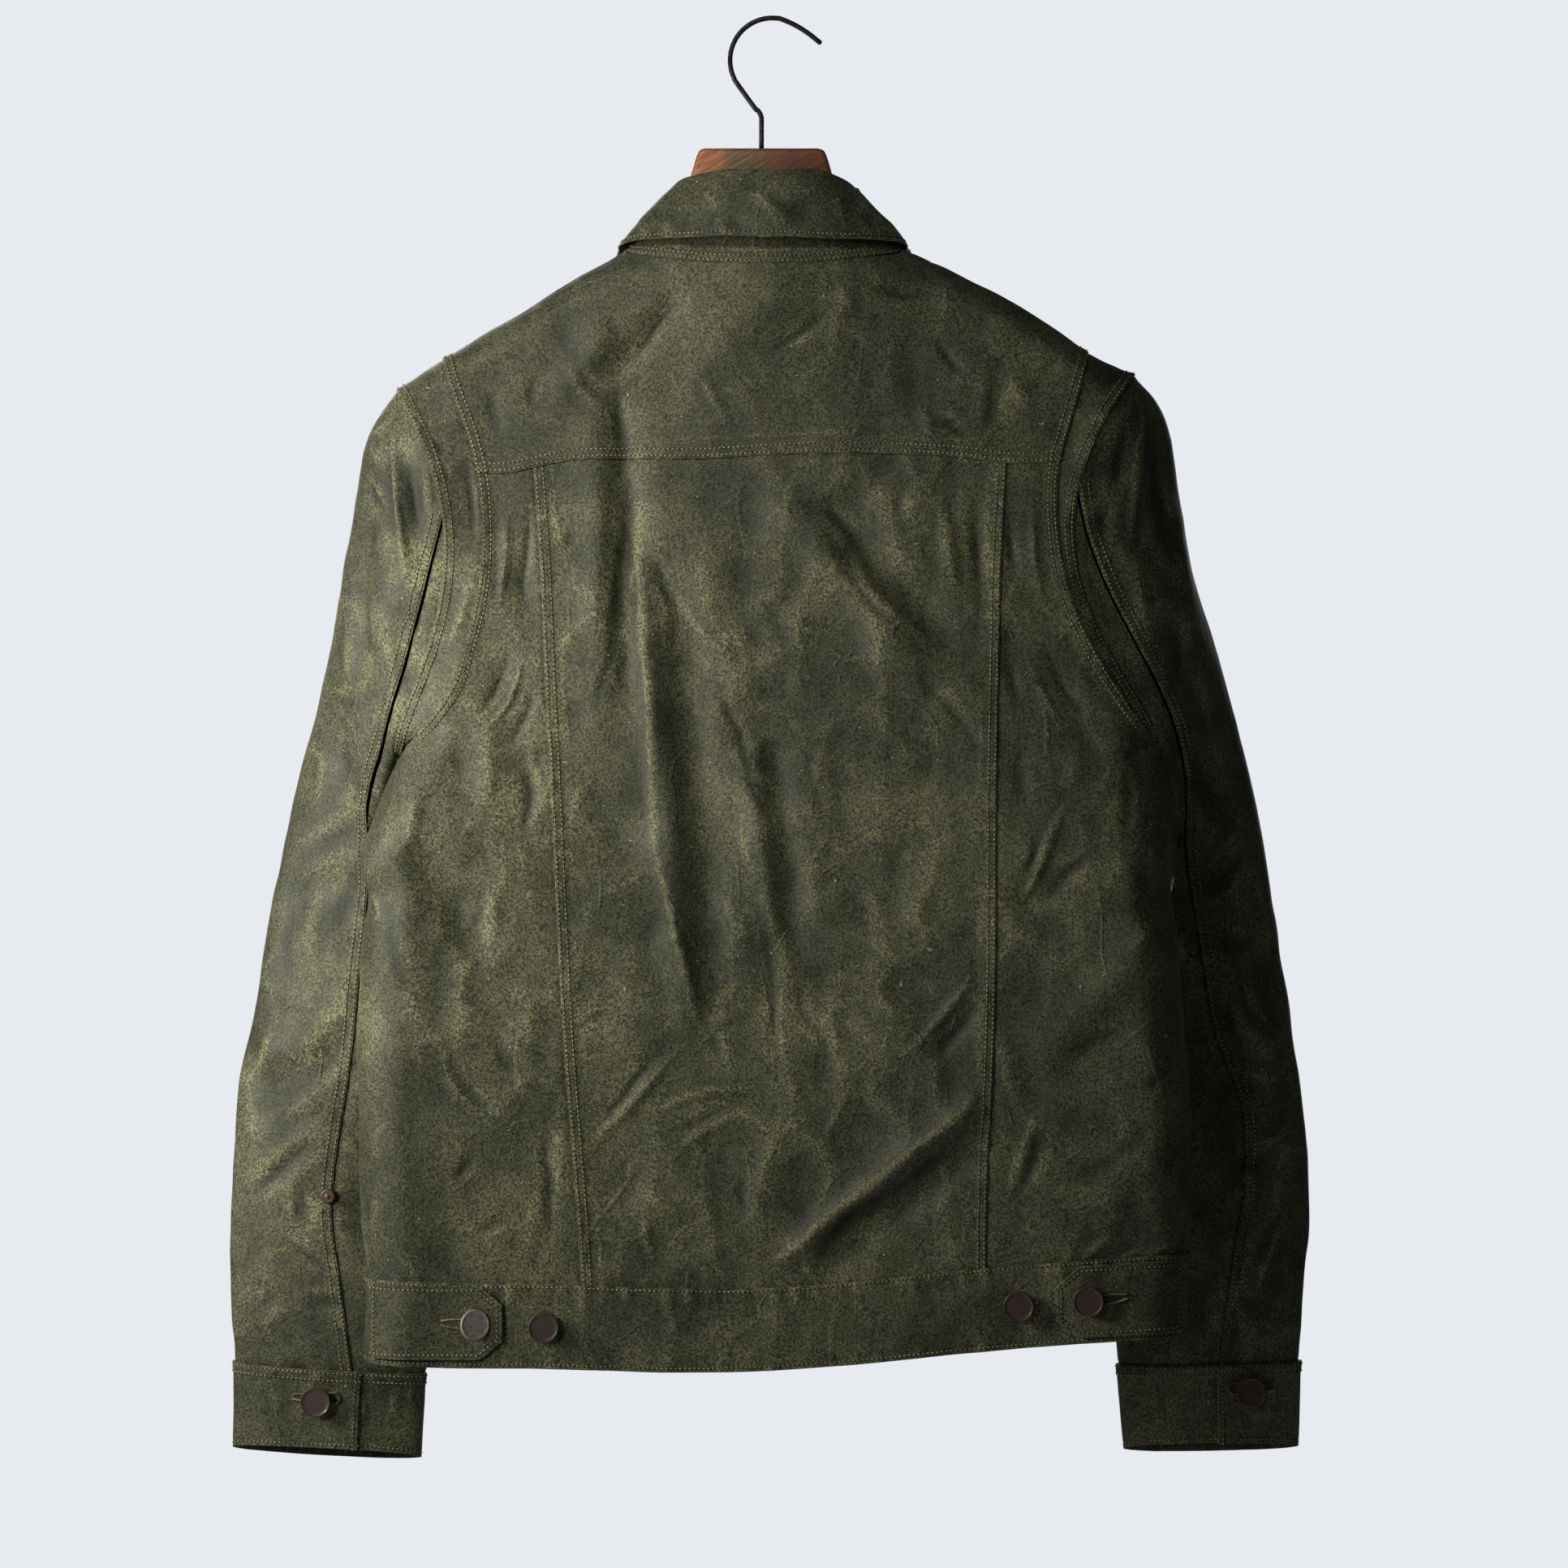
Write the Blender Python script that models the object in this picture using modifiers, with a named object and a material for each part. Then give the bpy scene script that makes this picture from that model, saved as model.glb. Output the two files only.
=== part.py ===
"""Waxed cotton work jacket, buttoned up and hanging on a wooden hanger.

Metres, +Z up. The jacket's back faces -Y and its front faces +Y. +X is to the right of someone who
looks at the back. The origin is the underside of the hook's crown, where a rail or peg carries it.

The body is a flat hanging bag: a back sheet and a front sheet that round into each other along the
shoulders and down the sides. torso() gives a point of either sheet, and every body piece is a patch
of it. sleeve() gives a point of either sleeve's tube. Cloth pieces are open sheets with a Solidify.
"""

import math

import bpy
import numpy as np
from mathutils import Matrix, Vector

# ---- driving sizes -----------------------------------------------------------------------------
CLOTH = 0.0015  # wall of one sewn cloth piece
SEAM_GAP = 0.0003  # clear space left between two pieces at a seam
SIDE_SEAM_GAP = 0.0012  # the same on each side of a seam that runs along a rounded edge
LAYER = 0.0006  # clear space between a piece and the one that lies on it
CENTRE_X = -0.0050  # the jacket's centre line, a little off the hook's crown

SHOULDER_ROUND = 0.022  # how far below the shoulder line the sheets are full depth apart
SHOULDER_ARC = 0.0400  # cloth length of that rounding
SIDE_ROUND = 0.030  # the same, measured in from the side edges
NECK_BULGE = 0.014  # extra depth of the back just under the collar
PIT_Z = -0.434  # height of the underarm point

BUTTON_RADIUS = 0.0091
BUTTON_HEIGHT = 0.0050
RIVET_RADIUS = 0.0047
RIVET_SECTION = {-1: 6.205, 1: 6.345}  # sleeve section at which a rivet sits: left, right
RIVET_FROM_SEAM = 0.008  # of a turn
WIRE_RADIUS = 0.0015
WOOD_HALF_THICKNESS = 0.0085

BACK, FRONT = -1, 1
LEFT, RIGHT = -1, 1

# ---- outline tables, one row for each height or place ------------------------------------------
# x, z of the shoulder line; across the neck it is only a guide for the rounding
SHOULDER_LINE = (
    (-0.2300, -0.2240), (-0.1963, -0.2010), (-0.1690, -0.1848), (-0.1500, -0.1733),
    (-0.1210, -0.1550), (-0.1018, -0.1450), (-0.0850, -0.1360), (-0.0500, -0.1240),
    (-0.0050, -0.1200), (0.0400, -0.1250), (0.0750, -0.1355), (0.1000, -0.1455),
    (0.1190, -0.1550), (0.1480, -0.1704), (0.1670, -0.1824), (0.1877, -0.1974),
    (0.2250, -0.2200),
)
# z, left edge x, right edge x; above the underarm the edge is only a guide for the rounding
SIDE_EDGES = (
    (-0.8000, -0.2412, 0.2455), (-0.7450, -0.2400, 0.2450), (-0.6860, -0.2434, 0.2477),
    (-0.6380, -0.2443, 0.2458), (-0.5900, -0.2438, 0.2424), (-0.5420, -0.2414, 0.2381),
    (-0.5190, -0.2378, 0.2350), (-0.5010, -0.2430, 0.2347), (-0.4750, -0.2362, 0.2352),
    (-0.4510, -0.2270, 0.2330), (-0.4340, -0.2190, 0.2290), (-0.3900, -0.2170, 0.2230),
    (-0.3000, -0.2160, 0.2130), (-0.2000, -0.2190, 0.2110), (-0.1000, -0.2190, 0.2110),
)
# z, half the depth between the sheets, y of the plane midway between them
DEPTHS = (
    (-0.8000, 0.0260, -0.0120), (-0.7450, 0.0270, -0.0120), (-0.6500, 0.0310, -0.0120),
    (-0.5500, 0.0350, -0.0120), (-0.4340, 0.0370, -0.0100), (-0.3500, 0.0360, -0.0080),
    (-0.2650, 0.0300, -0.0055), (-0.2150, 0.0250, -0.0040), (-0.1500, 0.0240, -0.0025),
    (-0.1000, 0.0240, -0.0020),
)
# share of the way down the armhole, left edge x, right edge x of the body's sheets
ARMHOLE = (
    (0.000, -0.1963, 0.1877), (0.100, -0.1888, 0.1818), (0.185, -0.1815, 0.1760),
    (0.290, -0.1747, 0.1692), (0.410, -0.1714, 0.1676), (0.535, -0.1714, 0.1708),
    (0.640, -0.1747, 0.1772), (0.745, -0.1810, 0.1885), (0.850, -0.1890, 0.2030),
    (0.930, -0.2020, 0.2155), (1.000, -0.2190, 0.2290),
)
# x, z of the seams and edges that run across the back
YOKE_SEAM = (
    (-0.2000, -0.2730), (-0.1771, -0.2719), (-0.1531, -0.2714), (-0.1358, -0.2676),
    (-0.1171, -0.2642), (-0.0950, -0.2633), (-0.0400, -0.2633), (-0.0058, -0.2612),
    (0.0283, -0.2599), (0.0629, -0.2599), (0.0970, -0.2613), (0.1142, -0.2625),
    (0.1382, -0.2659), (0.1690, -0.2650), (0.2000, -0.2650),
)
WAIST_SEAM = (
    (-0.2700, -0.7440), (-0.2395, -0.7440), (-0.1723, -0.7466), (-0.1282, -0.7476),
    (-0.0586, -0.7500), (-0.0058, -0.7502), (0.0518, -0.7459), (0.1094, -0.7392),
    (0.1656, -0.7342), (0.2438, -0.7291), (0.2700, -0.7291),
)
HEM = (
    (-0.2700, -0.7935), (-0.2410, -0.7940), (-0.2002, -0.7958), (-0.1282, -0.7973),
    (-0.0586, -0.7997), (-0.0058, -0.7990), (0.0518, -0.7949), (0.1094, -0.7886),
    (0.1766, -0.7824), (0.2453, -0.7776), (0.2700, -0.7770),
)
# z, x of the two long seams of the back: left, right
BACK_SEAMS = (
    (-0.7600, -0.1116, 0.1253), (-0.7460, -0.1123, 0.1253), (-0.6864, -0.1162, 0.1262),
    (-0.6144, -0.1219, 0.1296), (-0.5424, -0.1258, 0.1310), (-0.4700, -0.1291, 0.1312),
    (-0.3984, -0.1330, 0.1325), (-0.3264, -0.1363, 0.1344), (-0.2640, -0.1411, 0.1378),
)
# degrees round the neck from the centre back, z of the neck seam
NECK = (
    (0, -0.1483), (25, -0.1468), (50, -0.1432), (70, -0.1405), (90, -0.1392),
    (105, -0.1470), (125, -0.1660), (145, -0.1880), (163, -0.2060), (180, -0.2110),
)
NECK_HALF_WIDTH = 0.0820
FRONT_NECK_DEGREES = 176  # the two fronts' collar ends leave the rest open
YOKE_FRONT_DEGREES = 118  # where the yoke's front seam meets the neck
FRONT_SEAM_END = {-1: (-0.1795, -0.2430), 1: (0.1745, -0.2390)}  # and where it ends, left, right
YOKE_SEAM_GAP = 0.0006

# Sleeve sections from the band to the cuff. Each is an ellipse between an outer and an inner point.
# outer x, outer z, inner x, inner z, middle y, tuck of the inner end away from the viewer, depth,
# bulge towards the body
LEFT_SLEEVE = (
    (-0.2236, -0.2203, -0.2262, -0.4425, -0.0040, -0.0030, 0.0700, 0.0345),
    (-0.2431, -0.2535, -0.2335, -0.4690, 0.0010, 0.0000, 0.0700, 0.0125),
    (-0.2545, -0.3176, -0.2360, -0.5120, 0.0140, 0.0060, 0.0660, 0.0000),
    (-0.2705, -0.3924, -0.2240, -0.5662, 0.0270, 0.0060, 0.0620, 0.0000),
    (-0.2904, -0.4707, -0.2090, -0.6215, 0.0340, 0.0010, 0.0620, 0.0000),
    (-0.3089, -0.5590, -0.2013, -0.6766, 0.0350, 0.0000, 0.0600, 0.0000),
    (-0.3224, -0.6471, -0.2027, -0.7295, 0.0330, 0.0000, 0.0520, 0.0000),
    (-0.3275, -0.7252, -0.2051, -0.7731, 0.0310, 0.0000, 0.0440, 0.0000),
    (-0.3239, -0.8004, -0.2088, -0.8080, 0.0290, 0.0000, 0.0340, 0.0000),
)
RIGHT_SLEEVE = (
    (0.2158, -0.2102, 0.2340, -0.4425, -0.0040, -0.0030, 0.0700, 0.0500),
    (0.2359, -0.2423, 0.2410, -0.4690, 0.0010, 0.0000, 0.0700, 0.0190),
    (0.2492, -0.3156, 0.2420, -0.5120, 0.0140, 0.0060, 0.0660, 0.0000),
    (0.2703, -0.3875, 0.2270, -0.5662, 0.0270, 0.0060, 0.0620, 0.0000),
    (0.2880, -0.4511, 0.2140, -0.6215, 0.0340, 0.0010, 0.0620, 0.0000),
    (0.3062, -0.5500, 0.2051, -0.6766, 0.0350, 0.0000, 0.0600, 0.0000),
    (0.3182, -0.6336, 0.2050, -0.7295, 0.0330, 0.0000, 0.0520, 0.0000),
    (0.3229, -0.7150, 0.2058, -0.7731, 0.0310, 0.0000, 0.0440, 0.0000),
    (0.3167, -0.8004, 0.2087, -0.8024, 0.0290, 0.0000, 0.0340, 0.0000),
)
# cuff: top section, bottom section, in the same columns
LEFT_CUFF = (
    (-0.3237, -0.8012, -0.2092, -0.8089, 0.0290, 0.0000, 0.0350, 0.0000),
    (-0.3242, -0.8534, -0.2126, -0.8595, 0.0290, 0.0000, 0.0300, 0.0000),
)
RIGHT_CUFF = (
    (0.3165, -0.8012, 0.2075, -0.8033, 0.0290, 0.0000, 0.0350, 0.0000),
    (0.3153, -0.8529, 0.2108, -0.8544, 0.0290, 0.0000, 0.0300, 0.0000),
)
CUFF_FAR_DROP = 0.0090  # the far side of a cuff's mouth hangs lower than the near side
CUFF_EDGE_TURN = {-1: 0.301, 1: 0.240}  # where the cuff's visible end lies
CUFF_LAP_TURN = 0.085  # how far the other end runs on under it
CUFF_BUTTON = {-1: (0.233, 0.36), 1: (0.178, 0.305)}  # turn, share of the way down
# sleeve section, share of a turn at which the back seam lies: left, right
SLEEVE_SEAM = (
    (0.0, 0.205, 0.190), (0.2, 0.232, 0.224), (0.4, 0.275, 0.255), (0.6, 0.325, 0.280),
    (0.8, 0.355, 0.298), (1.0, 0.365, 0.306), (1.5, 0.360, 0.310), (2.0, 0.342, 0.308),
    (3.0, 0.300, 0.275), (4.0, 0.270, 0.246), (5.0, 0.261, 0.224), (5.8, 0.254, 0.192),
    (6.3, 0.253, 0.197), (7.0, 0.272, 0.222), (8.0, 0.292, 0.238),
)
UNDERARM_TURN = 0.600
SLEEVE_SEAM_GAP = 0.0008
PIT_SEAM_EASE = 0.0004  # added to that gap under the arm
NARROW_EASE = 0.045  # of a turn; draws a sleeve's lengthwise lines together at its narrow ends
ARMHOLE_FULLNESS = 0.5  # see ring_point
SLEEVE_START = 0.09  # section at which the sleeve starts, clear of the band
BAND_SKEW = 0.025  # of a turn; keeps the band's threads square to its two seams

# folds of the back: start x, z, end x, z, half width, height (a trough is negative)
BACK_FOLDS = (
    (-0.0900, -0.2200, -0.0830, -0.4050, 0.0110, -0.0060),
    (-0.0990, -0.2350, -0.1020, -0.4300, 0.0130, 0.0040),
    (-0.0780, -0.3200, -0.0480, -0.6050, 0.0085, 0.0060),
    (-0.0560, -0.3300, -0.0300, -0.5900, 0.0110, -0.0040),
    (0.0050, -0.2860, 0.0950, -0.4000, 0.0120, 0.0050),
    (0.0300, -0.2850, 0.1180, -0.3850, 0.0110, -0.0040),
    (-0.0160, -0.4300, 0.0020, -0.5450, 0.0090, 0.0045),
    (0.0000, -0.4300, 0.0160, -0.5600, 0.0090, -0.0035),
    (0.0050, -0.7380, 0.1230, -0.6400, 0.0090, 0.0065),
    (0.0250, -0.7420, 0.1240, -0.6650, 0.0100, -0.0035),
    (-0.0950, -0.1850, -0.1280, -0.2250, 0.0090, 0.0040),
    (-0.0550, -0.1650, -0.0950, -0.2150, 0.0080, -0.0035),
    (-0.2120, -0.4900, -0.1620, -0.5600, 0.0120, -0.0045),
    (0.1500, -0.6250, 0.2250, -0.5400, 0.0130, 0.0040),
)
# folds of the front, plainer
FRONT_FOLDS = (
    (-0.1500, -0.3000, -0.1100, -0.6000, 0.0150, 0.0045),
    (0.1350, -0.2900, 0.1000, -0.5600, 0.0150, 0.0045),
    (-0.1900, -0.4600, -0.0600, -0.5600, 0.0140, -0.0040),
    (0.1900, -0.4700, 0.0600, -0.6100, 0.0140, -0.0040),
)
# folds of a sleeve: start section and turn, end section and turn, half width in metres, height
SLEEVE_FOLDS = (
    (0.90, 0.080, 1.90, 0.240, 0.0120, -0.0050),
    (3.60, 0.220, 4.60, 0.080, 0.0120, -0.0040),
    (5.60, 0.090, 5.00, 0.210, 0.0110, 0.0045),
    (3.20, 0.850, 4.60, 0.660, 0.0140, -0.0050),
    (5.20, 0.900, 5.80, 0.680, 0.0120, 0.0045),
)

# places on the back: x, z
WAIST_BUTTONS = {"left_outer": (-0.1771, -0.7702), "left_inner": (-0.1345, -0.7722),
                 "right_outer": (0.1851, -0.7562), "right_inner": (0.1443, -0.7598)}
# tab outline on the waistband: end x, side x, top z and bottom z at the end and at the side, chamfer
TABS = {
    "left": {"end": -0.1585, "side": -0.2340, "end_top": -0.7480, "end_bottom": -0.7915,
             "side_top": -0.7462, "side_bottom": -0.7905, "chamfer": 0.0130},
    "right": {"end": 0.1665, "side": 0.2390, "end_top": -0.7370, "end_bottom": -0.7795,
              "side_top": -0.7320, "side_bottom": -0.7745, "chamfer": 0.0130},
}
FRONT_BUTTON_COUNT = 6
PLACKET_HALF_WIDTH = 0.0180

FINISHES = {  # base colour, roughness, metallic
    "waxed_cotton": ((0.075, 0.082, 0.045, 1.0), 0.62, 0.0),
    "bronze": ((0.140, 0.085, 0.065, 1.0), 0.38, 0.9),
    "wood": ((0.300, 0.110, 0.045, 1.0), 0.45, 0.0),
    "steel": ((0.220, 0.200, 0.190, 1.0), 0.30, 1.0),
}


# ---- tables read as smooth curves --------------------------------------------------------------
def curve(rows, column=1, key=0):
    """A smooth function through a table's rows, held flat past its ends."""
    ordered = sorted(rows, key=lambda row: row[key])
    keys = np.array([row[key] for row in ordered], float)
    values = np.array([row[column] for row in ordered], float)
    slopes = np.gradient(values, keys)

    def at(x):
        x = np.clip(x, keys[0], keys[-1])
        i = np.clip(np.searchsorted(keys, x) - 1, 0, len(keys) - 2)
        step = keys[i + 1] - keys[i]
        t = (x - keys[i]) / step
        low = values[i] * (1 + 2 * t) * (1 - t) ** 2 + step * slopes[i] * t * (1 - t) ** 2
        high = values[i + 1] * t * t * (3 - 2 * t) + step * slopes[i + 1] * t * t * (t - 1)
        return low + high

    return at


def smoothstep(x, low, high):
    t = np.clip((x - low) / (high - low), 0, 1)
    return t * t * (3 - 2 * t)


shoulder_z = curve(SHOULDER_LINE)
side_left = curve(SIDE_EDGES, 1)
side_right = curve(SIDE_EDGES, 2)
half_depth_at = curve(DEPTHS, 1)
middle_y_at = curve(DEPTHS, 2)
armhole_left = curve(ARMHOLE, 1)
armhole_right = curve(ARMHOLE, 2)
yoke_seam_z = curve(YOKE_SEAM)
waist_seam_z = curve(WAIST_SEAM)
hem_z = curve(HEM)
back_seam_left = curve(BACK_SEAMS, 1)
back_seam_right = curve(BACK_SEAMS, 2)
neck_z = curve(NECK)


# ---- the body's sheets -------------------------------------------------------------------------
def side_edge(side, z):
    return side_left(z) if side == LEFT else side_right(z)


def half_depth(face, x, z):
    """Half the depth between the sheets. The sleeves press the front sheet in near the sides."""
    depth = half_depth_at(z)
    if face == BACK:
        near_neck = smoothstep(z, -0.260, -0.150)
        return depth + NECK_BULGE * np.exp(-(((x - CENTRE_X) / 0.075) ** 2)) * near_neck
    pressed = smoothstep(np.abs(x), 0.110, 0.200) * smoothstep(-z, 0.360, 0.440)
    return depth * (1 - 0.70 * pressed)


def middle_y(x, z):
    """The sides below the arms stand towards the viewer, in front of the sleeves."""
    return middle_y_at(z) - 0.014 * (x / 0.24) ** 2 * smoothstep(-z, 0.380, 0.480)


def side_arc(face, side, z):
    """Length of the rounded stretch at a side edge, along the cloth."""
    depth = half_depth(face, side_edge(side, z), z)
    return 0.5 * math.pi * np.sqrt((SIDE_ROUND**2 + depth**2) / 2)


def half_girth(face, side, z):
    """Length along the cloth from x = 0 to the side edge."""
    return np.abs(side_edge(side, z)) - SIDE_ROUND + side_arc(face, side, z)


def fold_height(folds, x, z):
    """Summed height of straight folds with soft flanks and tapered ends."""
    total = np.zeros(np.broadcast(x, z).shape)
    for x0, z0, x1, z1, width, height in folds:
        along_x, along_z = x1 - x0, z1 - z0
        length = math.hypot(along_x, along_z)
        t = ((x - x0) * along_x + (z - z0) * along_z) / length**2
        off = ((x - x0) * along_z - (z - z0) * along_x) / length
        taper = np.sqrt(np.clip(4 * t * (1 - t), 0, 1))
        total = total + height * taper * np.exp(-((off / width) ** 2))
    return total


def torso(face, p, z):
    """Outer surface of the body. p runs across along the cloth: it is x on the flat part, and the
    cloth length past the start of the rounding near a side edge. Arrays give arrays of points."""
    p, z = np.broadcast_arrays(np.asarray(p, float), np.asarray(z, float))
    x = np.array(p)
    e_side = np.ones(p.shape)
    for side in (LEFT, RIGHT):
        mine = p * side > 0
        arc = side_arc(face, side, z)
        left_over = np.maximum(half_girth(face, side, z) - np.abs(p), 0)
        angle = 0.5 * math.pi * np.minimum(left_over / arc, 1)
        inset = SIDE_ROUND * (1 - np.cos(angle)) + np.maximum(left_over - arc, 0)
        x = np.where(mine, side_edge(side, z) - side * inset, x)
        e_side = np.where(mine, np.sin(angle), e_side)
    drop = np.clip((shoulder_z(x) - z) / SHOULDER_ROUND, 0, 1)
    e_shoulder = np.sqrt(1 - (1 - drop) ** 2)
    folds = fold_height(BACK_FOLDS if face == BACK else FRONT_FOLDS, x, z)
    depth = (half_depth(face, x, z) + folds) * e_side * e_shoulder
    return np.stack([x, middle_y(x, z) + face * depth, z], axis=-1)


def cloth_p(face, side, x, z):
    """The p of a point whose x is known."""
    inset = np.maximum(side * (side_edge(side, z) - x), 0)
    arc = side_arc(face, side, z)
    rounded = arc * np.arccos(np.clip(1 - inset / SIDE_ROUND, 0, 1)) / (0.5 * math.pi)
    flat = arc + inset - SIDE_ROUND
    return side * (half_girth(face, side, z) - np.where(inset < SIDE_ROUND, rounded, flat))


def armhole_x(side, z):
    """x of the body's edge at the armhole, on either sheet."""
    tip_x = (armhole_left if side == LEFT else armhole_right)(0.0)
    tip_z = float(shoulder_z(tip_x))
    share = np.clip((tip_z - z) / (tip_z - PIT_Z), 0, 1)
    return (armhole_left if side == LEFT else armhole_right)(share)


def armhole_loop(side, turns):
    """Points round the armhole: turn 0 at the shoulder, 0.25 mid back, 0.5 at the underarm."""
    tip_z = float(shoulder_z(armhole_x(side, 0.0)))
    middle, reach = (tip_z + PIT_Z) / 2, (tip_z - PIT_Z) / 2
    points = []
    for turn in turns:
        z = middle + reach * math.cos(2 * math.pi * turn)
        face = BACK if (turn % 1) <= 0.5 else FRONT
        points.append(torso(face, cloth_p(face, side, armhole_x(side, z), z), z))
    return np.array(points)


def neck_point(degrees):
    """A point of the neck seam, by angle from the centre back; negative is the left."""
    degrees = np.asarray(degrees, float)
    x = CENTRE_X + NECK_HALF_WIDTH * np.sin(np.radians(degrees))
    z = np.minimum(neck_z(np.abs(degrees)), shoulder_z(x) - 0.0001)
    on_back = (np.abs(degrees) <= 90)[..., None]
    return np.where(on_back, torso(BACK, x, z), torso(FRONT, x, z))


def drop_below(w):
    """How far below the shoulder line a point is whose unrolled length from it is w."""
    angle = 0.5 * math.pi * np.minimum(np.abs(w) / SHOULDER_ARC, 1)
    return SHOULDER_ROUND * (1 - np.cos(angle)) + np.maximum(np.abs(w) - SHOULDER_ARC, 0)


def unroll(face, x, z):
    """Signed cloth length from the shoulder line: negative on the back, positive on the front."""
    drop = np.maximum(shoulder_z(x) - z, 0)
    angle = np.arccos(1 - np.minimum(drop / SHOULDER_ROUND, 1))
    return face * (SHOULDER_ARC * angle / (0.5 * math.pi) + np.maximum(drop - SHOULDER_ROUND, 0))


def roll(x, w):
    """The body's point at x whose unrolled length from the shoulder line is w."""
    x, w = np.broadcast_arrays(np.asarray(x, float), np.asarray(w, float))
    z = shoulder_z(x) - drop_below(w)
    sheets = []
    for face in (BACK, FRONT):
        p = np.where(x < 0, cloth_p(face, LEFT, x, z), cloth_p(face, RIGHT, x, z))
        sheets.append(torso(face, p, z))
    return np.where((w <= 0)[..., None], sheets[0], sheets[1])


# ---- mesh makers -------------------------------------------------------------------------------
def material(name, finish):
    """A piece's own material, in one of the finishes."""
    colour, roughness, metallic = FINISHES[finish]
    made = bpy.data.materials.new(f"{name}_{finish}")
    made.use_nodes = True
    shader = made.node_tree.nodes["Principled BSDF"]
    shader.inputs["Base Color"].default_value = colour
    shader.inputs["Roughness"].default_value = roughness
    shader.inputs["Metallic"].default_value = metallic
    made.diffuse_color = colour
    return made


def add_object(name, data, finish):
    made = bpy.data.objects.new(name, data)
    jacket.objects.link(made)
    data.materials.append(material(name, finish))
    return made


def cloth(name, grid, outward, wall=CLOTH, closed=False):
    """A cloth piece: a loft through a grid of outer points, rows by columns, with a wall behind it.
    outward is a rough direction that its outer face looks in at the grid's middle, or at the start
    of a closed ring."""
    rows, columns = grid.shape[:2]
    wrap = columns if closed else columns - 1
    faces = [
        (r * columns + c, r * columns + (c + 1) % columns,
         (r + 1) * columns + (c + 1) % columns, (r + 1) * columns + c)
        for r in range(rows - 1)
        for c in range(wrap)
    ]
    mesh = bpy.data.meshes.new(name)
    mesh.from_pydata(grid.reshape(-1, 3).tolist(), [], faces)
    mesh.update()
    middle = mesh.polygons[(rows - 1) // 2 * wrap + (0 if closed else wrap // 2)]
    if middle.normal.dot(Vector(outward)) < 0:
        mesh.flip_normals()
    mesh.shade_smooth()
    made = add_object(name, mesh, "waxed_cotton")
    solid = made.modifiers.new("wall", "SOLIDIFY")
    solid.thickness = wall
    solid.offset = -1
    solid.use_even_offset = False
    return made


def lerp(a, b, t):
    return a + (b - a) * t


def shares(count, ease=0.0):
    """Evenly spaced numbers from 0 to 1, drawn together towards 1 by ease."""
    t = np.linspace(0, 1, count + 1)
    return t + ease * t * (1 - t)


# ---- body pieces -------------------------------------------------------------------------------
def body_panel(name, face, edges, top, bottom, rows, columns):
    """A panel between two upright edges and two crosswise ones.
    edges are functions of z that give p; top and bottom are functions of x that give z."""
    down, across = np.meshgrid(rows, columns, indexing="ij")
    p, z = 0.0 * across, 0.0 * down
    for _ in range(8):  # the edges depend on z, and z on the place across
        z = lerp(top(p), bottom(p), down)
        p = lerp(edges[0](z), edges[1](z), across)
    return cloth(name, torso(face, p, z), (0, face, 0))


def outer_edge(face, side):
    """Outer edge of a side panel as p: the armhole, and below the underarm the side seam."""

    def at(z):
        seam = side * (half_girth(face, side, z) - SIDE_SEAM_GAP)
        armhole = cloth_p(face, side, armhole_x(side, z), z) - side * SEAM_GAP
        return np.where(z > PIT_Z, armhole, seam)

    return at


def back_seam_edge(side, shift):
    line = back_seam_left if side == LEFT else back_seam_right
    return lambda z: line(z) + shift


def back_panels():
    top = lambda x: yoke_seam_z(x)
    bottom = lambda x: waist_seam_z(x) + SEAM_GAP / 2
    gap = SEAM_GAP / 2
    body_panel("back_centre", BACK, (back_seam_edge(LEFT, gap), back_seam_edge(RIGHT, -gap)),
               top, bottom, shares(22), shares(13))
    rows = np.array(sorted([*shares(21), 0.310, 0.322, 0.343, 0.362]))
    for side, word in ((LEFT, "left"), (RIGHT, "right")):
        body_panel(f"back_side_{word}", BACK,
                   (back_seam_edge(side, side * gap), outer_edge(BACK, side)),
                   top, bottom, rows, shares(6, 0.5))


def front_panels():
    """Two plain fronts. Each starts at the yoke's front seam and the neck."""
    bottom = lambda x: waist_seam_z(x) + SEAM_GAP / 2
    rows = np.array(sorted([*shares(18), 0.372, 0.392]))
    for side, word in ((LEFT, "left"), (RIGHT, "right")):
        centre = lambda z, side=side: CENTRE_X + side * SEAM_GAP / 2 + 0 * z
        top = lambda x, side=side: front_top_z(side, x) - YOKE_SEAM_GAP
        body_panel(f"front_{word}", FRONT, (centre, outer_edge(FRONT, side)),
                   top, bottom, rows, shares(9, 0.35))


def front_seam_ends(side):
    """x and unrolled length of the yoke's front seam, at the neck and at the armhole."""
    neck = neck_point(side * YOKE_FRONT_DEGREES)
    end_x, end_z = FRONT_SEAM_END[side]
    return (neck[0], end_x), (unroll(FRONT, neck[0], neck[2]), unroll(FRONT, end_x, end_z))


def front_top_z(side, x):
    """Top edge of a front: the neck seam from the centre out, then the yoke's front seam."""
    neck = neck_point(side * np.linspace(180, YOKE_FRONT_DEGREES, 40))
    reach = (x - CENTRE_X) * side
    on_neck = np.interp(reach, (neck[:, 0] - CENTRE_X) * side, neck[:, 2])
    (x0, x1), (w0, w1) = front_seam_ends(side)
    on_seam = shoulder_z(x) - drop_below(lerp(w0, w1, np.clip((x - x0) / (x1 - x0), 0, 1)))
    return np.where(reach < (x0 - CENTRE_X) * side, on_neck, on_seam)


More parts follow.
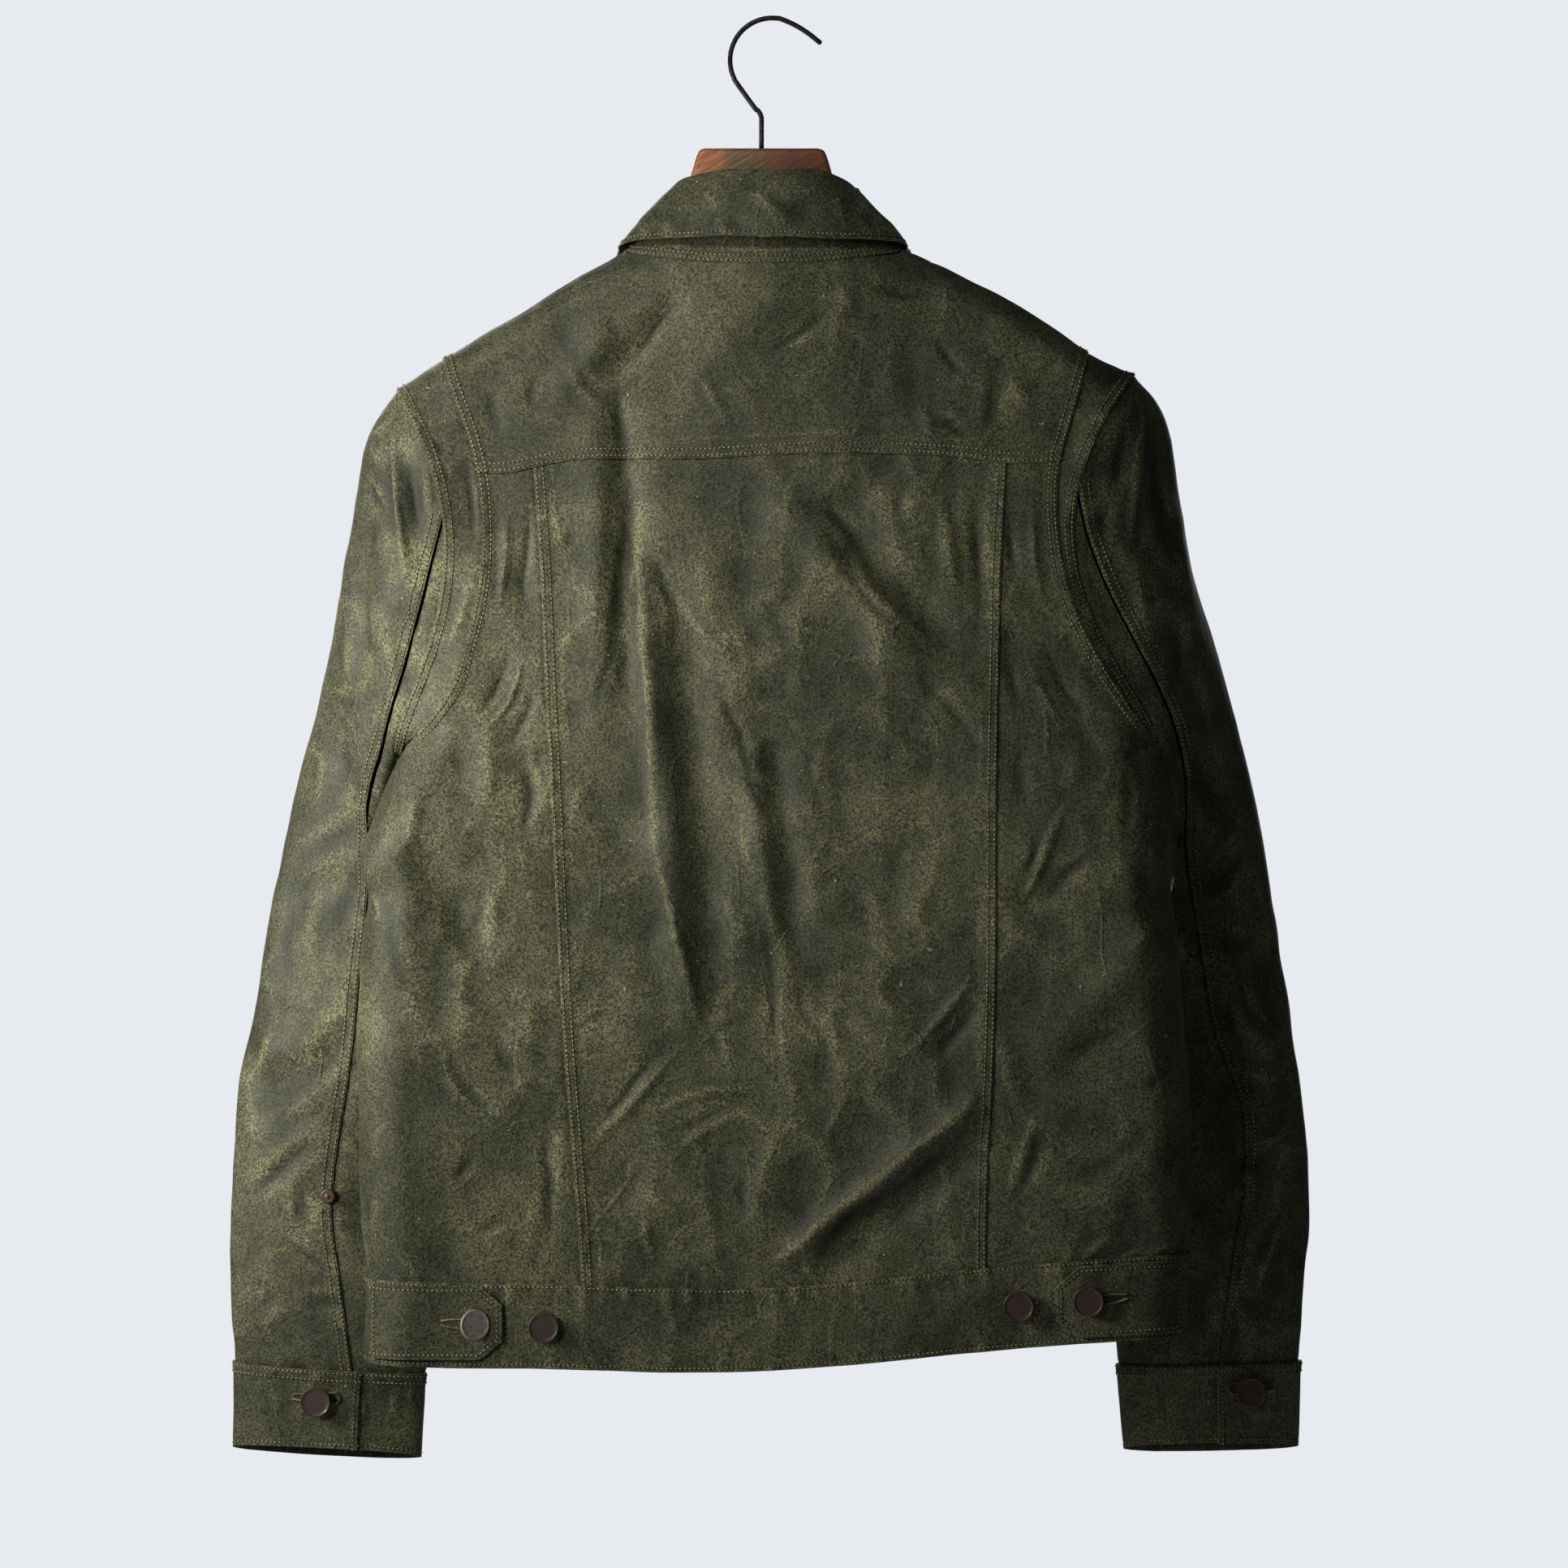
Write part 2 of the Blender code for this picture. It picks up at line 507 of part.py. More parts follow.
def yoke_outer(side, share):
    """Outer edge of the yoke beside one armhole: share 0 at the yoke seam, 0.5 at the shoulder,
    1 at the front seam."""
    tip_z = shoulder_z(armhole_x(side, 0.0))
    seam_z = yoke_seam_z(armhole_x(side, -0.270)) + YOKE_SEAM_GAP
    low = np.where(share <= 0.5, seam_z, FRONT_SEAM_END[side][1] + YOKE_SEAM_GAP)
    z = lerp(low, tip_z, np.sin(0.5 * math.pi * (1 - np.abs(1 - 2 * share))))
    x = armhole_x(side, z) - side * SEAM_GAP
    face = np.where(share <= 0.5, BACK, FRONT)
    return x, unroll(face, x, np.minimum(z, shoulder_z(x)))


def yoke():
    """A horseshoe from the neck seam out to the yoke seam, the armholes and the front seams."""
    corner = 62  # degrees round the neck that face the yoke seam's corners
    degrees = np.concatenate([np.linspace(corner, 90, 7)[:-1],
                              np.linspace(90, YOKE_FRONT_DEGREES, 7)])
    side_shares = np.linspace(0, 1, 13)
    ends = {}
    for side in (LEFT, RIGHT):
        ends[side] = yoke_outer(side, side_shares)
    along = np.linspace(0, 1, 15)[1:-1]
    back_x = lerp(ends[LEFT][0][0], ends[RIGHT][0][0], along)
    back_w = unroll(BACK, back_x, yoke_seam_z(back_x) + YOKE_SEAM_GAP)
    outer_x = np.concatenate([ends[LEFT][0][::-1], back_x, ends[RIGHT][0]])
    outer_w = np.concatenate([ends[LEFT][1][::-1], back_w, ends[RIGHT][1]])
    degrees = np.concatenate([-degrees[::-1], lerp(-corner, corner, along), degrees])
    neck = neck_point(degrees)
    face = np.where(np.abs(degrees) <= 90, BACK, FRONT)
    inner_w = unroll(face, neck[:, 0], neck[:, 2] - SEAM_GAP)
    inner_w = np.where(np.abs(np.abs(degrees) - 90) < 0.01, 0, inner_w)
    down = shares(7)[:, None]
    grid = roll(lerp(neck[:, 0], outer_x, down), lerp(inner_w, outer_w, down))
    return cloth("yoke", grid, (0, -1, 0.2))


def placket():
    """The buttoning band down the front, on the fronts' outer side."""
    down, across = np.meshgrid(shares(20), shares(3), indexing="ij")
    x = CENTRE_X + lerp(-PLACKET_HALF_WIDTH, PLACKET_HALF_WIDTH, across)
    z = lerp(neck_z(180) - 0.004, waist_seam_z(x) + SEAM_GAP, down)
    grid = torso(FRONT, x, z) + np.array([0, CLOTH + LAYER, 0])
    return cloth("front_placket", grid, (0, 1, 0))


def waist_ring(turn, z):
    """A point round the waistband: turn 0 at the centre front, 0.25 left side, 0.5 centre back."""
    quarter = np.where(turn < 0.5, turn, 1 - turn)
    points = []
    for face in (BACK, FRONT):
        share = quarter / 0.25 if face == FRONT else (0.5 - quarter) / 0.25
        girth = np.where(turn < 0.5, -half_girth(face, LEFT, z), half_girth(face, RIGHT, z))
        points.append(torso(face, lerp(CENTRE_X, girth, np.clip(share, 0, 1)), z))
    return np.where((np.abs(turn - 0.5) <= 0.25)[..., None], points[0], points[1])


def waistband():
    """One band round the bottom. Its two ends meet at the centre front."""
    turns = np.linspace(0.001, 0.999, 49)
    turns = turns - 0.012 * np.sin(4 * math.pi * turns)  # closer points at the sides
    down, turns = np.meshgrid(shares(3), turns, indexing="ij")
    z = -0.77 + 0 * turns
    for _ in range(6):
        x = waist_ring(turns, z)[..., 0]
        z = lerp(waist_seam_z(x) - SEAM_GAP / 2, hem_z(x), down)
    return cloth("waistband", waist_ring(turns, z), (0, -1, 0))


def waist_outer(x, z, lift):
    """A point on the waistband's back, moved out by lift along the cloth's outward direction."""
    side = LEFT if x < 0 else RIGHT
    step = 0.0006
    p = cloth_p(BACK, side, x, z)
    here = torso(BACK, p, z)
    across = torso(BACK, p + step, z) - torso(BACK, p - step, z)
    up = torso(BACK, p, z + step) - torso(BACK, p, z - step)
    normal = np.cross(across, up)
    normal /= np.linalg.norm(normal)
    if normal[1] > 0:
        normal = -normal
    return here + normal * lift, normal


def tab(word, side):
    """A waist tab: it starts at the side seam and ends in two chamfers."""
    size = TABS[word]
    reach = abs(size["end"] - size["side"])
    places = (0.0, 0.04, 0.11, 0.22, 0.4, 0.6, 1 - size["chamfer"] / reach, 1.0)
    grid = np.zeros((5, len(places), 3))
    for c, t in enumerate(places):
        x = lerp(size["side"], size["end"], t)
        top = lerp(size["side_top"], size["end_top"], t)
        bottom = lerp(size["side_bottom"], size["end_bottom"], t)
        if t == 1.0:
            top -= size["chamfer"] * 0.85
            bottom += size["chamfer"] * 0.85
        for r, down in enumerate(shares(4)):
            grid[r, c] = waist_outer(x, lerp(top, bottom, down), CLOTH + 2 * LAYER)[0]
    return cloth(f"waist_tab_{word}", grid, (0, -1, 0))


# ---- collar ------------------------------------------------------------------------------------
# degrees round the neck, z of the fold line, then the fall's edge: x from the centre, unrolled
# length from the shoulder line, stand-off
COLLAR = (
    (0, -0.0930, 0.0000, -0.0345, 0.0095), (30, -0.0935, 0.0430, -0.0305, 0.0090),
    (55, -0.0975, 0.0710, -0.0210, 0.0085), (75, -0.1050, 0.0830, -0.0110, 0.0055),
    (90, -0.1135, 0.0855, 0.0000, 0.0030), (100, -0.1200, 0.0862, 0.0130, 0.0055),
    (110, -0.1280, 0.0860, 0.0280, 0.0080), (135, -0.1560, 0.0780, 0.0775, 0.0095),
    (155, -0.1790, 0.0630, 0.1110, 0.0085), (176, -0.1930, 0.0420, 0.1375, 0.0070),
)
FOLD_HALF_WIDTH = 0.0600
FOLD_DEPTH = (0.0330, 0.0320)  # y reach of the fold line at the back, and at the front
STAND_INSET = (0.0026, 0.0024)  # how far inside the fold it ends, and how much more at the front
FALL_BOW = 0.0020
STAND_START = 0.03  # share of the stand's height left clear of the neck seam
collar_fold_z = curve(COLLAR, 1)
collar_edge_x = curve(COLLAR, 2)
collar_edge_w = curve(COLLAR, 3)
collar_edge_off = curve(COLLAR, 4)


def fold_ring(degrees, inset):
    angle = np.radians(degrees)
    depth = np.where(np.abs(degrees) <= 90, FOLD_DEPTH[0], FOLD_DEPTH[1]) - inset
    x = CENTRE_X + (FOLD_HALF_WIDTH - inset) * np.sin(angle)
    return np.stack([x, -0.0020 - depth * np.cos(angle), collar_fold_z(np.abs(degrees)) - inset], -1)


def fall_edge(degrees):
    """The fall's lower edge, which stands a little off the body."""
    around, step = np.abs(degrees), 0.0005
    x = CENTRE_X + np.sign(degrees) * collar_edge_x(around)
    w = collar_edge_w(around)
    across = roll(x + step, w) - roll(x - step, w)
    down = roll(x, w + step) - roll(x, w - step)
    normal = np.cross(across, down)
    outward = np.stack([0 * w, w / SHOULDER_ARC, np.maximum(1 - np.abs(w) / SHOULDER_ARC, 0)], -1)
    normal *= np.sign(np.sum(normal * outward, axis=-1, keepdims=True))
    normal /= np.linalg.norm(normal, axis=-1, keepdims=True)
    return roll(x, w) + normal * collar_edge_off(around)[..., None]


def collar():
    """A stand that rises from the neck seam, and a fall that folds out over it."""
    degrees = np.linspace(-FRONT_NECK_DEGREES, FRONT_NECK_DEGREES, 29)
    base = neck_point(degrees) + np.array([0, 0, 2 * SEAM_GAP])
    up = lerp(STAND_START, 1, shares(3))[:, None, None]
    inset = STAND_INSET[0] + STAND_INSET[1] * smoothstep(np.abs(degrees), 70, 110)
    stand = lerp(base, fold_ring(degrees, inset), up)
    down = shares(5)[:, None, None]
    angle = np.radians(degrees)
    bow = np.stack([np.sin(angle), -np.cos(angle), 0 * angle + 0.4], -1)
    fall = lerp(fold_ring(degrees, 0.0), fall_edge(degrees), down)
    fall = fall + FALL_BOW * np.sin(math.pi * down) * bow
    cloth("collar_stand", stand, (0, -1, 0))
    cloth("collar_fall", fall, (0, -1, 0))


# ---- sleeves -----------------------------------------------------------------------------------
def section_curves(table):
    rows = [(float(i), *row) for i, row in enumerate(table)]
    return [curve(rows, column) for column in range(1, 9)]


SLEEVES = {LEFT: section_curves(LEFT_SLEEVE), RIGHT: section_curves(RIGHT_SLEEVE)}
SEAM_TURNS = {LEFT: curve(SLEEVE_SEAM, 1), RIGHT: curve(SLEEVE_SEAM, 2)}
LAST_SECTION = len(LEFT_SLEEVE) - 1


def ring_point(size, side, turn, fullness=0.0):
    """A point of an elliptical section: turn 0 outer, 0.25 back, 0.5 inner, 0.75 front.
    Fullness, up to 0.5, squares the section's depth off towards its ends."""
    outer_x, outer_z, inner_x, inner_z, y, tuck, depth, bulge = size
    c, s = np.cos(2 * math.pi * turn), np.sin(2 * math.pi * turn)
    inner = 0.5 - 0.5 * c
    x = lerp(outer_x, inner_x, inner) - side * bulge * s * s * (1 - 0.65 * inner**3)
    z = lerp(outer_z, inner_z, inner)
    y = y + tuck * inner**3 - 0.5 * depth * s * (1 + fullness * (1 - s * s))
    return np.stack(np.broadcast_arrays(x, y, z), -1)


def plain_sleeve(side, section, turn):
    fullness = ARMHOLE_FULLNESS * (1 - smoothstep(section, 0, 1.5))
    return ring_point([f(section) for f in SLEEVES[side]], side, turn, fullness)


def sleeve_normal(side, section, turn):
    step = 0.01
    low, high = np.maximum(section - step, 0), np.minimum(section + step, LAST_SECTION)
    along = plain_sleeve(side, high, turn) - plain_sleeve(side, low, turn)
    around = plain_sleeve(side, section, turn + step) - plain_sleeve(side, section, turn - step)
    normal = np.cross(around, along) * side
    return normal / np.linalg.norm(normal, axis=-1, keepdims=True)


def sleeve(side, section, turn):
    """Outer surface of a sleeve, with its folds."""
    point = plain_sleeve(side, section, turn)
    height = np.zeros(point.shape[:-1])
    for s0, t0, s1, t1, width, rise in SLEEVE_FOLDS:
        start, end = plain_sleeve(side, s0, t0), plain_sleeve(side, s1, t1)
        span = end - start
        t = np.clip((point - start) @ span / np.dot(span, span), 0, 1)
        off = np.linalg.norm(point - start - t[..., None] * span, axis=-1)
        apart = np.abs((turn - lerp(t0, t1, t) + 0.5) % 1 - 0.5)
        here = np.sqrt(4 * t * (1 - t)) * np.exp(-((off / width) ** 2))
        height = height + np.where(apart < 0.22, rise * here, 0)
    ends = np.clip(np.minimum(section, LAST_SECTION - section) / 0.35, 0, 1)
    return point + sleeve_normal(side, section, turn) * (height * ends)[..., None]


def seam_gap_turn(side, section, seam):
    """The share of a turn that a seam's gap takes up, measured square to the seam's line."""
    step, turn = 0.02, seam(section)
    around = (plain_sleeve(side, section, turn + step) - plain_sleeve(side, section, turn)) / step
    low, high = np.maximum(section - step, 0), np.minimum(section + step, LAST_SECTION)
    along = plain_sleeve(side, high, seam(high)) - plain_sleeve(side, low, seam(low))
    along /= np.linalg.norm(along, axis=-1, keepdims=True)
    square = around - along * np.sum(around * along, axis=-1, keepdims=True)
    at_pit = smoothstep(section, 0.6, 1.2) * (1 - smoothstep(section, 1.6, 2.4))
    return (SLEEVE_SEAM_GAP + PIT_SEAM_EASE * at_pit) / np.linalg.norm(square, axis=-1)


def evened(turns):
    """Turns for an even count round a section, closer together at its narrow ends."""
    return turns - NARROW_EASE * np.sin(4 * math.pi * turns)


def even_count(turns):
    """The count that evened() turns into these turns."""
    count = turns
    for _ in range(30):
        count = turns + NARROW_EASE * np.sin(4 * math.pi * count)
    return count


def sleeve_pieces(side, word):
    sections = np.concatenate([(0, 0.2, 0.4, 0.65, 1.0, 1.35, 1.65),
                               np.linspace(2, LAST_SECTION, 15)])
    back_seam = SEAM_TURNS[side](sections)
    back_gap = seam_gap_turn(side, sections, SEAM_TURNS[side])
    under_gap = seam_gap_turn(side, sections, lambda section: UNDERARM_TURN + 0 * section)
    edges = {
        "top": (14, UNDERARM_TURN - 1 + under_gap, back_seam - back_gap),
        "under": (8, back_seam + back_gap, UNDERARM_TURN - under_gap),
    }
    for name, (count, low, high) in edges.items():
        low, high = even_count(low[:, None]), even_count(high[:, None])
        turns = evened(lerp(low, high, shares(count)))
        near_pit = (0.5 - 0.5 * np.cos(2 * math.pi * turns)) ** 2
        start = SLEEVE_START * lerp(0.3, 1, near_pit) * np.maximum(1 - sections[:, None], 0)
        grid = sleeve(side, sections[:, None] + start, turns)
        middle = (len(sections) // 2, count // 2)
        away = sleeve_normal(side, sections[middle[0]], turns[middle])
        cloth(f"sleeve_{name}_{word}", grid, away)


def sleeve_band(side, word):
    """The band between the armhole seam and the sleeve. It starts just outside the body's edge."""
    turns = evened(np.arange(32) / 32)
    inner = armhole_loop(side, turns)
    outer = plain_sleeve(side, 0.0, turns - BAND_SKEW * np.sin(2 * math.pi * turns))
    across = outer - inner
    near_pit = (0.5 - 0.5 * np.cos(2 * math.pi * turns))[:, None] ** 2
    for loop, gap in ((inner, 0.0014 + 0.0010 * near_pit), (outer, -0.0008 - 0.0022 * near_pit)):
        along = np.roll(loop, -1, axis=0) - np.roll(loop, 1, axis=0)
        along /= np.linalg.norm(along, axis=1, keepdims=True)
        square = across - along * np.sum(across * along, axis=1, keepdims=True)
        loop += gap * square / np.linalg.norm(square, axis=1, keepdims=True)
    grid = lerp(inner, outer, np.array([0.0, 0.35, 0.7, 1.0])[:, None, None])
    cloth(f"sleeve_band_{word}", grid, (0.3 * side, 0, 1), closed=True)


def cuff(side, word):
    """A cuff wraps once round the wrist, and its button end lies on top of the other."""
    top, bottom = LEFT_CUFF if side == LEFT else RIGHT_CUFF
    share, down = shares(26)[None, :], shares(3)[:, None]
    turn = CUFF_EDGE_TURN[side] - share * (1 + CUFF_LAP_TURN)
    size = [lerp(a, b, down) for a, b in zip(top, bottom)]
    point = ring_point(size, side, turn)
    centre = ring_point([*size[:6], 0, 0], side, 0.25)
    away = (point - centre) * np.array([1, 1, 0])
    away /= np.linalg.norm(away, axis=-1, keepdims=True)
    lift = CLOTH + LAYER * 1.5 - (CLOTH + LAYER * 1.5) * smoothstep(share, 0.0, 0.55)
    far = -np.sin(2 * math.pi * turn)
    drop = 0.5 * CUFF_FAR_DROP * far * down
    grid = point + away * lift[..., None]
    grid[..., 2] -= drop
    cloth(f"cuff_{word}", grid, (side, 0, 0))


# ---- buttons and rivets ------------------------------------------------------------------------
def turned(name, profile, finish, steps, place, normal):
    """A turned piece: its profile in radius and height, stood on place along normal."""
    mesh = bpy.data.meshes.new(name)
    points = [(radius, 0, height) for radius, height in profile]
    mesh.from_pydata(points, [(i, i + 1) for i in range(len(points) - 1)], [])
    made = add_object(name, mesh, finish)
    screw = made.modifiers.new("turn", "SCREW")
    screw.axis = "Z"
    screw.steps = screw.render_steps = steps
    screw.use_merge_vertices = True
    screw.merge_threshold = 0.00002
    made.matrix_world = (Matrix.Translation(Vector(place))
                         @ Vector(normal).to_track_quat("Z", "Y").to_matrix().to_4x4())
    return made


def button_profile():
    r, h = BUTTON_RADIUS, BUTTON_HEIGHT
    return ((0, h - 0.0004), (r * 0.74, h - 0.0004), (r * 0.80, h), (r * 0.95, h - 0.0003),
            (r, h - 0.0011), (r * 0.92, h - 0.0022), (r * 0.40, h - 0.0026), (r * 0.40, 0), (0, 0))


def button(name, place, normal, lift, steps=16):
    start = np.array(place) + np.array(normal) * lift
    return turned(name, button_profile(), "bronze", steps, start, normal)


def buttons():
    for word, (x, z) in WAIST_BUTTONS.items():
        layers = 2 if "outer" in word else 1
        lift = SEAM_GAP + (CLOTH + LAYER) * (layers - 1) + 0.0006
        surface, normal = waist_outer(x, z, 0.0)
        button(f"waist_button_{word}", surface, normal, lift)
    for side, word in ((LEFT, "left"), (RIGHT, "right")):
        top, bottom = LEFT_CUFF if side == LEFT else RIGHT_CUFF
        turn, down = CUFF_BUTTON[side]
        size = [lerp(a, b, down) for a, b in zip(top, bottom)]
        surface = ring_point(size, side, turn)
        button(f"cuff_button_{word}", surface, (0, -1, 0), 0.0042)
    top, bottom = float(neck_z(180)) - 0.016, -0.7745
    for i in range(FRONT_BUTTON_COUNT):
        z = lerp(top, bottom, i / (FRONT_BUTTON_COUNT - 1))
        lift = 2 * (CLOTH + LAYER) if i < FRONT_BUTTON_COUNT - 1 else CLOTH
        surface = torso(FRONT, CENTRE_X + 0.003, z)
        button(f"front_button_{i + 1}", surface, (0, 1, 0), lift, steps=12)


def rivets():
    """A rivet at the top of each sleeve's vent, beside the back seam."""
    profile = ((0, 0.0016), (RIVET_RADIUS * 0.7, 0.0016), (RIVET_RADIUS, 0.0006),
               (RIVET_RADIUS, 0), (0, 0))
    for side, word in ((LEFT, "left"), (RIGHT, "right")):
        section = RIVET_SECTION[side]
        turn = SEAM_TURNS[side](section) - RIVET_FROM_SEAM
        surface = sleeve(side, section, turn)
        normal = sleeve_normal(side, section, turn)
        turned(f"sleeve_rivet_{word}", profile, "bronze", 12, surface + normal * 0.0008, normal)


# ---- hanger ------------------------------------------------------------------------------------
WOOD_TOP = -0.0768
# x, z down the right half of the bar's outline, from the block's top to the middle of its underside
HANGER_OUTLINE = (
    (0.0335, -0.0768), (0.0368, -0.0780), (0.0388, -0.0815), (0.0408, -0.0880), (0.0426, -0.0950),
    (0.0452, -0.1120), (0.0510, -0.1290), (0.0630, -0.1430), (0.0830, -0.1540), (0.1100, -0.1665),
    (0.1430, -0.1840), (0.1700, -0.2000), (0.1820, -0.2115), (0.1790, -0.2190), (0.1650, -0.2200),
    (0.1400, -0.2110), (0.1050, -0.1940), (0.0650, -0.1790), (0.0300, -0.1710), (0.0000, -0.1690),
)
HOOK_SHANK_X = -0.0067
HANGER_Y = -0.0065
HOOK_CENTRE = (-0.0003, -0.0251)
HOOK_RADIUS = 0.0251


def hanger_bar():
    outline = [(x, z) for x, z in HANGER_OUTLINE]
    outline += [(-x, z) for x, z in HANGER_OUTLINE[-2::-1]]
    line = bpy.data.curves.new("hanger_bar", "CURVE")
    line.dimensions = "2D"
    line.fill_mode = "BOTH"
    spline = line.splines.new("POLY")
    spline.points.add(len(outline) - 1)
    for point, (x, z) in zip(spline.points, outline):
        point.co = (x + HOOK_SHANK_X, z, 0, 1)
    spline.use_cyclic_u = True
    bevel = 0.0025
    line.extrude = WOOD_HALF_THICKNESS - bevel
    line.bevel_depth = bevel
    line.offset = -bevel
    line.bevel_resolution = 1
    made = add_object("hanger_bar", line, "wood")
    made.rotation_euler = (math.pi / 2, 0, 0)
    made.location = (0, HANGER_Y, 0)
    return made


def hanger_hook():
    """Wire: a shank, a slanting run out to the left, and an open arc over the crown."""
    cx, cz = HOOK_CENTRE
    ring = HOOK_RADIUS
    path = [(HOOK_SHANK_X, WOOD_TOP + SEAM_GAP), (HOOK_SHANK_X, -0.0590)]
    for t in (0.25, 0.5, 0.75, 1.0):  # the bend from the shank into the slanting run
        path.append((HOOK_SHANK_X - 0.0042 * t * t, -0.0590 + 0.0085 * t - 0.0012 * t * t))
    arc = [math.radians(a) for a in np.linspace(212, 78, 22)]
    path += [(cx + ring * math.cos(a), cz + ring * math.sin(a) + WIRE_RADIUS) for a in arc]
    end = path[-1]
    path += [(lerp(end[0], 0.0282, t), lerp(end[1], -0.0132, t) + 0.0016 * math.sin(math.pi * t))
             for t in (0.33, 0.66, 1.0)]
    wire = bpy.data.curves.new("hanger_hook", "CURVE")
    wire.dimensions = "3D"
    wire.bevel_depth = WIRE_RADIUS
    wire.bevel_resolution = 2
    wire.use_fill_caps = True
    spline = wire.splines.new("POLY")
    spline.points.add(len(path) - 1)
    for point, (x, z) in zip(spline.points, path):
        point.co = (x, HANGER_Y, z, 1)
    return add_object("hanger_hook", wire, "steel")


# ---- the whole jacket --------------------------------------------------------------------------
def main():
    back_panels()
    yoke()
    front_panels()
    placket()
    waistband()
    tab("left", LEFT)
    tab("right", RIGHT)
    collar()
    for side, word in ((LEFT, "left"), (RIGHT, "right")):
        sleeve_band(side, word)
        sleeve_pieces(side, word)
        cuff(side, word)
    buttons()
    rivets()
    hanger_bar()
    hanger_hook()


for old in list(bpy.data.objects):
    bpy.data.objects.remove(old, do_unlink=True)
jacket = bpy.data.collections.new("waxed_cotton_jacket")
bpy.context.scene.collection.children.link(jacket)
main()
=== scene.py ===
"""Waxed cotton work jacket on a wooden hanger, sewn and finished in cloth, thread, bronze and wood.

Metres, +Z up, the jacket's back towards -Y. The body's sheets and the sleeves' tubes are surfaces
given by functions. Each cloth piece is a fine grid on them, with creases, seam laps and puckers
pressed in, a wall behind it, and a "wear" attribute that tells its finish where it is
rubbed, and where it lies in a hollow that the finish paints in shade.
"""

import math
from itertools import product

import bmesh
import bpy
import numpy as np
from mathutils import Matrix, Vector
from mathutils.bvhtree import BVHTree


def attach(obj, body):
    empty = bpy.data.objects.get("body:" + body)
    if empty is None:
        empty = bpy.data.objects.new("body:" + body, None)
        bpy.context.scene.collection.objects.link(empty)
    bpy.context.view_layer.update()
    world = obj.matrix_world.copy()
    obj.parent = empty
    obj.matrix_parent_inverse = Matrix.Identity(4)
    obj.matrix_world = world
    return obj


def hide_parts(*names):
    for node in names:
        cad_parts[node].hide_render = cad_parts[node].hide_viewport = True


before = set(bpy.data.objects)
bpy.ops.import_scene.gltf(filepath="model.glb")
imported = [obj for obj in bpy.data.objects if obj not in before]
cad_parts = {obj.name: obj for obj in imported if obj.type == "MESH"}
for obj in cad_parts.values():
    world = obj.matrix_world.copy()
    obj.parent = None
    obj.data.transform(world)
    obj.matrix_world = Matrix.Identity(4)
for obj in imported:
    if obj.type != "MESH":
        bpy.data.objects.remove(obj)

bl_info = {
    "name": "Waxed cotton jacket",
    "version": (1, 0, 0),
    "blender": (4, 5, 0),
    "location": "View3D > Sidebar > Jacket",
    "description": "Builds a waxed cotton jacket hanging on a wooden hanger",
    "category": "Object",
}

# ---- driving sizes -----------------------------------------------------------------------------
CLOTH = 0.0015  # wall of one sewn cloth piece
SEAM_GAP = 0.0003  # clear space left between two pieces at a seam
LAYER = 0.0006  # clear space between a piece and the one that lies on it
CENTRE_X = -0.0050  # the jacket's centre line, a little off the hook's crown

SHOULDER_ROUND = 0.022  # how far below the shoulder line the sheets are full depth apart
SHOULDER_ARC = 0.0400  # cloth length of that rounding
SIDE_ROUND = 0.030  # the same, measured in from the side edges
NECK_BULGE = 0.014  # extra depth of the back just under the collar
PIT_Z = -0.434  # height of the underarm point

RIDGE_SHARES = (0.52, 0.82)  # of a table's half width and height that a ridge is pressed with
TROUGH_SHARES = (0.64, 0.72)  # the same for a trough
KEENER, KEENEST = 0.3, 0.9  # added to a crease's keenness, and its limit
CREASE_FADE = 0.045  # longest stretch in which a crease fades out at an end
CREASE_WAVER = 0.28  # share by which a crease's width wanders along it
ROW_GROOVE = (0.00030, 0.0009)  # depth and half width of the groove along a stitch row
LAP_GROOVE = (0.00015, 0.0009)  # the same at the very end of a lapping edge
SEAM_RIDGE = (0.00020, 0.0009)  # height and half width of the faint line beside a seam
# Below the threads around, these heights set the painted shade of creases and hollows.
KEEN_RISE = 0.00022  # height over the threads next to it at which cloth is rubbed bare
HOLLOW_RISE = 0.0022  # the same over the threads around, and the depth of full painted shade
ROW_STEP = 0.0025  # length of the straight runs of a stitch row
ROW_LIFT = 0.00030  # height of a stitch row's middle over the cloth

# the cloth's own unevenness
DENTS = ((0.040, 3, 1.0), (0.018, 8, 0.42))  # size of a dent, seed, share of the height
SHARP = ((0.034, 11, 1.0), (0.019, 13, 0.28))  # the same for the small sharp ridges
RIDGE_PULL = (0.022, 0.007)  # cell and reach of the shift that draws the ridges out of line
RIDGE_STRETCH = (1.0, 1.0, 0.55)  # scale of their pattern: they run on further in height
RIDGE_PATCHES = (0.070, 0.30, 0.70)  # cell, height between the patches, and what a patch adds

# what sewing does, by the distance from an edge
LAP_SLOPE = (0.002, 0.0095)  # an edge on top falls from its full rise in this stretch
UNDER_SLOPE = (0.001, 0.0045)  # and the one under it comes up from half that depth
FLATTENED = (0.55, 0.005)  # share that sewing takes off the creases, and its reach
PUCKER_WAVE = 0.0062  # cell of the puckers along an edge
RUBBED_EDGE = (0.75, 0.0007)  # wear of an edge, and its reach

# spacing of the threads in the meshes of the small pieces
TAB_SPACING, BAND_SPACING, CUFF_SPACING = 0.0020, 0.0022, 0.0024
CUFF_NEAR_SPACING = 0.0015  # of the grid that a cuff's buttonhole is set on
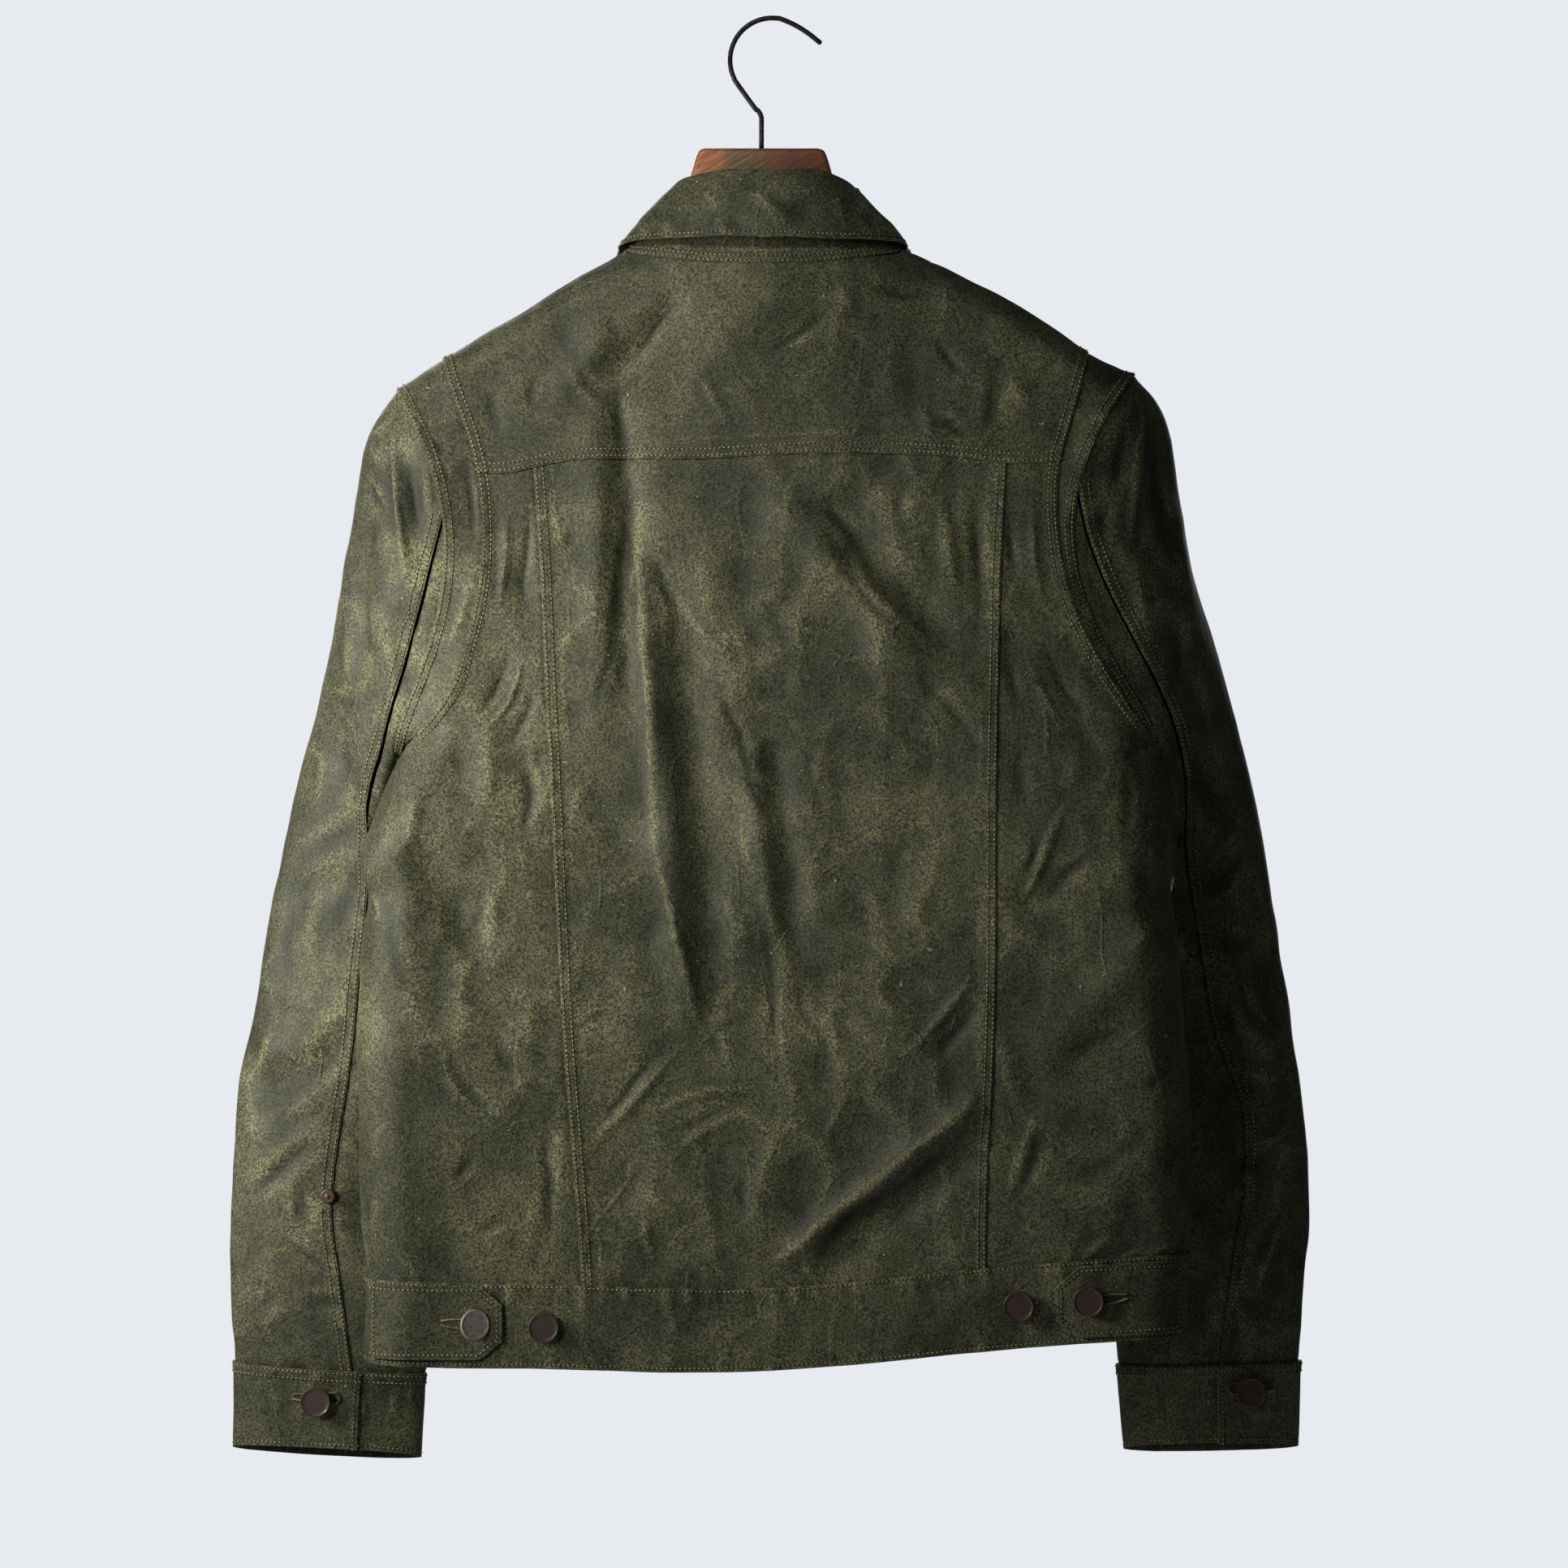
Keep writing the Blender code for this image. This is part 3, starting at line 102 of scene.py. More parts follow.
# about how long the cloth of each piece is, which gives the number of its threads
YOKE_RUNS = (0.336, 0.150, 0.118)  # between its corners, beside an armhole, out from the neck
YOKE_CORNER_DEGREES = 62  # where the lines to the yoke's corners start at the neck
TAB_RUN = 0.044
WAIST_RUNS = (1.02, 0.050)  # round, down
COLLAR_RUNS = (0.46, 0.052, 0.056)  # round, up the stand, down the fall
SLEEVE_RUNS = {"down": 0.66, "top": 0.30, "under": 0.20}
BAND_RUNS = (0.50, 0.026)
CUFF_RUNS = (0.27, 0.052)

TAB_LIFT = CLOTH + 1.6 * LAYER  # a tab's outer face over the waistband

BUTTON_RADIUS = 0.0091
BUTTON_HEIGHT = 0.0050
BUTTON_SIDES = 56
DOT_SUNK = 0.00062  # how far the dots' foot lies below the button's rim
DOT_RINGS = ((0.72, 34, 0.00030), (0.30, 10, 0.00032))  # share of the radius, count, dot radius
CUFF_STUD_STAND = 0.0042  # how far a cuff's button stands off the cuff
FRONT_BUTTON_DROP = 0.016  # from the neck seam to the first front button
LAST_FRONT_BUTTON_Z = -0.7745
HOLE_HALF_WIDTH = 0.0021  # of a keyhole buttonhole
HOLE_PITCH = 0.00064  # between its stitches
HOLE_STITCH = 0.0028  # length of its stitches, which lie across its edge
HOLE_THREAD = 1.25  # its thread's radius to that of the seams
RIVET_RADIUS = 0.0047
RIVET_SECTION = {-1: 6.205, 1: 6.345}  # sleeve section at which a rivet sits: left, right
RIVET_FROM_SEAM = 0.008  # of a turn
RIVET_SIDES = 40
WIRE_RADIUS = 0.0015
WIRE_SIDES = 18
WOOD_HALF_THICKNESS = 0.0085
WOOD_BEVEL = 0.0030  # rounding of the hanger's edges

BACK, FRONT = -1, 1
LEFT, RIGHT = -1, 1

# ---- outline tables, one row for each height or place ------------------------------------------
# x, z of the shoulder line; across the neck it is only a guide for the rounding
SHOULDER_LINE = (
    (-0.2300, -0.2240), (-0.1963, -0.2010), (-0.1690, -0.1848), (-0.1500, -0.1733),
    (-0.1210, -0.1550), (-0.1018, -0.1450), (-0.0850, -0.1360), (-0.0500, -0.1240),
    (-0.0050, -0.1200), (0.0400, -0.1250), (0.0750, -0.1355), (0.1000, -0.1455),
    (0.1190, -0.1550), (0.1480, -0.1704), (0.1670, -0.1824), (0.1877, -0.1974),
    (0.2250, -0.2200),
)
# z, left edge x, right edge x; above the underarm the edge is only a guide for the rounding
SIDE_EDGES = (
    (-0.8000, -0.2412, 0.2455), (-0.7450, -0.2400, 0.2450), (-0.6860, -0.2434, 0.2477),
    (-0.6380, -0.2443, 0.2458), (-0.5900, -0.2438, 0.2424), (-0.5420, -0.2414, 0.2381),
    (-0.5190, -0.2378, 0.2350), (-0.5010, -0.2430, 0.2347), (-0.4750, -0.2362, 0.2352),
    (-0.4510, -0.2270, 0.2330), (-0.4340, -0.2190, 0.2290), (-0.3900, -0.2170, 0.2230),
    (-0.3000, -0.2160, 0.2130), (-0.2000, -0.2190, 0.2110), (-0.1000, -0.2190, 0.2110),
)
# z, half the depth between the sheets, y of the plane midway between them
DEPTHS = (
    (-0.8000, 0.0260, -0.0120), (-0.7450, 0.0270, -0.0120), (-0.6500, 0.0310, -0.0120),
    (-0.5500, 0.0350, -0.0120), (-0.4340, 0.0370, -0.0100), (-0.3500, 0.0360, -0.0080),
    (-0.2650, 0.0300, -0.0055), (-0.2150, 0.0250, -0.0040), (-0.1500, 0.0240, -0.0025),
    (-0.1000, 0.0240, -0.0020),
)
# share of the way down the armhole, left edge x, right edge x of the body's sheets
ARMHOLE = (
    (0.000, -0.1963, 0.1877), (0.100, -0.1888, 0.1818), (0.185, -0.1815, 0.1760),
    (0.290, -0.1747, 0.1692), (0.410, -0.1714, 0.1676), (0.535, -0.1714, 0.1708),
    (0.640, -0.1747, 0.1772), (0.745, -0.1810, 0.1885), (0.850, -0.1890, 0.2030),
    (0.930, -0.2020, 0.2155), (1.000, -0.2190, 0.2290),
)
# x, z of the seams and edges that run across the back
YOKE_SEAM = (
    (-0.2000, -0.2730), (-0.1771, -0.2719), (-0.1531, -0.2714), (-0.1358, -0.2676),
    (-0.1171, -0.2642), (-0.0950, -0.2633), (-0.0400, -0.2633), (-0.0058, -0.2612),
    (0.0283, -0.2599), (0.0629, -0.2599), (0.0970, -0.2613), (0.1142, -0.2625),
    (0.1382, -0.2659), (0.1690, -0.2650), (0.2000, -0.2650),
)
WAIST_SEAM = (
    (-0.2700, -0.7440), (-0.2395, -0.7440), (-0.1723, -0.7466), (-0.1282, -0.7476),
    (-0.0586, -0.7500), (-0.0058, -0.7502), (0.0518, -0.7459), (0.1094, -0.7392),
    (0.1656, -0.7342), (0.2438, -0.7291), (0.2700, -0.7291),
)
HEM = (
    (-0.2700, -0.7935), (-0.2410, -0.7940), (-0.2002, -0.7958), (-0.1282, -0.7973),
    (-0.0586, -0.7997), (-0.0058, -0.7990), (0.0518, -0.7949), (0.1094, -0.7886),
    (0.1766, -0.7824), (0.2453, -0.7776), (0.2700, -0.7770),
)
# z, x of the two long seams of the back: left, right
BACK_SEAMS = (
    (-0.7600, -0.1116, 0.1253), (-0.7460, -0.1123, 0.1253), (-0.6864, -0.1162, 0.1262),
    (-0.6144, -0.1219, 0.1296), (-0.5424, -0.1258, 0.1310), (-0.4700, -0.1291, 0.1312),
    (-0.3984, -0.1330, 0.1325), (-0.3264, -0.1363, 0.1344), (-0.2640, -0.1411, 0.1378),
)
# degrees round the neck from the centre back, z of the neck seam
NECK = (
    (0, -0.1483), (25, -0.1468), (50, -0.1432), (70, -0.1405), (90, -0.1392),
    (105, -0.1470), (125, -0.1660), (145, -0.1880), (163, -0.2060), (180, -0.2110),
)
NECK_HALF_WIDTH = 0.0820
FRONT_NECK_DEGREES = 176  # the two fronts' collar ends leave the rest open
YOKE_FRONT_DEGREES = 118  # where the yoke's front seam meets the neck
FRONT_SEAM_END = {-1: (-0.1795, -0.2430), 1: (0.1745, -0.2390)}  # and where it ends, left, right
YOKE_SEAM_GAP = 0.0006

# Sleeve sections from the band to the cuff. Each is an ellipse between an outer and an inner point.
# outer x, outer z, inner x, inner z, middle y, tuck of the inner end away from the viewer, depth,
# bulge towards the body
LEFT_SLEEVE = (
    (-0.2236, -0.2203, -0.2262, -0.4425, -0.0040, -0.0030, 0.0700, 0.0345),
    (-0.2431, -0.2535, -0.2335, -0.4690, 0.0010, 0.0000, 0.0700, 0.0125),
    (-0.2545, -0.3176, -0.2360, -0.5120, 0.0140, 0.0060, 0.0660, 0.0000),
    (-0.2705, -0.3924, -0.2240, -0.5662, 0.0270, 0.0060, 0.0620, 0.0000),
    (-0.2904, -0.4707, -0.2090, -0.6215, 0.0340, 0.0010, 0.0620, 0.0000),
    (-0.3089, -0.5590, -0.2013, -0.6766, 0.0350, 0.0000, 0.0600, 0.0000),
    (-0.3224, -0.6471, -0.2027, -0.7295, 0.0330, 0.0000, 0.0520, 0.0000),
    (-0.3275, -0.7252, -0.2051, -0.7731, 0.0310, 0.0000, 0.0440, 0.0000),
    (-0.3239, -0.8004, -0.2088, -0.8080, 0.0290, 0.0000, 0.0340, 0.0000),
)
RIGHT_SLEEVE = (
    (0.2158, -0.2102, 0.2340, -0.4425, -0.0040, -0.0030, 0.0700, 0.0500),
    (0.2359, -0.2423, 0.2410, -0.4690, 0.0010, 0.0000, 0.0700, 0.0190),
    (0.2492, -0.3156, 0.2420, -0.5120, 0.0140, 0.0060, 0.0660, 0.0000),
    (0.2703, -0.3875, 0.2270, -0.5662, 0.0270, 0.0060, 0.0620, 0.0000),
    (0.2880, -0.4511, 0.2140, -0.6215, 0.0340, 0.0010, 0.0620, 0.0000),
    (0.3062, -0.5500, 0.2051, -0.6766, 0.0350, 0.0000, 0.0600, 0.0000),
    (0.3182, -0.6336, 0.2050, -0.7295, 0.0330, 0.0000, 0.0520, 0.0000),
    (0.3229, -0.7150, 0.2058, -0.7731, 0.0310, 0.0000, 0.0440, 0.0000),
    (0.3167, -0.8004, 0.2087, -0.8024, 0.0290, 0.0000, 0.0340, 0.0000),
)
# cuff: top section, bottom section, in the same columns
LEFT_CUFF = (
    (-0.3237, -0.8012, -0.2092, -0.8089, 0.0290, 0.0000, 0.0350, 0.0000),
    (-0.3242, -0.8534, -0.2126, -0.8595, 0.0290, 0.0000, 0.0300, 0.0000),
)
RIGHT_CUFF = (
    (0.3165, -0.8012, 0.2075, -0.8033, 0.0290, 0.0000, 0.0350, 0.0000),
    (0.3153, -0.8529, 0.2108, -0.8544, 0.0290, 0.0000, 0.0300, 0.0000),
)
CUFF_FAR_DROP = 0.0090  # the far side of a cuff's mouth hangs lower than the near side
CUFF_EDGE_TURN = {-1: 0.301, 1: 0.240}  # where the cuff's visible end lies
CUFF_LAP_TURN = 0.085  # how far the other end runs on under it
CUFF_BUTTON = {-1: (0.233, 0.36), 1: (0.178, 0.305)}  # turn, share of the way down
# sleeve section, share of a turn at which the back seam lies: left, right
SLEEVE_SEAM = (
    (0.0, 0.205, 0.190), (0.2, 0.232, 0.224), (0.4, 0.275, 0.255), (0.6, 0.325, 0.280),
    (0.8, 0.355, 0.298), (1.0, 0.365, 0.306), (1.5, 0.360, 0.310), (2.0, 0.342, 0.308),
    (3.0, 0.300, 0.275), (4.0, 0.270, 0.246), (5.0, 0.261, 0.224), (5.8, 0.254, 0.192),
    (6.3, 0.253, 0.197), (7.0, 0.272, 0.222), (8.0, 0.292, 0.238),
)
UNDERARM_TURN = 0.600
SLEEVE_SEAM_GAP = 0.0008
PIT_SEAM_EASE = 0.0004  # added to that gap under the arm
NARROW_EASE = 0.045  # of a turn; draws a sleeve's lengthwise lines together at its narrow ends
ARMHOLE_FULLNESS = 0.5  # see ring_point
SLEEVE_START = 0.09  # section at which the sleeve starts, clear of the band
BAND_SKEW = 0.025  # of a turn; keeps the band's threads square to its two seams

# folds of the back: start x, z, end x, z, half width, height (a trough is negative)
BACK_FOLDS = (
    (-0.0900, -0.2200, -0.0830, -0.4050, 0.0110, -0.0060),
    (-0.0990, -0.2350, -0.1020, -0.4300, 0.0130, 0.0040),
    (-0.0780, -0.3200, -0.0480, -0.6050, 0.0085, 0.0060),
    (-0.0560, -0.3300, -0.0300, -0.5900, 0.0110, -0.0040),
    (0.0050, -0.2860, 0.0950, -0.4000, 0.0120, 0.0050),
    (0.0300, -0.2850, 0.1180, -0.3850, 0.0110, -0.0040),
    (-0.0160, -0.4300, 0.0020, -0.5450, 0.0090, 0.0045),
    (0.0000, -0.4300, 0.0160, -0.5600, 0.0090, -0.0035),
    (0.0050, -0.7380, 0.1230, -0.6400, 0.0090, 0.0065),
    (0.0250, -0.7420, 0.1240, -0.6650, 0.0100, -0.0035),
    (-0.0950, -0.1850, -0.1280, -0.2250, 0.0090, 0.0040),
    (-0.0550, -0.1650, -0.0950, -0.2150, 0.0080, -0.0035),
    (-0.2120, -0.4900, -0.1620, -0.5600, 0.0120, -0.0045),
    (0.1500, -0.6250, 0.2250, -0.5400, 0.0130, 0.0040),
)
# folds of the front, plainer
FRONT_FOLDS = (
    (-0.1500, -0.3000, -0.1100, -0.6000, 0.0150, 0.0045),
    (0.1350, -0.2900, 0.1000, -0.5600, 0.0150, 0.0045),
    (-0.1900, -0.4600, -0.0600, -0.5600, 0.0140, -0.0040),
    (0.1900, -0.4700, 0.0600, -0.6100, 0.0140, -0.0040),
)
# folds of a sleeve: start section and turn, end section and turn, half width in metres, height
SLEEVE_FOLDS = (
    (0.90, 0.080, 1.90, 0.240, 0.0120, -0.0050),
    (3.60, 0.220, 4.60, 0.080, 0.0120, -0.0040),
    (5.60, 0.090, 5.00, 0.210, 0.0110, 0.0045),
    (3.20, 0.850, 4.60, 0.660, 0.0140, -0.0050),
    (5.20, 0.900, 5.80, 0.680, 0.0120, 0.0045),
)

# places on the back: x, z
WAIST_BUTTONS = {"left_outer": (-0.1771, -0.7702), "left_inner": (-0.1345, -0.7722),
                 "right_outer": (0.1851, -0.7562), "right_inner": (0.1443, -0.7598)}
# tab outline on the waistband: x of its end and its side, top z and bottom z there, chamfer
TABS = {
    "left": {"end": -0.1585, "side": -0.2340, "end_top": -0.7480, "end_bottom": -0.7915,
             "side_top": -0.7462, "side_bottom": -0.7905, "chamfer": 0.0130},
    "right": {"end": 0.1665, "side": 0.2390, "end_top": -0.7370, "end_bottom": -0.7795,
              "side_top": -0.7320, "side_bottom": -0.7745, "chamfer": 0.0130},
}
FRONT_BUTTON_COUNT = 6
PLACKET_HALF_WIDTH = 0.0180

# places of the keyhole buttonholes: x, z of the eye beside the button, x, z of the tail
TAB_HOLES = ((-0.1762, -0.7702, -0.1940, -0.7690), (0.1860, -0.7566, 0.2072, -0.7534))
CUFF_HOLES = {-1: (-0.2575, -0.8215, -0.2875, -0.8207), 1: (0.2710, -0.8157, 0.2999, -0.8157)}
UNDERARM_TUCK = {-1: 0.005, 1: 0.012}  # how far the sleeve hangs in behind the body
SILVERED_TILT = (0.42, 0.0, 0.05)  # the silvered button leans over
WOOD_JOINTS = (-0.0290, -0.0048)  # x at which the hanger's wood changes

BAND_CREASES = (  # the same columns as BACK_CREASES
    (1.6, 3.0, 0.2, -188, -262, -190, -274), (-2.0, 3.0, 0.2, -204, -240, -206, -250),
    (-1.6, 3.0, 0.2, -195, -250, -197, -262), (2.2, 4.0, 0.3, -193, -376, -184, -360, -176, -330),
    (-2.2, 4.0, 0.1, -182, -252, -176, -290, -176, -316), (1.4, 3.0, 0.2, -197, -330, -192, -345),
    (-1.6, 3.0, 0.2, -202, -392, -208, -405), (1.5, 3.0, 0.2, 190, -250, 186, -268),
    (-1.8, 3.0, 0.2, 178, -290, 176, -310), (1.6, 3.0, 0.2, 181, -345, 188, -362),
    (-1.6, 3.0, 0.2, 196, -380, 203, -395),
)
CUFF_CREASES = (
    (-1.6, 3.0, 0.3, -283, -812, -277, -803, -270, -798), (1.2, 3.5, 0.2, -300, -815, -296, -840),
    (-1.2, 3.0, 0.2, -240, -820, -246, -845), (1.2, 4.0, 0.2, -225, -812, -230, -835),
    (-1.4, 3.0, 0.2, 262, -805, 268, -825), (1.2, 4.0, 0.2, 300, -810, 296, -840),
    (-1.2, 3.0, 0.2, 232, -815, 236, -840),
)
BACK_CREASES = (  # height, half width, keenness, then x, z along it, all in millimetres
    (-3.4, 6.5, 0, -85, -266, -85, -291, -87, -322, -90, -346, -93, -364, -96, -382),
    (-1.8, 2.6, 0.6, -93, -364, -96, -382, -101, -400, -105, -417),
    (3, 4, 0.3, -81, -303, -78, -329, -76, -358, -74, -382, -72, -406, -71, -431, -70, -450, -70,
     -471,
     -67, -496, -62, -517, -58, -538, -52, -559, -48, -579, -44, -594, -40, -606),
    (-1.8, 3, 0.4, -37, -599, -32, -610, -31, -617),
    (-1.9, 3.2, 0.4, -77, -307, -70, -322, -61, -344, -53, -363),
    (2, 3.6, 0.3, -54, -344, -49, -354, -40, -366, -30, -378),
    (-1.6, 3, 0.3, -27, -368, -22, -377, -17, -389),
    (-2.6, 2.6, 0.7, -41, -384, -32, -397, -25, -415, -20, -423, -15, -441, -11, -458, -4, -471,
     -7, -482),
    (1.6, 3, 0.4, -17, -479, -15, -497, -9, -508),
    (-2, 3.6, 0.3, -4, -499, -10, -520, -5, -535, -1, -554, 0, -575, 1, -612, 6, -634),
    (-2.4, 5, 0, 29, -290, 43, -304, 54, -314),
    (2.8, 3.6, 0.4, 32, -304, 46, -319, 55, -338, 65, -349, 80, -362, 88, -369, 98, -379),
    (-1.8, 4, 0.2, 37, -321, 49, -335, 61, -352, 71, -365),
    (-1.9, 4, 0.2, 83, -382, 91, -397, 104, -410, 115, -425, 121, -440),
    (-2.2, 6, 0, 118, -270, 119, -309, 122, -338, 122, -373),
    (1.7, 7, 0, 97, -275, 102, -311, 109, -350),
    (-1.5, 5, 0, 80, -274, 74, -293, 81, -314),
    (2.4, 4.2, 0.3, 120, -561, 106, -581, 92, -598, 79, -610, 68, -618),
    (-2, 5.5, 0, 124, -576, 113, -593, 98, -609, 83, -622),
    (-1.8, 3, 0.4, 14, -563, 18, -588, 28, -601, 34, -619),
    (3.8, 4.8, 0.4, -6, -737, 15, -725, 36, -705, 61, -686, 85, -667, 106, -650, 118, -636, 122,
     -627),
    (1.6, 4, 0.2, 122, -635, 121, -608, 121, -578),
    (-3.2, 9, 0, 16, -741, 44, -714, 71, -694, 94, -676, 117, -657),
    (-1.5, 4, 0.2, -120, -600, -106, -592, -88, -582),
    (-2, 4, 0.3, -59, -603, -79, -626, -90, -641, -107, -657),
    (2.1, 3.6, 0.4, -54, -606, -72, -628, -85, -643, -111, -669),
    (2.1, 3.2, 0.4, -6, -629, -21, -633, -39, -634, -59, -640, -70, -650),
    (-1.5, 3.4, 0.3, -10, -637, -30, -645, -49, -654, -72, -664),
    (1.5, 3, 0.4, -27, -650, -43, -659, -59, -670),
    (-1.8, 4, 0.2, -19, -680, -18, -694, -16, -711),
    (1.5, 4, 0.2, -77, -701, -74, -721, -68, -740),
    (-1.5, 7, 0, 28, -408, 23, -446, 32, -485),
    (2, 3.6, 0.4, -235, -514, -231, -524, -231, -531, -234, -538),
    (-2.6, 6.5, 0.1, -228, -513, -225, -532, -222, -550, -216, -568, -221, -590),
    (-2.2, 3.4, 0.4, -197, -606, -186, -623, -172, -639, -161, -652, -152, -662),
    (1.6, 3.6, 0.3, -201, -595, -193, -609, -187, -630, -172, -648),
    (-1.6, 6, 0.1, -163, -598, -157, -616, -138, -626),
    (-2.6, 4.2, 0.1, -130, -644, -133, -670, -131, -687, -132, -730),
    (-1.9, 5, 0.1, -173, -670, -180, -678, -188, -688),
    (-1.5, 4.5, 0.1, -149, -706, -162, -711, -176, -717),
    (-1.8, 6, 0, -187, -425, -183, -442, -175, -458),
    (1.5, 6, 0, -170, -427, -165, -446, -169, -470),
    (-2, 6, 0, -144, -437, -142, -466, -149, -489),
    (1.5, 5, 0.1, -213, -451, -210, -470, -215, -492),
    (-1.5, 6, 0, -168, -513, -172, -537, -165, -561),
    (-1.6, 4, 0.2, -125, -318, -120, -311, -113, -304),
    (-2.2, 5, 0.1, -142, -287, -144, -318, -146, -338, -142, -356),
    (1.8, 5, 0.1, -156, -289, -157, -323, -161, -356),
    (-2, 5, 0.1, -152, -370, -162, -399, -177, -418),
    (1.7, 4, 0.2, -145, -375, -154, -405, -170, -424),
    (-1.6, 5, 0.1, -139, -389, -144, -413, -158, -435),
    (3, 3.6, 0.4, 173, -460, 164, -480, 160, -491, 154, -507, 147, -518, 141, -525),
    (1.8, 3, 0.4, 153, -488, 148, -496, 143, -504),
    (-2, 3.4, 0.3, 158, -481, 153, -494, 146, -509),
    (-2.8, 7.5, 0.1, 195, -489, 181, -499, 166, -513, 153, -527),
    (2.2, 11, 0, 178, -425, 176, -442, 172, -461),
    (1.6, 8, 0.1, 224, -531, 215, -543, 210, -556),
    (2.2, 4.4, 0.2, 155, -643, 148, -666, 142, -682, 137, -696),
    (-2.2, 4.4, 0.2, 160, -650, 152, -678, 146, -690, 138, -702),
    (-2.8, 11, 0, 229, -646, 209, -666, 190, -680, 161, -690),
    (2, 5, 0.2, 200, -714, 187, -728, 174, -735),
    (-2.2, 4, 0.3, 225, -720, 214, -724, 203, -728, 195, -737, 186, -748),
    (-1.8, 3.4, 0.3, 245, -731, 237, -736, 228, -742),
    (1.6, 4, 0.2, 240, -718, 225, -728, 214, -735),
    (-2, 6, 0, 148, -425, 144, -446, 149, -470),
    (-1.8, 6, 0, 204, -437, 208, -466, 203, -489),
    (-1.5, 6, 0.1, 233, -618, 223, -628, 214, -632),
    (-1.5, 7, 0, 161, -613, 185, -606, 209, -594),
    (-2, 5, 0.1, 137, -284, 140, -318, 148, -346),
    (1.6, 5, 0.1, 153, -284, 154, -323, 161, -356),
    (-1.8, 5, 0.1, 159, -370, 171, -399, 187, -418),
    (1.5, 5, 0.1, 148, -375, 159, -404, 174, -425),
    (-1.6, 5, 0.1, 136, -370, 142, -399, 148, -415),
    (-2.8, 2.8, 0.6, -50, -167, -66, -181, -79, -199, -90, -210, -95, -215),
    (-3.2, 5, 0.2, -90, -215, -91, -234, -88, -258, -90, -277),
    (2.6, 4.4, 0.4, -124, -204, -117, -214, -111, -224, -103, -232, -97, -239),
    (1.8, 5, 0.1, -114, -203, -107, -214, -100, -227),
    (1.6, 3.6, 0.3, -45, -210, -40, -218, -35, -227, -30, -237, -26, -248),
    (-1.8, 3.2, 0.4, 40, -170, 23, -184, 11, -192, -4, -201),
    (-1.8, 6, 0, -169, -218, -165, -234, -161, -251),
    (-1.6, 4, 0.2, -139, -211, -143, -227, -135, -241),
    (-2.4, 8, 0, 134, -194, 131, -221, 127, -251),
    (1.8, 8, 0, 137, -211, 144, -222, 151, -237),
    (-1.6, 5, 0.1, 93, -188, 103, -202, 117, -217),
    (-1.7, 6, 0.1, 47, -158, 66, -164, 83, -167, 103, -164),
    (1.5, 7, 0.1, 37, -158, 43, -169, 48, -180),
    (-1.8, 6, 0.1, 94, -236, 105, -243, 118, -251),
    (1.6, 6, 0.1, 85, -227, 90, -241, 94, -258),
)
LEFT_SLEEVE_CREASES = (  # the same columns
    (4.2, 3.6, 0.5, -224, -233, -224, -251, -223, -270, -221, -294, -215, -327, -211, -352),
    (-4.5, 8, 0, -217, -244, -214, -268, -210, -294, -204, -323),
    (1.8, 4, 0.2, -204, -266, -203, -280, -202, -295),
    (-3, 5, 0.2, -230, -261, -227, -277, -225, -295, -221, -318),
    (2.6, 3.2, 0.4, -239, -268, -233, -280, -225, -292),
    (-2.2, 4, 0.2, -240, -274, -235, -284, -229, -294),
    (1.6, 3.5, 0.3, -225, -236, -230, -242, -234, -253),
    (-1.6, 4, 0.1, -234, -246, -235, -258),
    (-5, 7, 0.1, -221, -370, -215, -389, -214, -408),
    (2, 5, 0.1, -230, -356, -225, -375, -223, -399, -225, -423),
    (-2.2, 7, 0, -244, -327, -240, -356, -239, -389),
    (1.8, 6, 0, -254, -346, -252, -375, -254, -408),
    (-2.5, 8, 0, -234, -413, -230, -437, -234, -463),
    (1.6, 2.6, 0.5, -292, -495, -285, -490, -261, -476, -248, -469, -233, -462),
    (-2, 6, 0.1, -287, -505, -263, -489, -239, -476),
    (1.5, 2.6, 0.4, -267, -397, -254, -399, -238, -395),
    (-1.4, 4, 0.2, -265, -403, -249, -405, -234, -402),
    (2, 6, 0, -273, -423, -269, -446, -273, -470),
    (-1.8, 6, 0, -258, -423, -255, -446, -261, -466),
    (-2.2, 8, 0.1, -244, -499, -254, -523, -258, -547),
    (2, 7, 0.1, -270, -508, -276, -537, -274, -566),
    (-1.8, 6, 0.1, -289, -523, -293, -551, -289, -575),
    (2.2, 6, 0.2, -251, -566, -261, -589, -277, -609, -292, -618),
    (-2.4, 6, 0.2, -248, -585, -257, -609, -270, -625, -287, -635),
    (1.8, 5, 0.2, -263, -628, -277, -643, -296, -656),
    (2.2, 4.4, 0.3, -276, -660, -289, -670, -302, -683, -311, -690),
    (-3.6, 5, 0.5, -272, -663, -284, -674, -295, -685, -305, -694, -315, -703),
    (1.6, 4.4, 0.2, -267, -673, -280, -684, -292, -694),
    (-2.5, 5, 0.2, -276, -690, -281, -697, -282, -709, -276, -722),
    (1.6, 4, 0.2, -288, -699, -289, -709, -287, -718),
    (2.8, 3.4, 0.4, -276, -706, -270, -705, -264, -706, -258, -707),
    (-1.5, 2.2, 0.4, -274, -701, -267, -701, -261, -702),
    (-1.9, 2.6, 0.4, -273, -712, -265, -712, -258, -713),
    (-2.2, 3.2, 0.5, -295, -726, -285, -732, -276, -738, -261, -749),
    (1.4, 3.2, 0.3, -307, -739, -295, -733, -281, -732),
    (-2.2, 4.4, 0.2, -282, -762, -267, -765, -253, -765),
    (1.6, 4, 0.2, -280, -756, -265, -758, -254, -757),
    (-1.5, 4.4, 0.2, -315, -774, -305, -766, -293, -757),
    (1.3, 4, 0.2, -311, -780, -296, -772, -287, -765),
    (1.4, 3, 0.2, -302, -775, -303, -791),
    (-1.4, 3.4, 0.2, -292, -780, -290, -792),
)
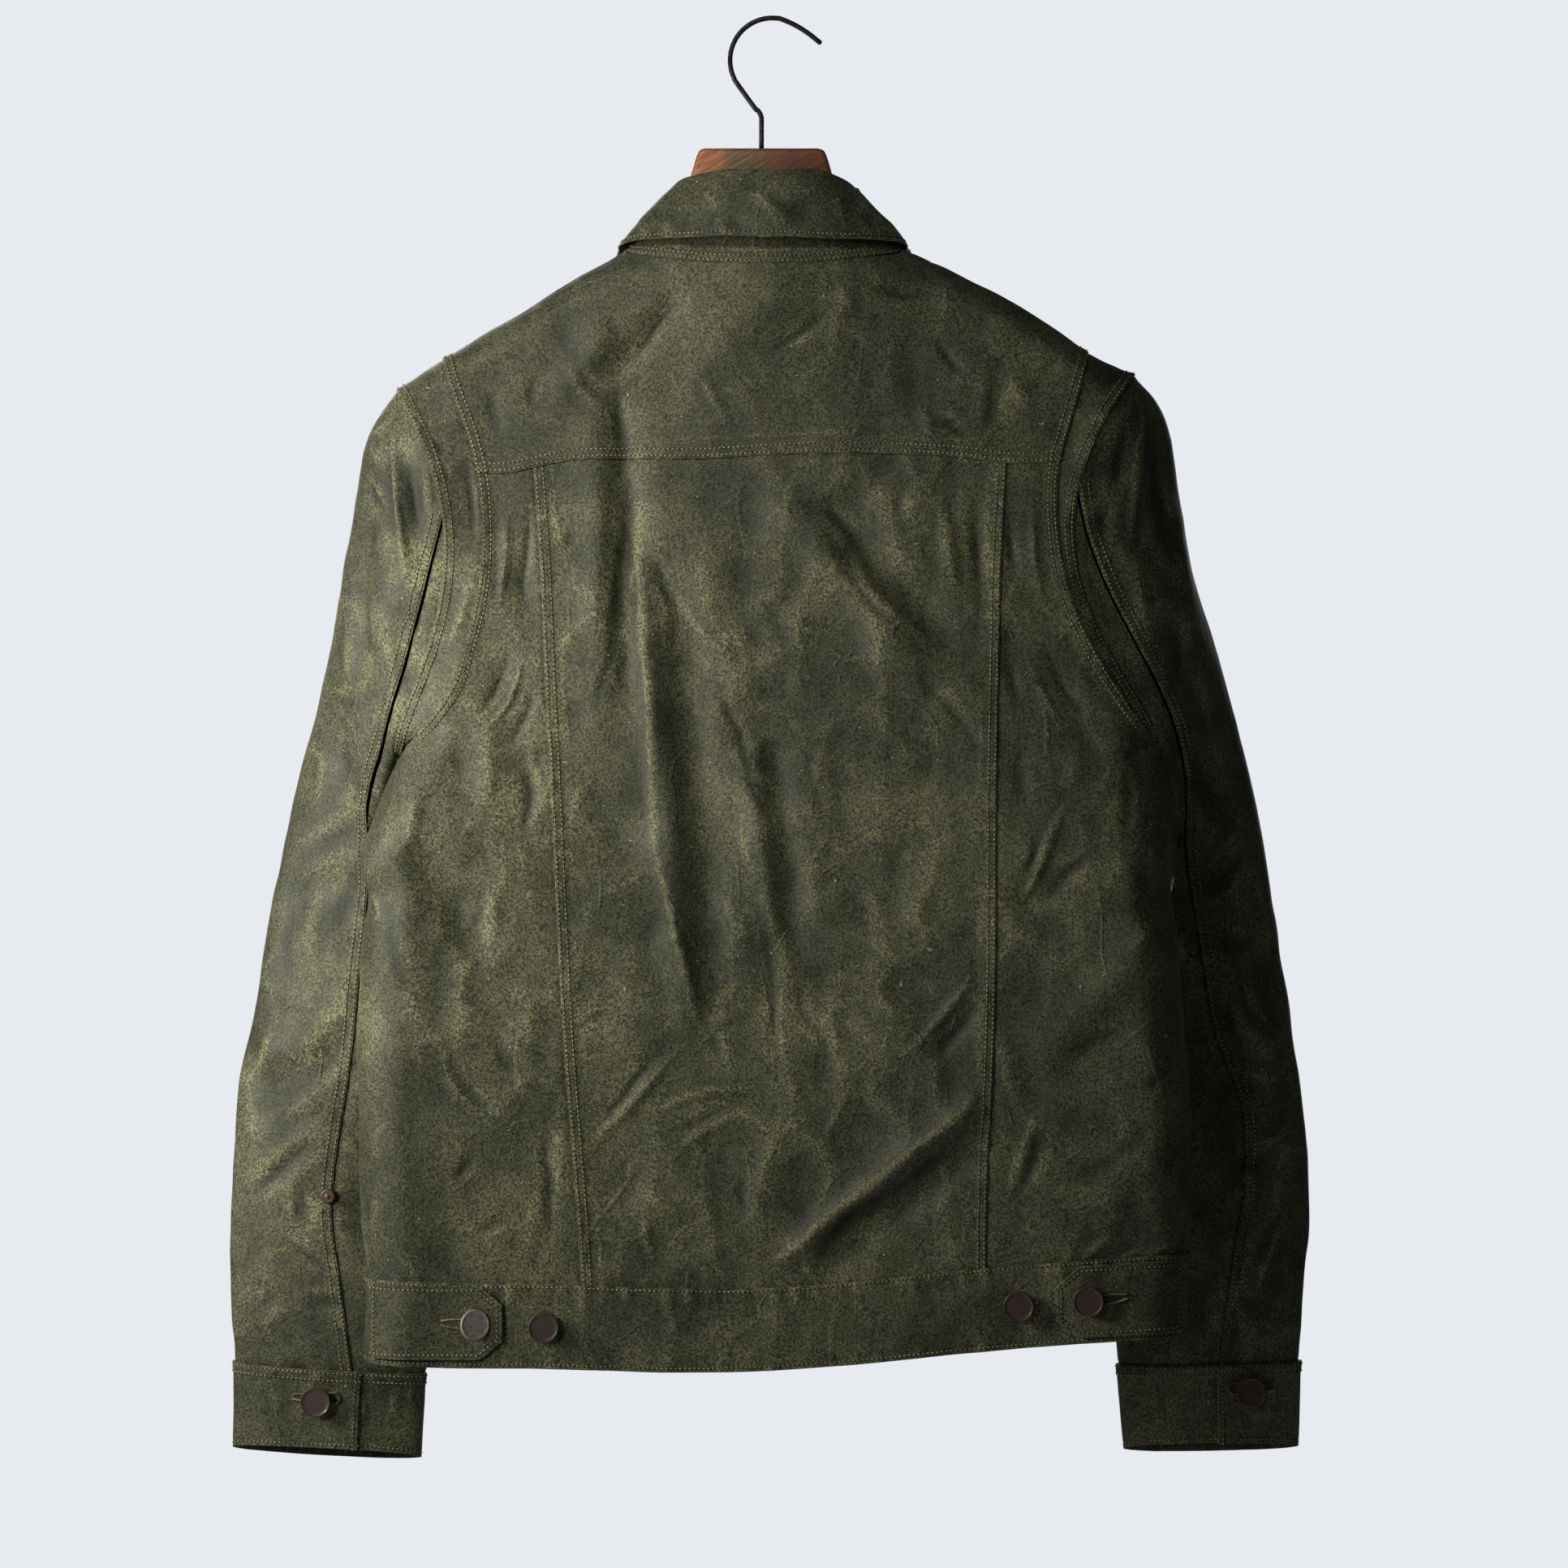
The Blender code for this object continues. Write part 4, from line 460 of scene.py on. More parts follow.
RIGHT_SLEEVE_CREASES = (  # the same columns
    (3.2, 3, 0.5, 213, -218, 218, -236, 217, -253, 215, -275, 212, -294, 209, -318),
    (-3.4, 6.5, 0.1, 209, -238, 206, -254, 203, -270, 199, -289),
    (-3.2, 7, 0.1, 222, -234, 226, -261, 228, -289, 231, -323),
    (2.2, 6, 0.1, 231, -263, 236, -289, 241, -311),
    (-2.6, 5, 0.1, 198, -288, 193, -301, 190, -313),
    (1.8, 6, 0.1, 214, -327, 219, -356, 228, -384),
    (-2.4, 7, 0.1, 233, -346, 238, -375, 247, -404),
    (2, 6, 0.1, 252, -375, 256, -399, 261, -423),
    (-2.4, 7, 0.1, 243, -423, 252, -451, 261, -475),
    (1.8, 6, 0.1, 233, -437, 240, -466, 247, -489),
    (2.2, 5, 0.2, 280, -475, 268, -494, 256, -511),
    (-2.4, 6, 0.2, 285, -489, 273, -508, 259, -525),
    (1.8, 4, 0.3, 253, -542, 267, -537, 283, -542, 297, -537),
    (-2, 5, 0.2, 252, -551, 268, -548, 285, -552),
    (-2.2, 7, 0.1, 261, -575, 271, -599, 284, -613),
    (2, 6, 0.1, 280, -566, 290, -589, 302, -604),
    (1.8, 4, 0.3, 261, -628, 276, -624, 293, -630, 307, -628),
    (-2.2, 5, 0.2, 264, -637, 280, -635, 299, -640),
    (-2.4, 5, 0.3, 304, -670, 292, -680, 283, -692),
    (2, 5, 0.2, 309, -659, 296, -668, 284, -676),
    (2.2, 3.4, 0.4, 273, -701, 280, -700, 288, -702),
    (-1.8, 2.6, 0.4, 272, -707, 281, -707, 290, -709),
    (-2, 5, 0.2, 309, -709, 297, -723, 290, -742),
    (1.8, 5, 0.2, 303, -723, 295, -742, 289, -761),
    (-1.8, 5, 0.2, 276, -752, 285, -766, 299, -775),
    (1.4, 4, 0.2, 273, -761, 283, -775, 290, -787),
)
COLLAR_CREASES = (  # the same columns
    (2.2, 6, 0.2, -19, -105, -9, -109, -1, -116, 5, -124, 2, -133),
    (1.6, 4, 0.2, -32, -119, -30, -126, -28, -133),
    (-1.8, 4, 0.2, -26, -119, -22, -125, -19, -132),
    (1.2, 6, 0.1, -40, -104, -35, -114, -33, -121),
    (-1.6, 9, 0, 13, -108, 17, -119, 19, -129),
    (1.2, 8, 0, 32, -106, 39, -117, 42, -127),
    (-1.2, 6, 0.1, -54, -113, -52, -122, -53, -133),
    (1.2, 6, 0.1, -65, -119, -62, -128, -63, -135),
    (-1, 5, 0.1, -72, -123, -70, -132),
    (-1.2, 6, 0.1, 52, -114, 57, -123, 60, -130),
)
SCUFFS = (  # strength, half width, then x, z along it, in millimetres
    (0.7, 0.9, -86, -150, -103, -156, -120, -163, -142, -173),
    (0.5, 1, -7, -297, 11, -294, 28, -292),
    (0.5, 0.9, -4, -356, 17, -362, 33, -366, 43, -376, 54, -387, 72, -403),
    (0.35, 2.5, 0, -491, 37, -487, 80, -481),
    (0.35, 2.2, 18, -504, 63, -498),
    (0.5, 0.8, 28, -592, 56, -596, 88, -601),
    (0.7, 0.8, -8, -691, 14, -691),
    (0.6, 1, -195, -576, -185, -581, -177, -588),
    (0.5, 0.8, -181, -594, -159, -594, -132, -597),
    (0.5, 0.8, -146, -497, -133, -496),
    (0.4, 0.8, -149, -509, -134, -508),
    (0.7, 0.8, -230, -683, -220, -688, -210, -694),
    (0.6, 0.9, -222, -663, -217, -666),
    (0.6, 0.8, 166, -511, 174, -508, 182, -505),
    (0.6, 0.8, 148, -743, 153, -739, 156, -737),
    (0.4, 1.2, 16, -215, 23, -212, 32, -212, 37, -211),
    (0.5, 0.7, -135, -730, -136, -737, -137, -743),
    (0.5, 0.8, -249, -468, -263, -476, -285, -489),
    (0.5, 0.7, -180, -699, -168, -693, -149, -695),
    (0.5, 0.8, 174, -599, 190, -595, 204, -596),
    (0.4, 0.9, -52, -327, -55, -356, -54, -375),
    (0.4, 0.8, -25, -303, -34, -323, -37, -342),
    (0.4, 0.8, 80, -461, 99, -458, 116, -463),
    (0.4, 0.8, -111, -527, -96, -531, -77, -528),
    (0.5, 0.8, -49, -556, -34, -552, -18, -555),
)


# ---- tables read as smooth curves --------------------------------------------------------------
def curve(rows, column=1, key=0):
    """A smooth function through a table's rows, held flat past its ends."""
    ordered = sorted(rows, key=lambda row: row[key])
    keys = np.array([row[key] for row in ordered], float)
    values = np.array([row[column] for row in ordered], float)
    slopes = np.gradient(values, keys)

    def at(x):
        x = np.clip(x, keys[0], keys[-1])
        i = np.clip(np.searchsorted(keys, x) - 1, 0, len(keys) - 2)
        step = keys[i + 1] - keys[i]
        t = (x - keys[i]) / step
        low = values[i] * (1 + 2 * t) * (1 - t) ** 2 + step * slopes[i] * t * (1 - t) ** 2
        high = values[i + 1] * t * t * (3 - 2 * t) + step * slopes[i + 1] * t * t * (t - 1)
        return low + high

    return at


def lerp(a, b, t):
    return a + (b - a) * t


def smoothstep(x, low, high):
    t = np.clip((x - low) / (high - low), 0, 1)
    return t * t * (3 - 2 * t)


shoulder_z = curve(SHOULDER_LINE)
side_left = curve(SIDE_EDGES, 1)
side_right = curve(SIDE_EDGES, 2)
half_depth_at = curve(DEPTHS, 1)
middle_y_at = curve(DEPTHS, 2)
armhole_left = curve(ARMHOLE, 1)
armhole_right = curve(ARMHOLE, 2)
yoke_seam_z = curve(YOKE_SEAM)
waist_seam_z = curve(WAIST_SEAM)
hem_z = curve(HEM)
back_seam_left = curve(BACK_SEAMS, 1)
back_seam_right = curve(BACK_SEAMS, 2)
neck_z = curve(NECK)


# ---- the body's sheets -------------------------------------------------------------------------
def side_edge(side, z):
    return side_left(z) if side == LEFT else side_right(z)


def half_depth(face, x, z):
    """Half the depth between the sheets. The sleeves press the front sheet in near the sides."""
    depth = half_depth_at(z)
    if face == BACK:
        near_neck = smoothstep(z, -0.260, -0.150)
        return depth + NECK_BULGE * np.exp(-(((x - CENTRE_X) / 0.075) ** 2)) * near_neck
    pressed = smoothstep(np.abs(x), 0.110, 0.200) * smoothstep(-z, 0.360, 0.440)
    return depth * (1 - 0.70 * pressed)


def middle_y(x, z):
    """The sides below the arms stand towards the viewer, in front of the sleeves."""
    return middle_y_at(z) - 0.014 * (x / 0.24) ** 2 * smoothstep(-z, 0.380, 0.480)


def side_arc(face, side, z):
    """Length of the rounded stretch at a side edge, along the cloth."""
    depth = half_depth(face, side_edge(side, z), z)
    return 0.5 * math.pi * np.sqrt((SIDE_ROUND**2 + depth**2) / 2)


def half_girth(face, side, z):
    """Length along the cloth from x = 0 to the side edge."""
    return np.abs(side_edge(side, z)) - SIDE_ROUND + side_arc(face, side, z)


def fold_height(folds, x, z):
    """Summed height of straight folds with soft flanks and tapered ends."""
    total = np.zeros(np.broadcast(x, z).shape)
    for x0, z0, x1, z1, width, height in folds:
        along_x, along_z = x1 - x0, z1 - z0
        length = math.hypot(along_x, along_z)
        t = ((x - x0) * along_x + (z - z0) * along_z) / length**2
        off = ((x - x0) * along_z - (z - z0) * along_x) / length
        taper = np.sqrt(np.clip(4 * t * (1 - t), 0, 1))
        total = total + height * taper * np.exp(-((off / width) ** 2))
    return total


def torso(face, p, z):
    """Outer surface of the body. p runs across along the cloth: it is x on the flat part, and the
    cloth length past the start of the rounding near a side edge. Arrays give arrays of points."""
    p, z = np.broadcast_arrays(np.asarray(p, float), np.asarray(z, float))
    x = np.array(p)
    e_side = np.ones(p.shape)
    for side in (LEFT, RIGHT):
        mine = p * side > 0
        arc = side_arc(face, side, z)
        left_over = np.maximum(half_girth(face, side, z) - np.abs(p), 0)
        angle = 0.5 * math.pi * np.minimum(left_over / arc, 1)
        inset = SIDE_ROUND * (1 - np.cos(angle)) + np.maximum(left_over - arc, 0)
        x = np.where(mine, side_edge(side, z) - side * inset, x)
        e_side = np.where(mine, np.sin(angle), e_side)
    drop = np.clip((shoulder_z(x) - z) / SHOULDER_ROUND, 0, 1)
    e_shoulder = np.sqrt(1 - (1 - drop) ** 2)
    folds = fold_height(BACK_FOLDS if face == BACK else FRONT_FOLDS, x, z)
    depth = (half_depth(face, x, z) + folds) * e_side * e_shoulder
    return np.stack([x, middle_y(x, z) + face * depth, z], axis=-1)


def cloth_p(face, side, x, z):
    """The p of a point whose x is known."""
    inset = np.maximum(side * (side_edge(side, z) - x), 0)
    arc = side_arc(face, side, z)
    rounded = arc * np.arccos(np.clip(1 - inset / SIDE_ROUND, 0, 1)) / (0.5 * math.pi)
    flat = arc + inset - SIDE_ROUND
    return side * (half_girth(face, side, z) - np.where(inset < SIDE_ROUND, rounded, flat))


def armhole_x(side, z):
    """x of the body's edge at the armhole, on either sheet."""
    tip_x = (armhole_left if side == LEFT else armhole_right)(0.0)
    tip_z = float(shoulder_z(tip_x))
    share = np.clip((tip_z - z) / (tip_z - PIT_Z), 0, 1)
    return (armhole_left if side == LEFT else armhole_right)(share)


def armhole_loop(side, turns):
    """Points round the armhole: turn 0 at the shoulder, 0.25 mid back, 0.5 at the underarm."""
    tip_z = float(shoulder_z(armhole_x(side, 0.0)))
    middle, reach = (tip_z + PIT_Z) / 2, (tip_z - PIT_Z) / 2
    points = []
    for turn in turns:
        z = middle + reach * math.cos(2 * math.pi * turn)
        face = BACK if (turn % 1) <= 0.5 else FRONT
        points.append(torso(face, cloth_p(face, side, armhole_x(side, z), z), z))
    return np.array(points)


def neck_point(degrees):
    """A point of the neck seam, by angle from the centre back; negative is the left."""
    degrees = np.asarray(degrees, float)
    x = CENTRE_X + NECK_HALF_WIDTH * np.sin(np.radians(degrees))
    z = np.minimum(neck_z(np.abs(degrees)), shoulder_z(x) - 0.0001)
    on_back = (np.abs(degrees) <= 90)[..., None]
    return np.where(on_back, torso(BACK, x, z), torso(FRONT, x, z))


def drop_below(w):
    """How far below the shoulder line a point is whose unrolled length from it is w."""
    angle = 0.5 * math.pi * np.minimum(np.abs(w) / SHOULDER_ARC, 1)
    return SHOULDER_ROUND * (1 - np.cos(angle)) + np.maximum(np.abs(w) - SHOULDER_ARC, 0)


def unroll(face, x, z):
    """Signed cloth length from the shoulder line: negative on the back, positive on the front."""
    drop = np.maximum(shoulder_z(x) - z, 0)
    angle = np.arccos(1 - np.minimum(drop / SHOULDER_ROUND, 1))
    return face * (SHOULDER_ARC * angle / (0.5 * math.pi) + np.maximum(drop - SHOULDER_ROUND, 0))


def roll(x, w):
    """The body's point at x whose unrolled length from the shoulder line is w."""
    x, w = np.broadcast_arrays(np.asarray(x, float), np.asarray(w, float))
    z = shoulder_z(x) - drop_below(w)
    sheets = []
    for face in (BACK, FRONT):
        p = np.where(x < 0, cloth_p(face, LEFT, x, z), cloth_p(face, RIGHT, x, z))
        sheets.append(torso(face, p, z))
    return np.where((w <= 0)[..., None], sheets[0], sheets[1])


# ---- shapes of the collar, the sleeves and the hanger ------------------------------------------
# degrees round the neck, z of the fold line, then the fall's edge: x from the centre, unrolled
# length from the shoulder line, stand-off
COLLAR = (
    (0, -0.0930, 0.0000, -0.0345, 0.0095), (30, -0.0935, 0.0430, -0.0305, 0.0090),
    (55, -0.0975, 0.0710, -0.0210, 0.0085), (75, -0.1050, 0.0830, -0.0110, 0.0055),
    (90, -0.1135, 0.0855, 0.0000, 0.0030), (100, -0.1200, 0.0862, 0.0130, 0.0055),
    (110, -0.1280, 0.0860, 0.0280, 0.0080), (135, -0.1560, 0.0780, 0.0775, 0.0095),
    (155, -0.1790, 0.0630, 0.1110, 0.0085), (176, -0.1930, 0.0420, 0.1375, 0.0070),
)
FOLD_HALF_WIDTH = 0.0600
FOLD_DEPTH = (0.0330, 0.0320)  # y reach of the fold line at the back, and at the front
STAND_INSET = (0.0026, 0.0024)  # how far inside the fold it ends, and how much more at the front
FALL_BOW = 0.0020
collar_fold_z = curve(COLLAR, 1)
collar_edge_x = curve(COLLAR, 2)
collar_edge_w = curve(COLLAR, 3)
collar_edge_off = curve(COLLAR, 4)


def section_curves(table):
    rows = [(float(i), *row) for i, row in enumerate(table)]
    return [curve(rows, column) for column in range(1, 9)]


SLEEVES = {LEFT: section_curves(LEFT_SLEEVE), RIGHT: section_curves(RIGHT_SLEEVE)}
SEAM_TURNS = {LEFT: curve(SLEEVE_SEAM, 1), RIGHT: curve(SLEEVE_SEAM, 2)}
LAST_SECTION = len(LEFT_SLEEVE) - 1


def ring_point(size, side, turn, fullness=0.0):
    """A point of an elliptical section: turn 0 outer, 0.25 back, 0.5 inner, 0.75 front.
    Fullness, up to 0.5, squares the section's depth off towards its ends."""
    outer_x, outer_z, inner_x, inner_z, y, tuck, depth, bulge = size
    c, s = np.cos(2 * math.pi * turn), np.sin(2 * math.pi * turn)
    inner = 0.5 - 0.5 * c
    x = lerp(outer_x, inner_x, inner) - side * bulge * s * s * (1 - 0.65 * inner**3)
    z = lerp(outer_z, inner_z, inner)
    y = y + tuck * inner**3 - 0.5 * depth * s * (1 + fullness * (1 - s * s))
    return np.stack(np.broadcast_arrays(x, y, z), -1)


def plain_sleeve(side, section, turn):
    fullness = ARMHOLE_FULLNESS * (1 - smoothstep(section, 0, 1.5))
    return ring_point([f(section) for f in SLEEVES[side]], side, turn, fullness)


def sleeve_normal(side, section, turn):
    step = 0.01
    low, high = np.maximum(section - step, 0), np.minimum(section + step, LAST_SECTION)
    along = plain_sleeve(side, high, turn) - plain_sleeve(side, low, turn)
    around = plain_sleeve(side, section, turn + step) - plain_sleeve(side, section, turn - step)
    normal = np.cross(around, along) * side
    return normal / np.linalg.norm(normal, axis=-1, keepdims=True)


def sleeve(side, section, turn):
    """Outer surface of a sleeve, with its folds."""
    point = plain_sleeve(side, section, turn)
    height = np.zeros(point.shape[:-1])
    for s0, t0, s1, t1, width, rise in SLEEVE_FOLDS:
        start, end = plain_sleeve(side, s0, t0), plain_sleeve(side, s1, t1)
        span = end - start
        t = np.clip((point - start) @ span / np.dot(span, span), 0, 1)
        off = np.linalg.norm(point - start - t[..., None] * span, axis=-1)
        apart = np.abs((turn - lerp(t0, t1, t) + 0.5) % 1 - 0.5)
        here = np.sqrt(4 * t * (1 - t)) * np.exp(-((off / width) ** 2))
        height = height + np.where(apart < 0.22, rise * here, 0)
    ends = np.clip(np.minimum(section, LAST_SECTION - section) / 0.35, 0, 1)
    return point + sleeve_normal(side, section, turn) * (height * ends)[..., None]


def seam_gap_turn(side, section, seam):
    """The share of a turn that a seam's gap takes up, measured square to the seam's line."""
    step, turn = 0.02, seam(section)
    around = (plain_sleeve(side, section, turn + step) - plain_sleeve(side, section, turn)) / step
    low, high = np.maximum(section - step, 0), np.minimum(section + step, LAST_SECTION)
    along = plain_sleeve(side, high, seam(high)) - plain_sleeve(side, low, seam(low))
    along /= np.linalg.norm(along, axis=-1, keepdims=True)
    square = around - along * np.sum(around * along, axis=-1, keepdims=True)
    at_pit = smoothstep(section, 0.6, 1.2) * (1 - smoothstep(section, 1.6, 2.4))
    return (SLEEVE_SEAM_GAP + PIT_SEAM_EASE * at_pit) / np.linalg.norm(square, axis=-1)


WOOD_TOP = -0.0768
# x, z down the right half of the bar's outline, from the block's top to the middle of its underside
HANGER_OUTLINE = (
    (0.0335, -0.0768), (0.0368, -0.0780), (0.0388, -0.0815), (0.0408, -0.0880), (0.0426, -0.0950),
    (0.0452, -0.1120), (0.0510, -0.1290), (0.0630, -0.1430), (0.0830, -0.1540), (0.1100, -0.1665),
    (0.1430, -0.1840), (0.1700, -0.2000), (0.1820, -0.2115), (0.1790, -0.2190), (0.1650, -0.2200),
    (0.1400, -0.2110), (0.1050, -0.1940), (0.0650, -0.1790), (0.0300, -0.1710), (0.0000, -0.1690),
)
HOOK_SHANK_X = -0.0067
HANGER_Y = -0.0065
HOOK_CENTRE = (-0.0003, -0.0251)
HOOK_RADIUS = 0.0251
HOOK_BEND_Z = -0.0590  # where the shank starts to slant
HOOK_TIP = (0.0282, -0.0132)


# ---- settings ----------------------------------------------------------------------------------
def length(name, description, default):
    return bpy.props.FloatProperty(name=name, description=description, default=default,
                                   min=0, unit="LENGTH", precision=5)


def colour(name, description, default):
    return bpy.props.FloatVectorProperty(name=name, description=description, default=default,
                                         size=3, subtype="COLOR", min=0, max=1)


class JacketCloth(bpy.types.PropertyGroup):
    wall: length("Cloth wall", "Thickness of one cloth piece", 0.0012)
    fine: length("Fine spacing", "Distance between threads of the mesh on the back", 0.0025)
    coarse: length("Coarse spacing", "The same on the sleeves and the fronts", 0.0037)
    lap: length("Lap", "How far a piece runs on under the one sewn over it", 0.0022)
    rise: length("Lap rise", "How far a lapping edge stands up", 0.0009)
    creases: bpy.props.FloatProperty(name="Creases", description="Strength of the placed creases",
                                     default=1.15, min=0, max=2, subtype="FACTOR")
    ridges: length("Crushed ridges", "Height of the small sharp ridges all over the cloth", 0.0043)
    dents: length("Crushed dents", "Depth of the soft dents all over the cloth", 0.0009)
    rumple: bpy.props.FloatProperty(name="Rumple", description="Strength of the small unevenness",
                                    default=1.0, min=0, max=2, subtype="FACTOR")
    base: colour("Cloth", "The waxed cloth", (0.067, 0.068, 0.034))
    bloom: colour("Bloom", "Cloth where the wax has gone dull", (0.100, 0.099, 0.050))
    scuff: colour("Scuff", "Cloth rubbed bare on ridges and edges", (0.205, 0.205, 0.098))
    # Dark is also the painted shade in the cloth's crease bottoms and hollows.
    dark: colour("Dark", "Cloth where the wax lies thick", (0.026, 0.027, 0.013))


class JacketSewing(bpy.types.PropertyGroup):
    pitch: length("Stitch pitch", "From one stitch to the next", 0.00275)
    stitch: length("Stitch length", "Thread seen in one stitch", 0.0020)
    thread: length("Thread radius", "Radius of the sewing thread", 0.00044)
    hole: length("Needle hole", "Radius of a needle hole", 0.00040)
    colour: colour("Thread", "Sewing thread", (0.480, 0.470, 0.215))
    # Painted shade: each needle hole is a small dark capsule coloured as the shade in a hole.
    hole_colour: colour("Hole", "Inside of a needle hole", (0.010, 0.010, 0.006))


class JacketFittings(bpy.types.PropertyGroup):
    bronze: colour("Bronze", "Raised parts of a button", (0.105, 0.074, 0.060))
    tarnish: colour("Tarnish", "Hollows of a button", (0.066, 0.045, 0.036))
    silvered: colour("Silvered", "The one replaced button", (0.430, 0.370, 0.335))
    brass: colour("Brass", "Nub of a rivet", (0.420, 0.270, 0.120))
    wood_light: colour("Light wood", "Left part of the hanger", (0.560, 0.200, 0.062))
    wood_mid: colour("Brown wood", "Middle part of the hanger", (0.260, 0.150, 0.062))
    wood_red: colour("Red wood", "Right part of the hanger", (0.300, 0.110, 0.048))
    steel: colour("Hook", "The hanger's hook", (0.075, 0.058, 0.050))


class JacketStage(bpy.types.PropertyGroup):
    distance: length("Camera distance", "From the jacket's middle plane to the camera", 2.62)
    lens: bpy.props.FloatProperty(name="Lens", description="Focal length in millimetres",
                                  default=100.9, min=10)
    key: bpy.props.FloatProperty(name="Key light", description="Watts", default=8.4, min=0)
    neck: bpy.props.FloatProperty(name="Neck light", description="Watts", default=48.0, min=0)
    beam: bpy.props.FloatProperty(name="Beam", description="Watts of the lamp on the left side",
                                  default=162.0, min=0)
    beam_angle: bpy.props.FloatProperty(name="Beam angle", description="Full angle of the beam",
                                        default=math.radians(25), subtype="ANGLE")
    rear: bpy.props.FloatProperty(name="Rear light", description="Watts", default=38.0, min=0)
    sky: bpy.props.FloatProperty(name="Sky", description="Strength of the room's light",
                                 default=0.038, min=0)
    backdrop: colour("Backdrop", "The pale room behind the jacket", (0.80, 0.83, 0.87))
    floor_z: bpy.props.FloatProperty(name="Floor", description="Height of the floor",
                                     default=-1.70, unit="LENGTH")


def cloth_settings():
    return bpy.context.scene.jacket_cloth


# ---- measuring on grids and lines --------------------------------------------------------------
def hashed(cell, step, seed):
    """A random whole number for each lattice cell."""
    mixed = np.full(cell.shape[:-1], seed * 2654435761, np.int64)
    for axis, prime in enumerate((73856093, 19349663, 83492791)):
        mixed ^= (cell[..., axis] + step[axis]) * prime
    mixed = (mixed ^ (mixed >> 13)) * 1274126177
    return mixed ^ (mixed >> 16)


def lattice_noise(points, size, seed):
    """Smooth random numbers from -1 to 1 on a lattice of the given cell size."""
    q = np.asarray(points, float) / size + 1000.0
    cell = np.floor(q).astype(np.int64)
    f = q - cell
    f = f * f * (3 - 2 * f)
    total = np.zeros(q.shape[:-1])
    for step in product((0, 1), repeat=3):
        weight = np.ones(q.shape[:-1])
        for axis in range(3):
            weight = weight * (f[..., axis] if step[axis] else 1 - f[..., axis])
        total += weight * ((hashed(cell, step, seed) & 0xFFFFFF) / 0x7FFFFF - 1.0)
    return total


def facets(points, size, seed):
    """Crushed cloth: low at scattered spots and rising to sharp ridges half way between them."""
    q = np.asarray(points, float) / size + 1000.0
    cell = np.floor(q).astype(np.int64)
    nearest = np.full(q.shape[:-1], 9.0)
    for step in product((-1, 0, 1), repeat=3):
        mixed = hashed(cell, step, seed)
        spots = [cell[..., k] + step[k] + ((mixed >> (8 * k)) & 0xFF) / 255 for k in range(3)]
        nearest = np.minimum(nearest, sum((q[..., k] - spots[k]) ** 2 for k in range(3)))
    return np.sqrt(nearest) - 0.55


def line_noise(along, size, seed):
    points = np.stack([along, 0 * along, 0 * along], -1)
    return lattice_noise(points, size, seed)


def smooth_line(line, per_segment=4):
    """A line through the given points with rounded corners."""
    line = np.asarray(line, float)
    if len(line) < 3:
        return line
    before = np.vstack([2 * line[0] - line[1], line])
    out = []
    after = np.vstack([line, 2 * line[-1] - line[-2]])
    for i in range(len(line) - 1):
        p0, p1, p2, p3 = before[i], line[i], line[i + 1], after[i + 2]
        for t in np.arange(per_segment) / per_segment:
            out.append(0.5 * (2 * p1 + (p2 - p0) * t + (2 * p0 - 5 * p1 + 4 * p2 - p3) * t * t
                              + (3 * p1 - p0 - 3 * p2 + p3) * t**3))
    return np.array([*out, line[-1]])


def nearest_on_line(points, line):
    """Distance of each point from a line, and how far along the line its nearest place is."""
    steps = np.linalg.norm(np.diff(line, axis=0), axis=1)
    starts = np.concatenate([[0], np.cumsum(steps)])
    best = np.full(points.shape[:-1], np.inf)
    along = np.zeros(points.shape[:-1])
    for i, step in enumerate(steps):
        if step < 1e-9:
            continue
        direction = (line[i + 1] - line[i]) / step
        t = np.clip((points - line[i]) @ direction, 0, step)
        off = points - line[i] - t[..., None] * direction
        square = np.einsum("...i,...i->...", off, off)
        closer = square < best
        best = np.where(closer, square, best)
        along = np.where(closer, starts[i] + t, along)
    return np.sqrt(best), along, starts[-1]


def table_line(flat, reach, x, z):
    """A table row's line in metres, and a mark for each place within reach of its box."""
    line = smooth_line(np.array(flat, float).reshape(-1, 2) / 1000)
    low, high = line.min(axis=0) - reach, line.max(axis=0) + reach
    return line, (x > low[0]) & (x < high[0]) & (z > low[1]) & (z < high[1])


def crease_height(x, z, rows):
    """Summed height of a table of creases at places x, z."""
    total = np.zeros(x.shape)
    for height, half_width, keenness, *flat in rows:
        width_share, height_share = RIDGE_SHARES if height > 0 else TROUGH_SHARES
        width = half_width / 1000 * width_share
        keenness = min(KEENEST, keenness + KEENER)
        line, near = table_line(flat, 3.6 * width, x, z)
        if not near.any():
            continue
        distance, along, whole = nearest_on_line(np.stack([x[near], z[near]], -1), line)
        ends = min(0.48 * whole, CREASE_FADE)
        taper = smoothstep(along, 0, ends) * smoothstep(whole - along, 0, ends)
        waver = line_noise(along + 3 * line[0, 0], 0.021, 31)
        distance = distance * (1 + CREASE_WAVER * waver)
        profile = np.exp(-((distance / width) ** (2 - keenness)))
        total[near] += height_share * height / 1000 * (1 + 0.25 * waver) * taper * profile
    return total


def scuff_lines(x, z):
    """How strongly a place is marked by pale rubbed lines."""
    total = np.zeros(x.shape)
    for strength, half_width, *flat in SCUFFS:
        width = half_width / 1000
        line, near = table_line(flat, 3 * width, x, z)
        if near.any():
            distance, _, _ = nearest_on_line(np.stack([x[near], z[near]], -1), line)
            total[near] += strength * np.exp(-((distance / width) ** 2))
    return total


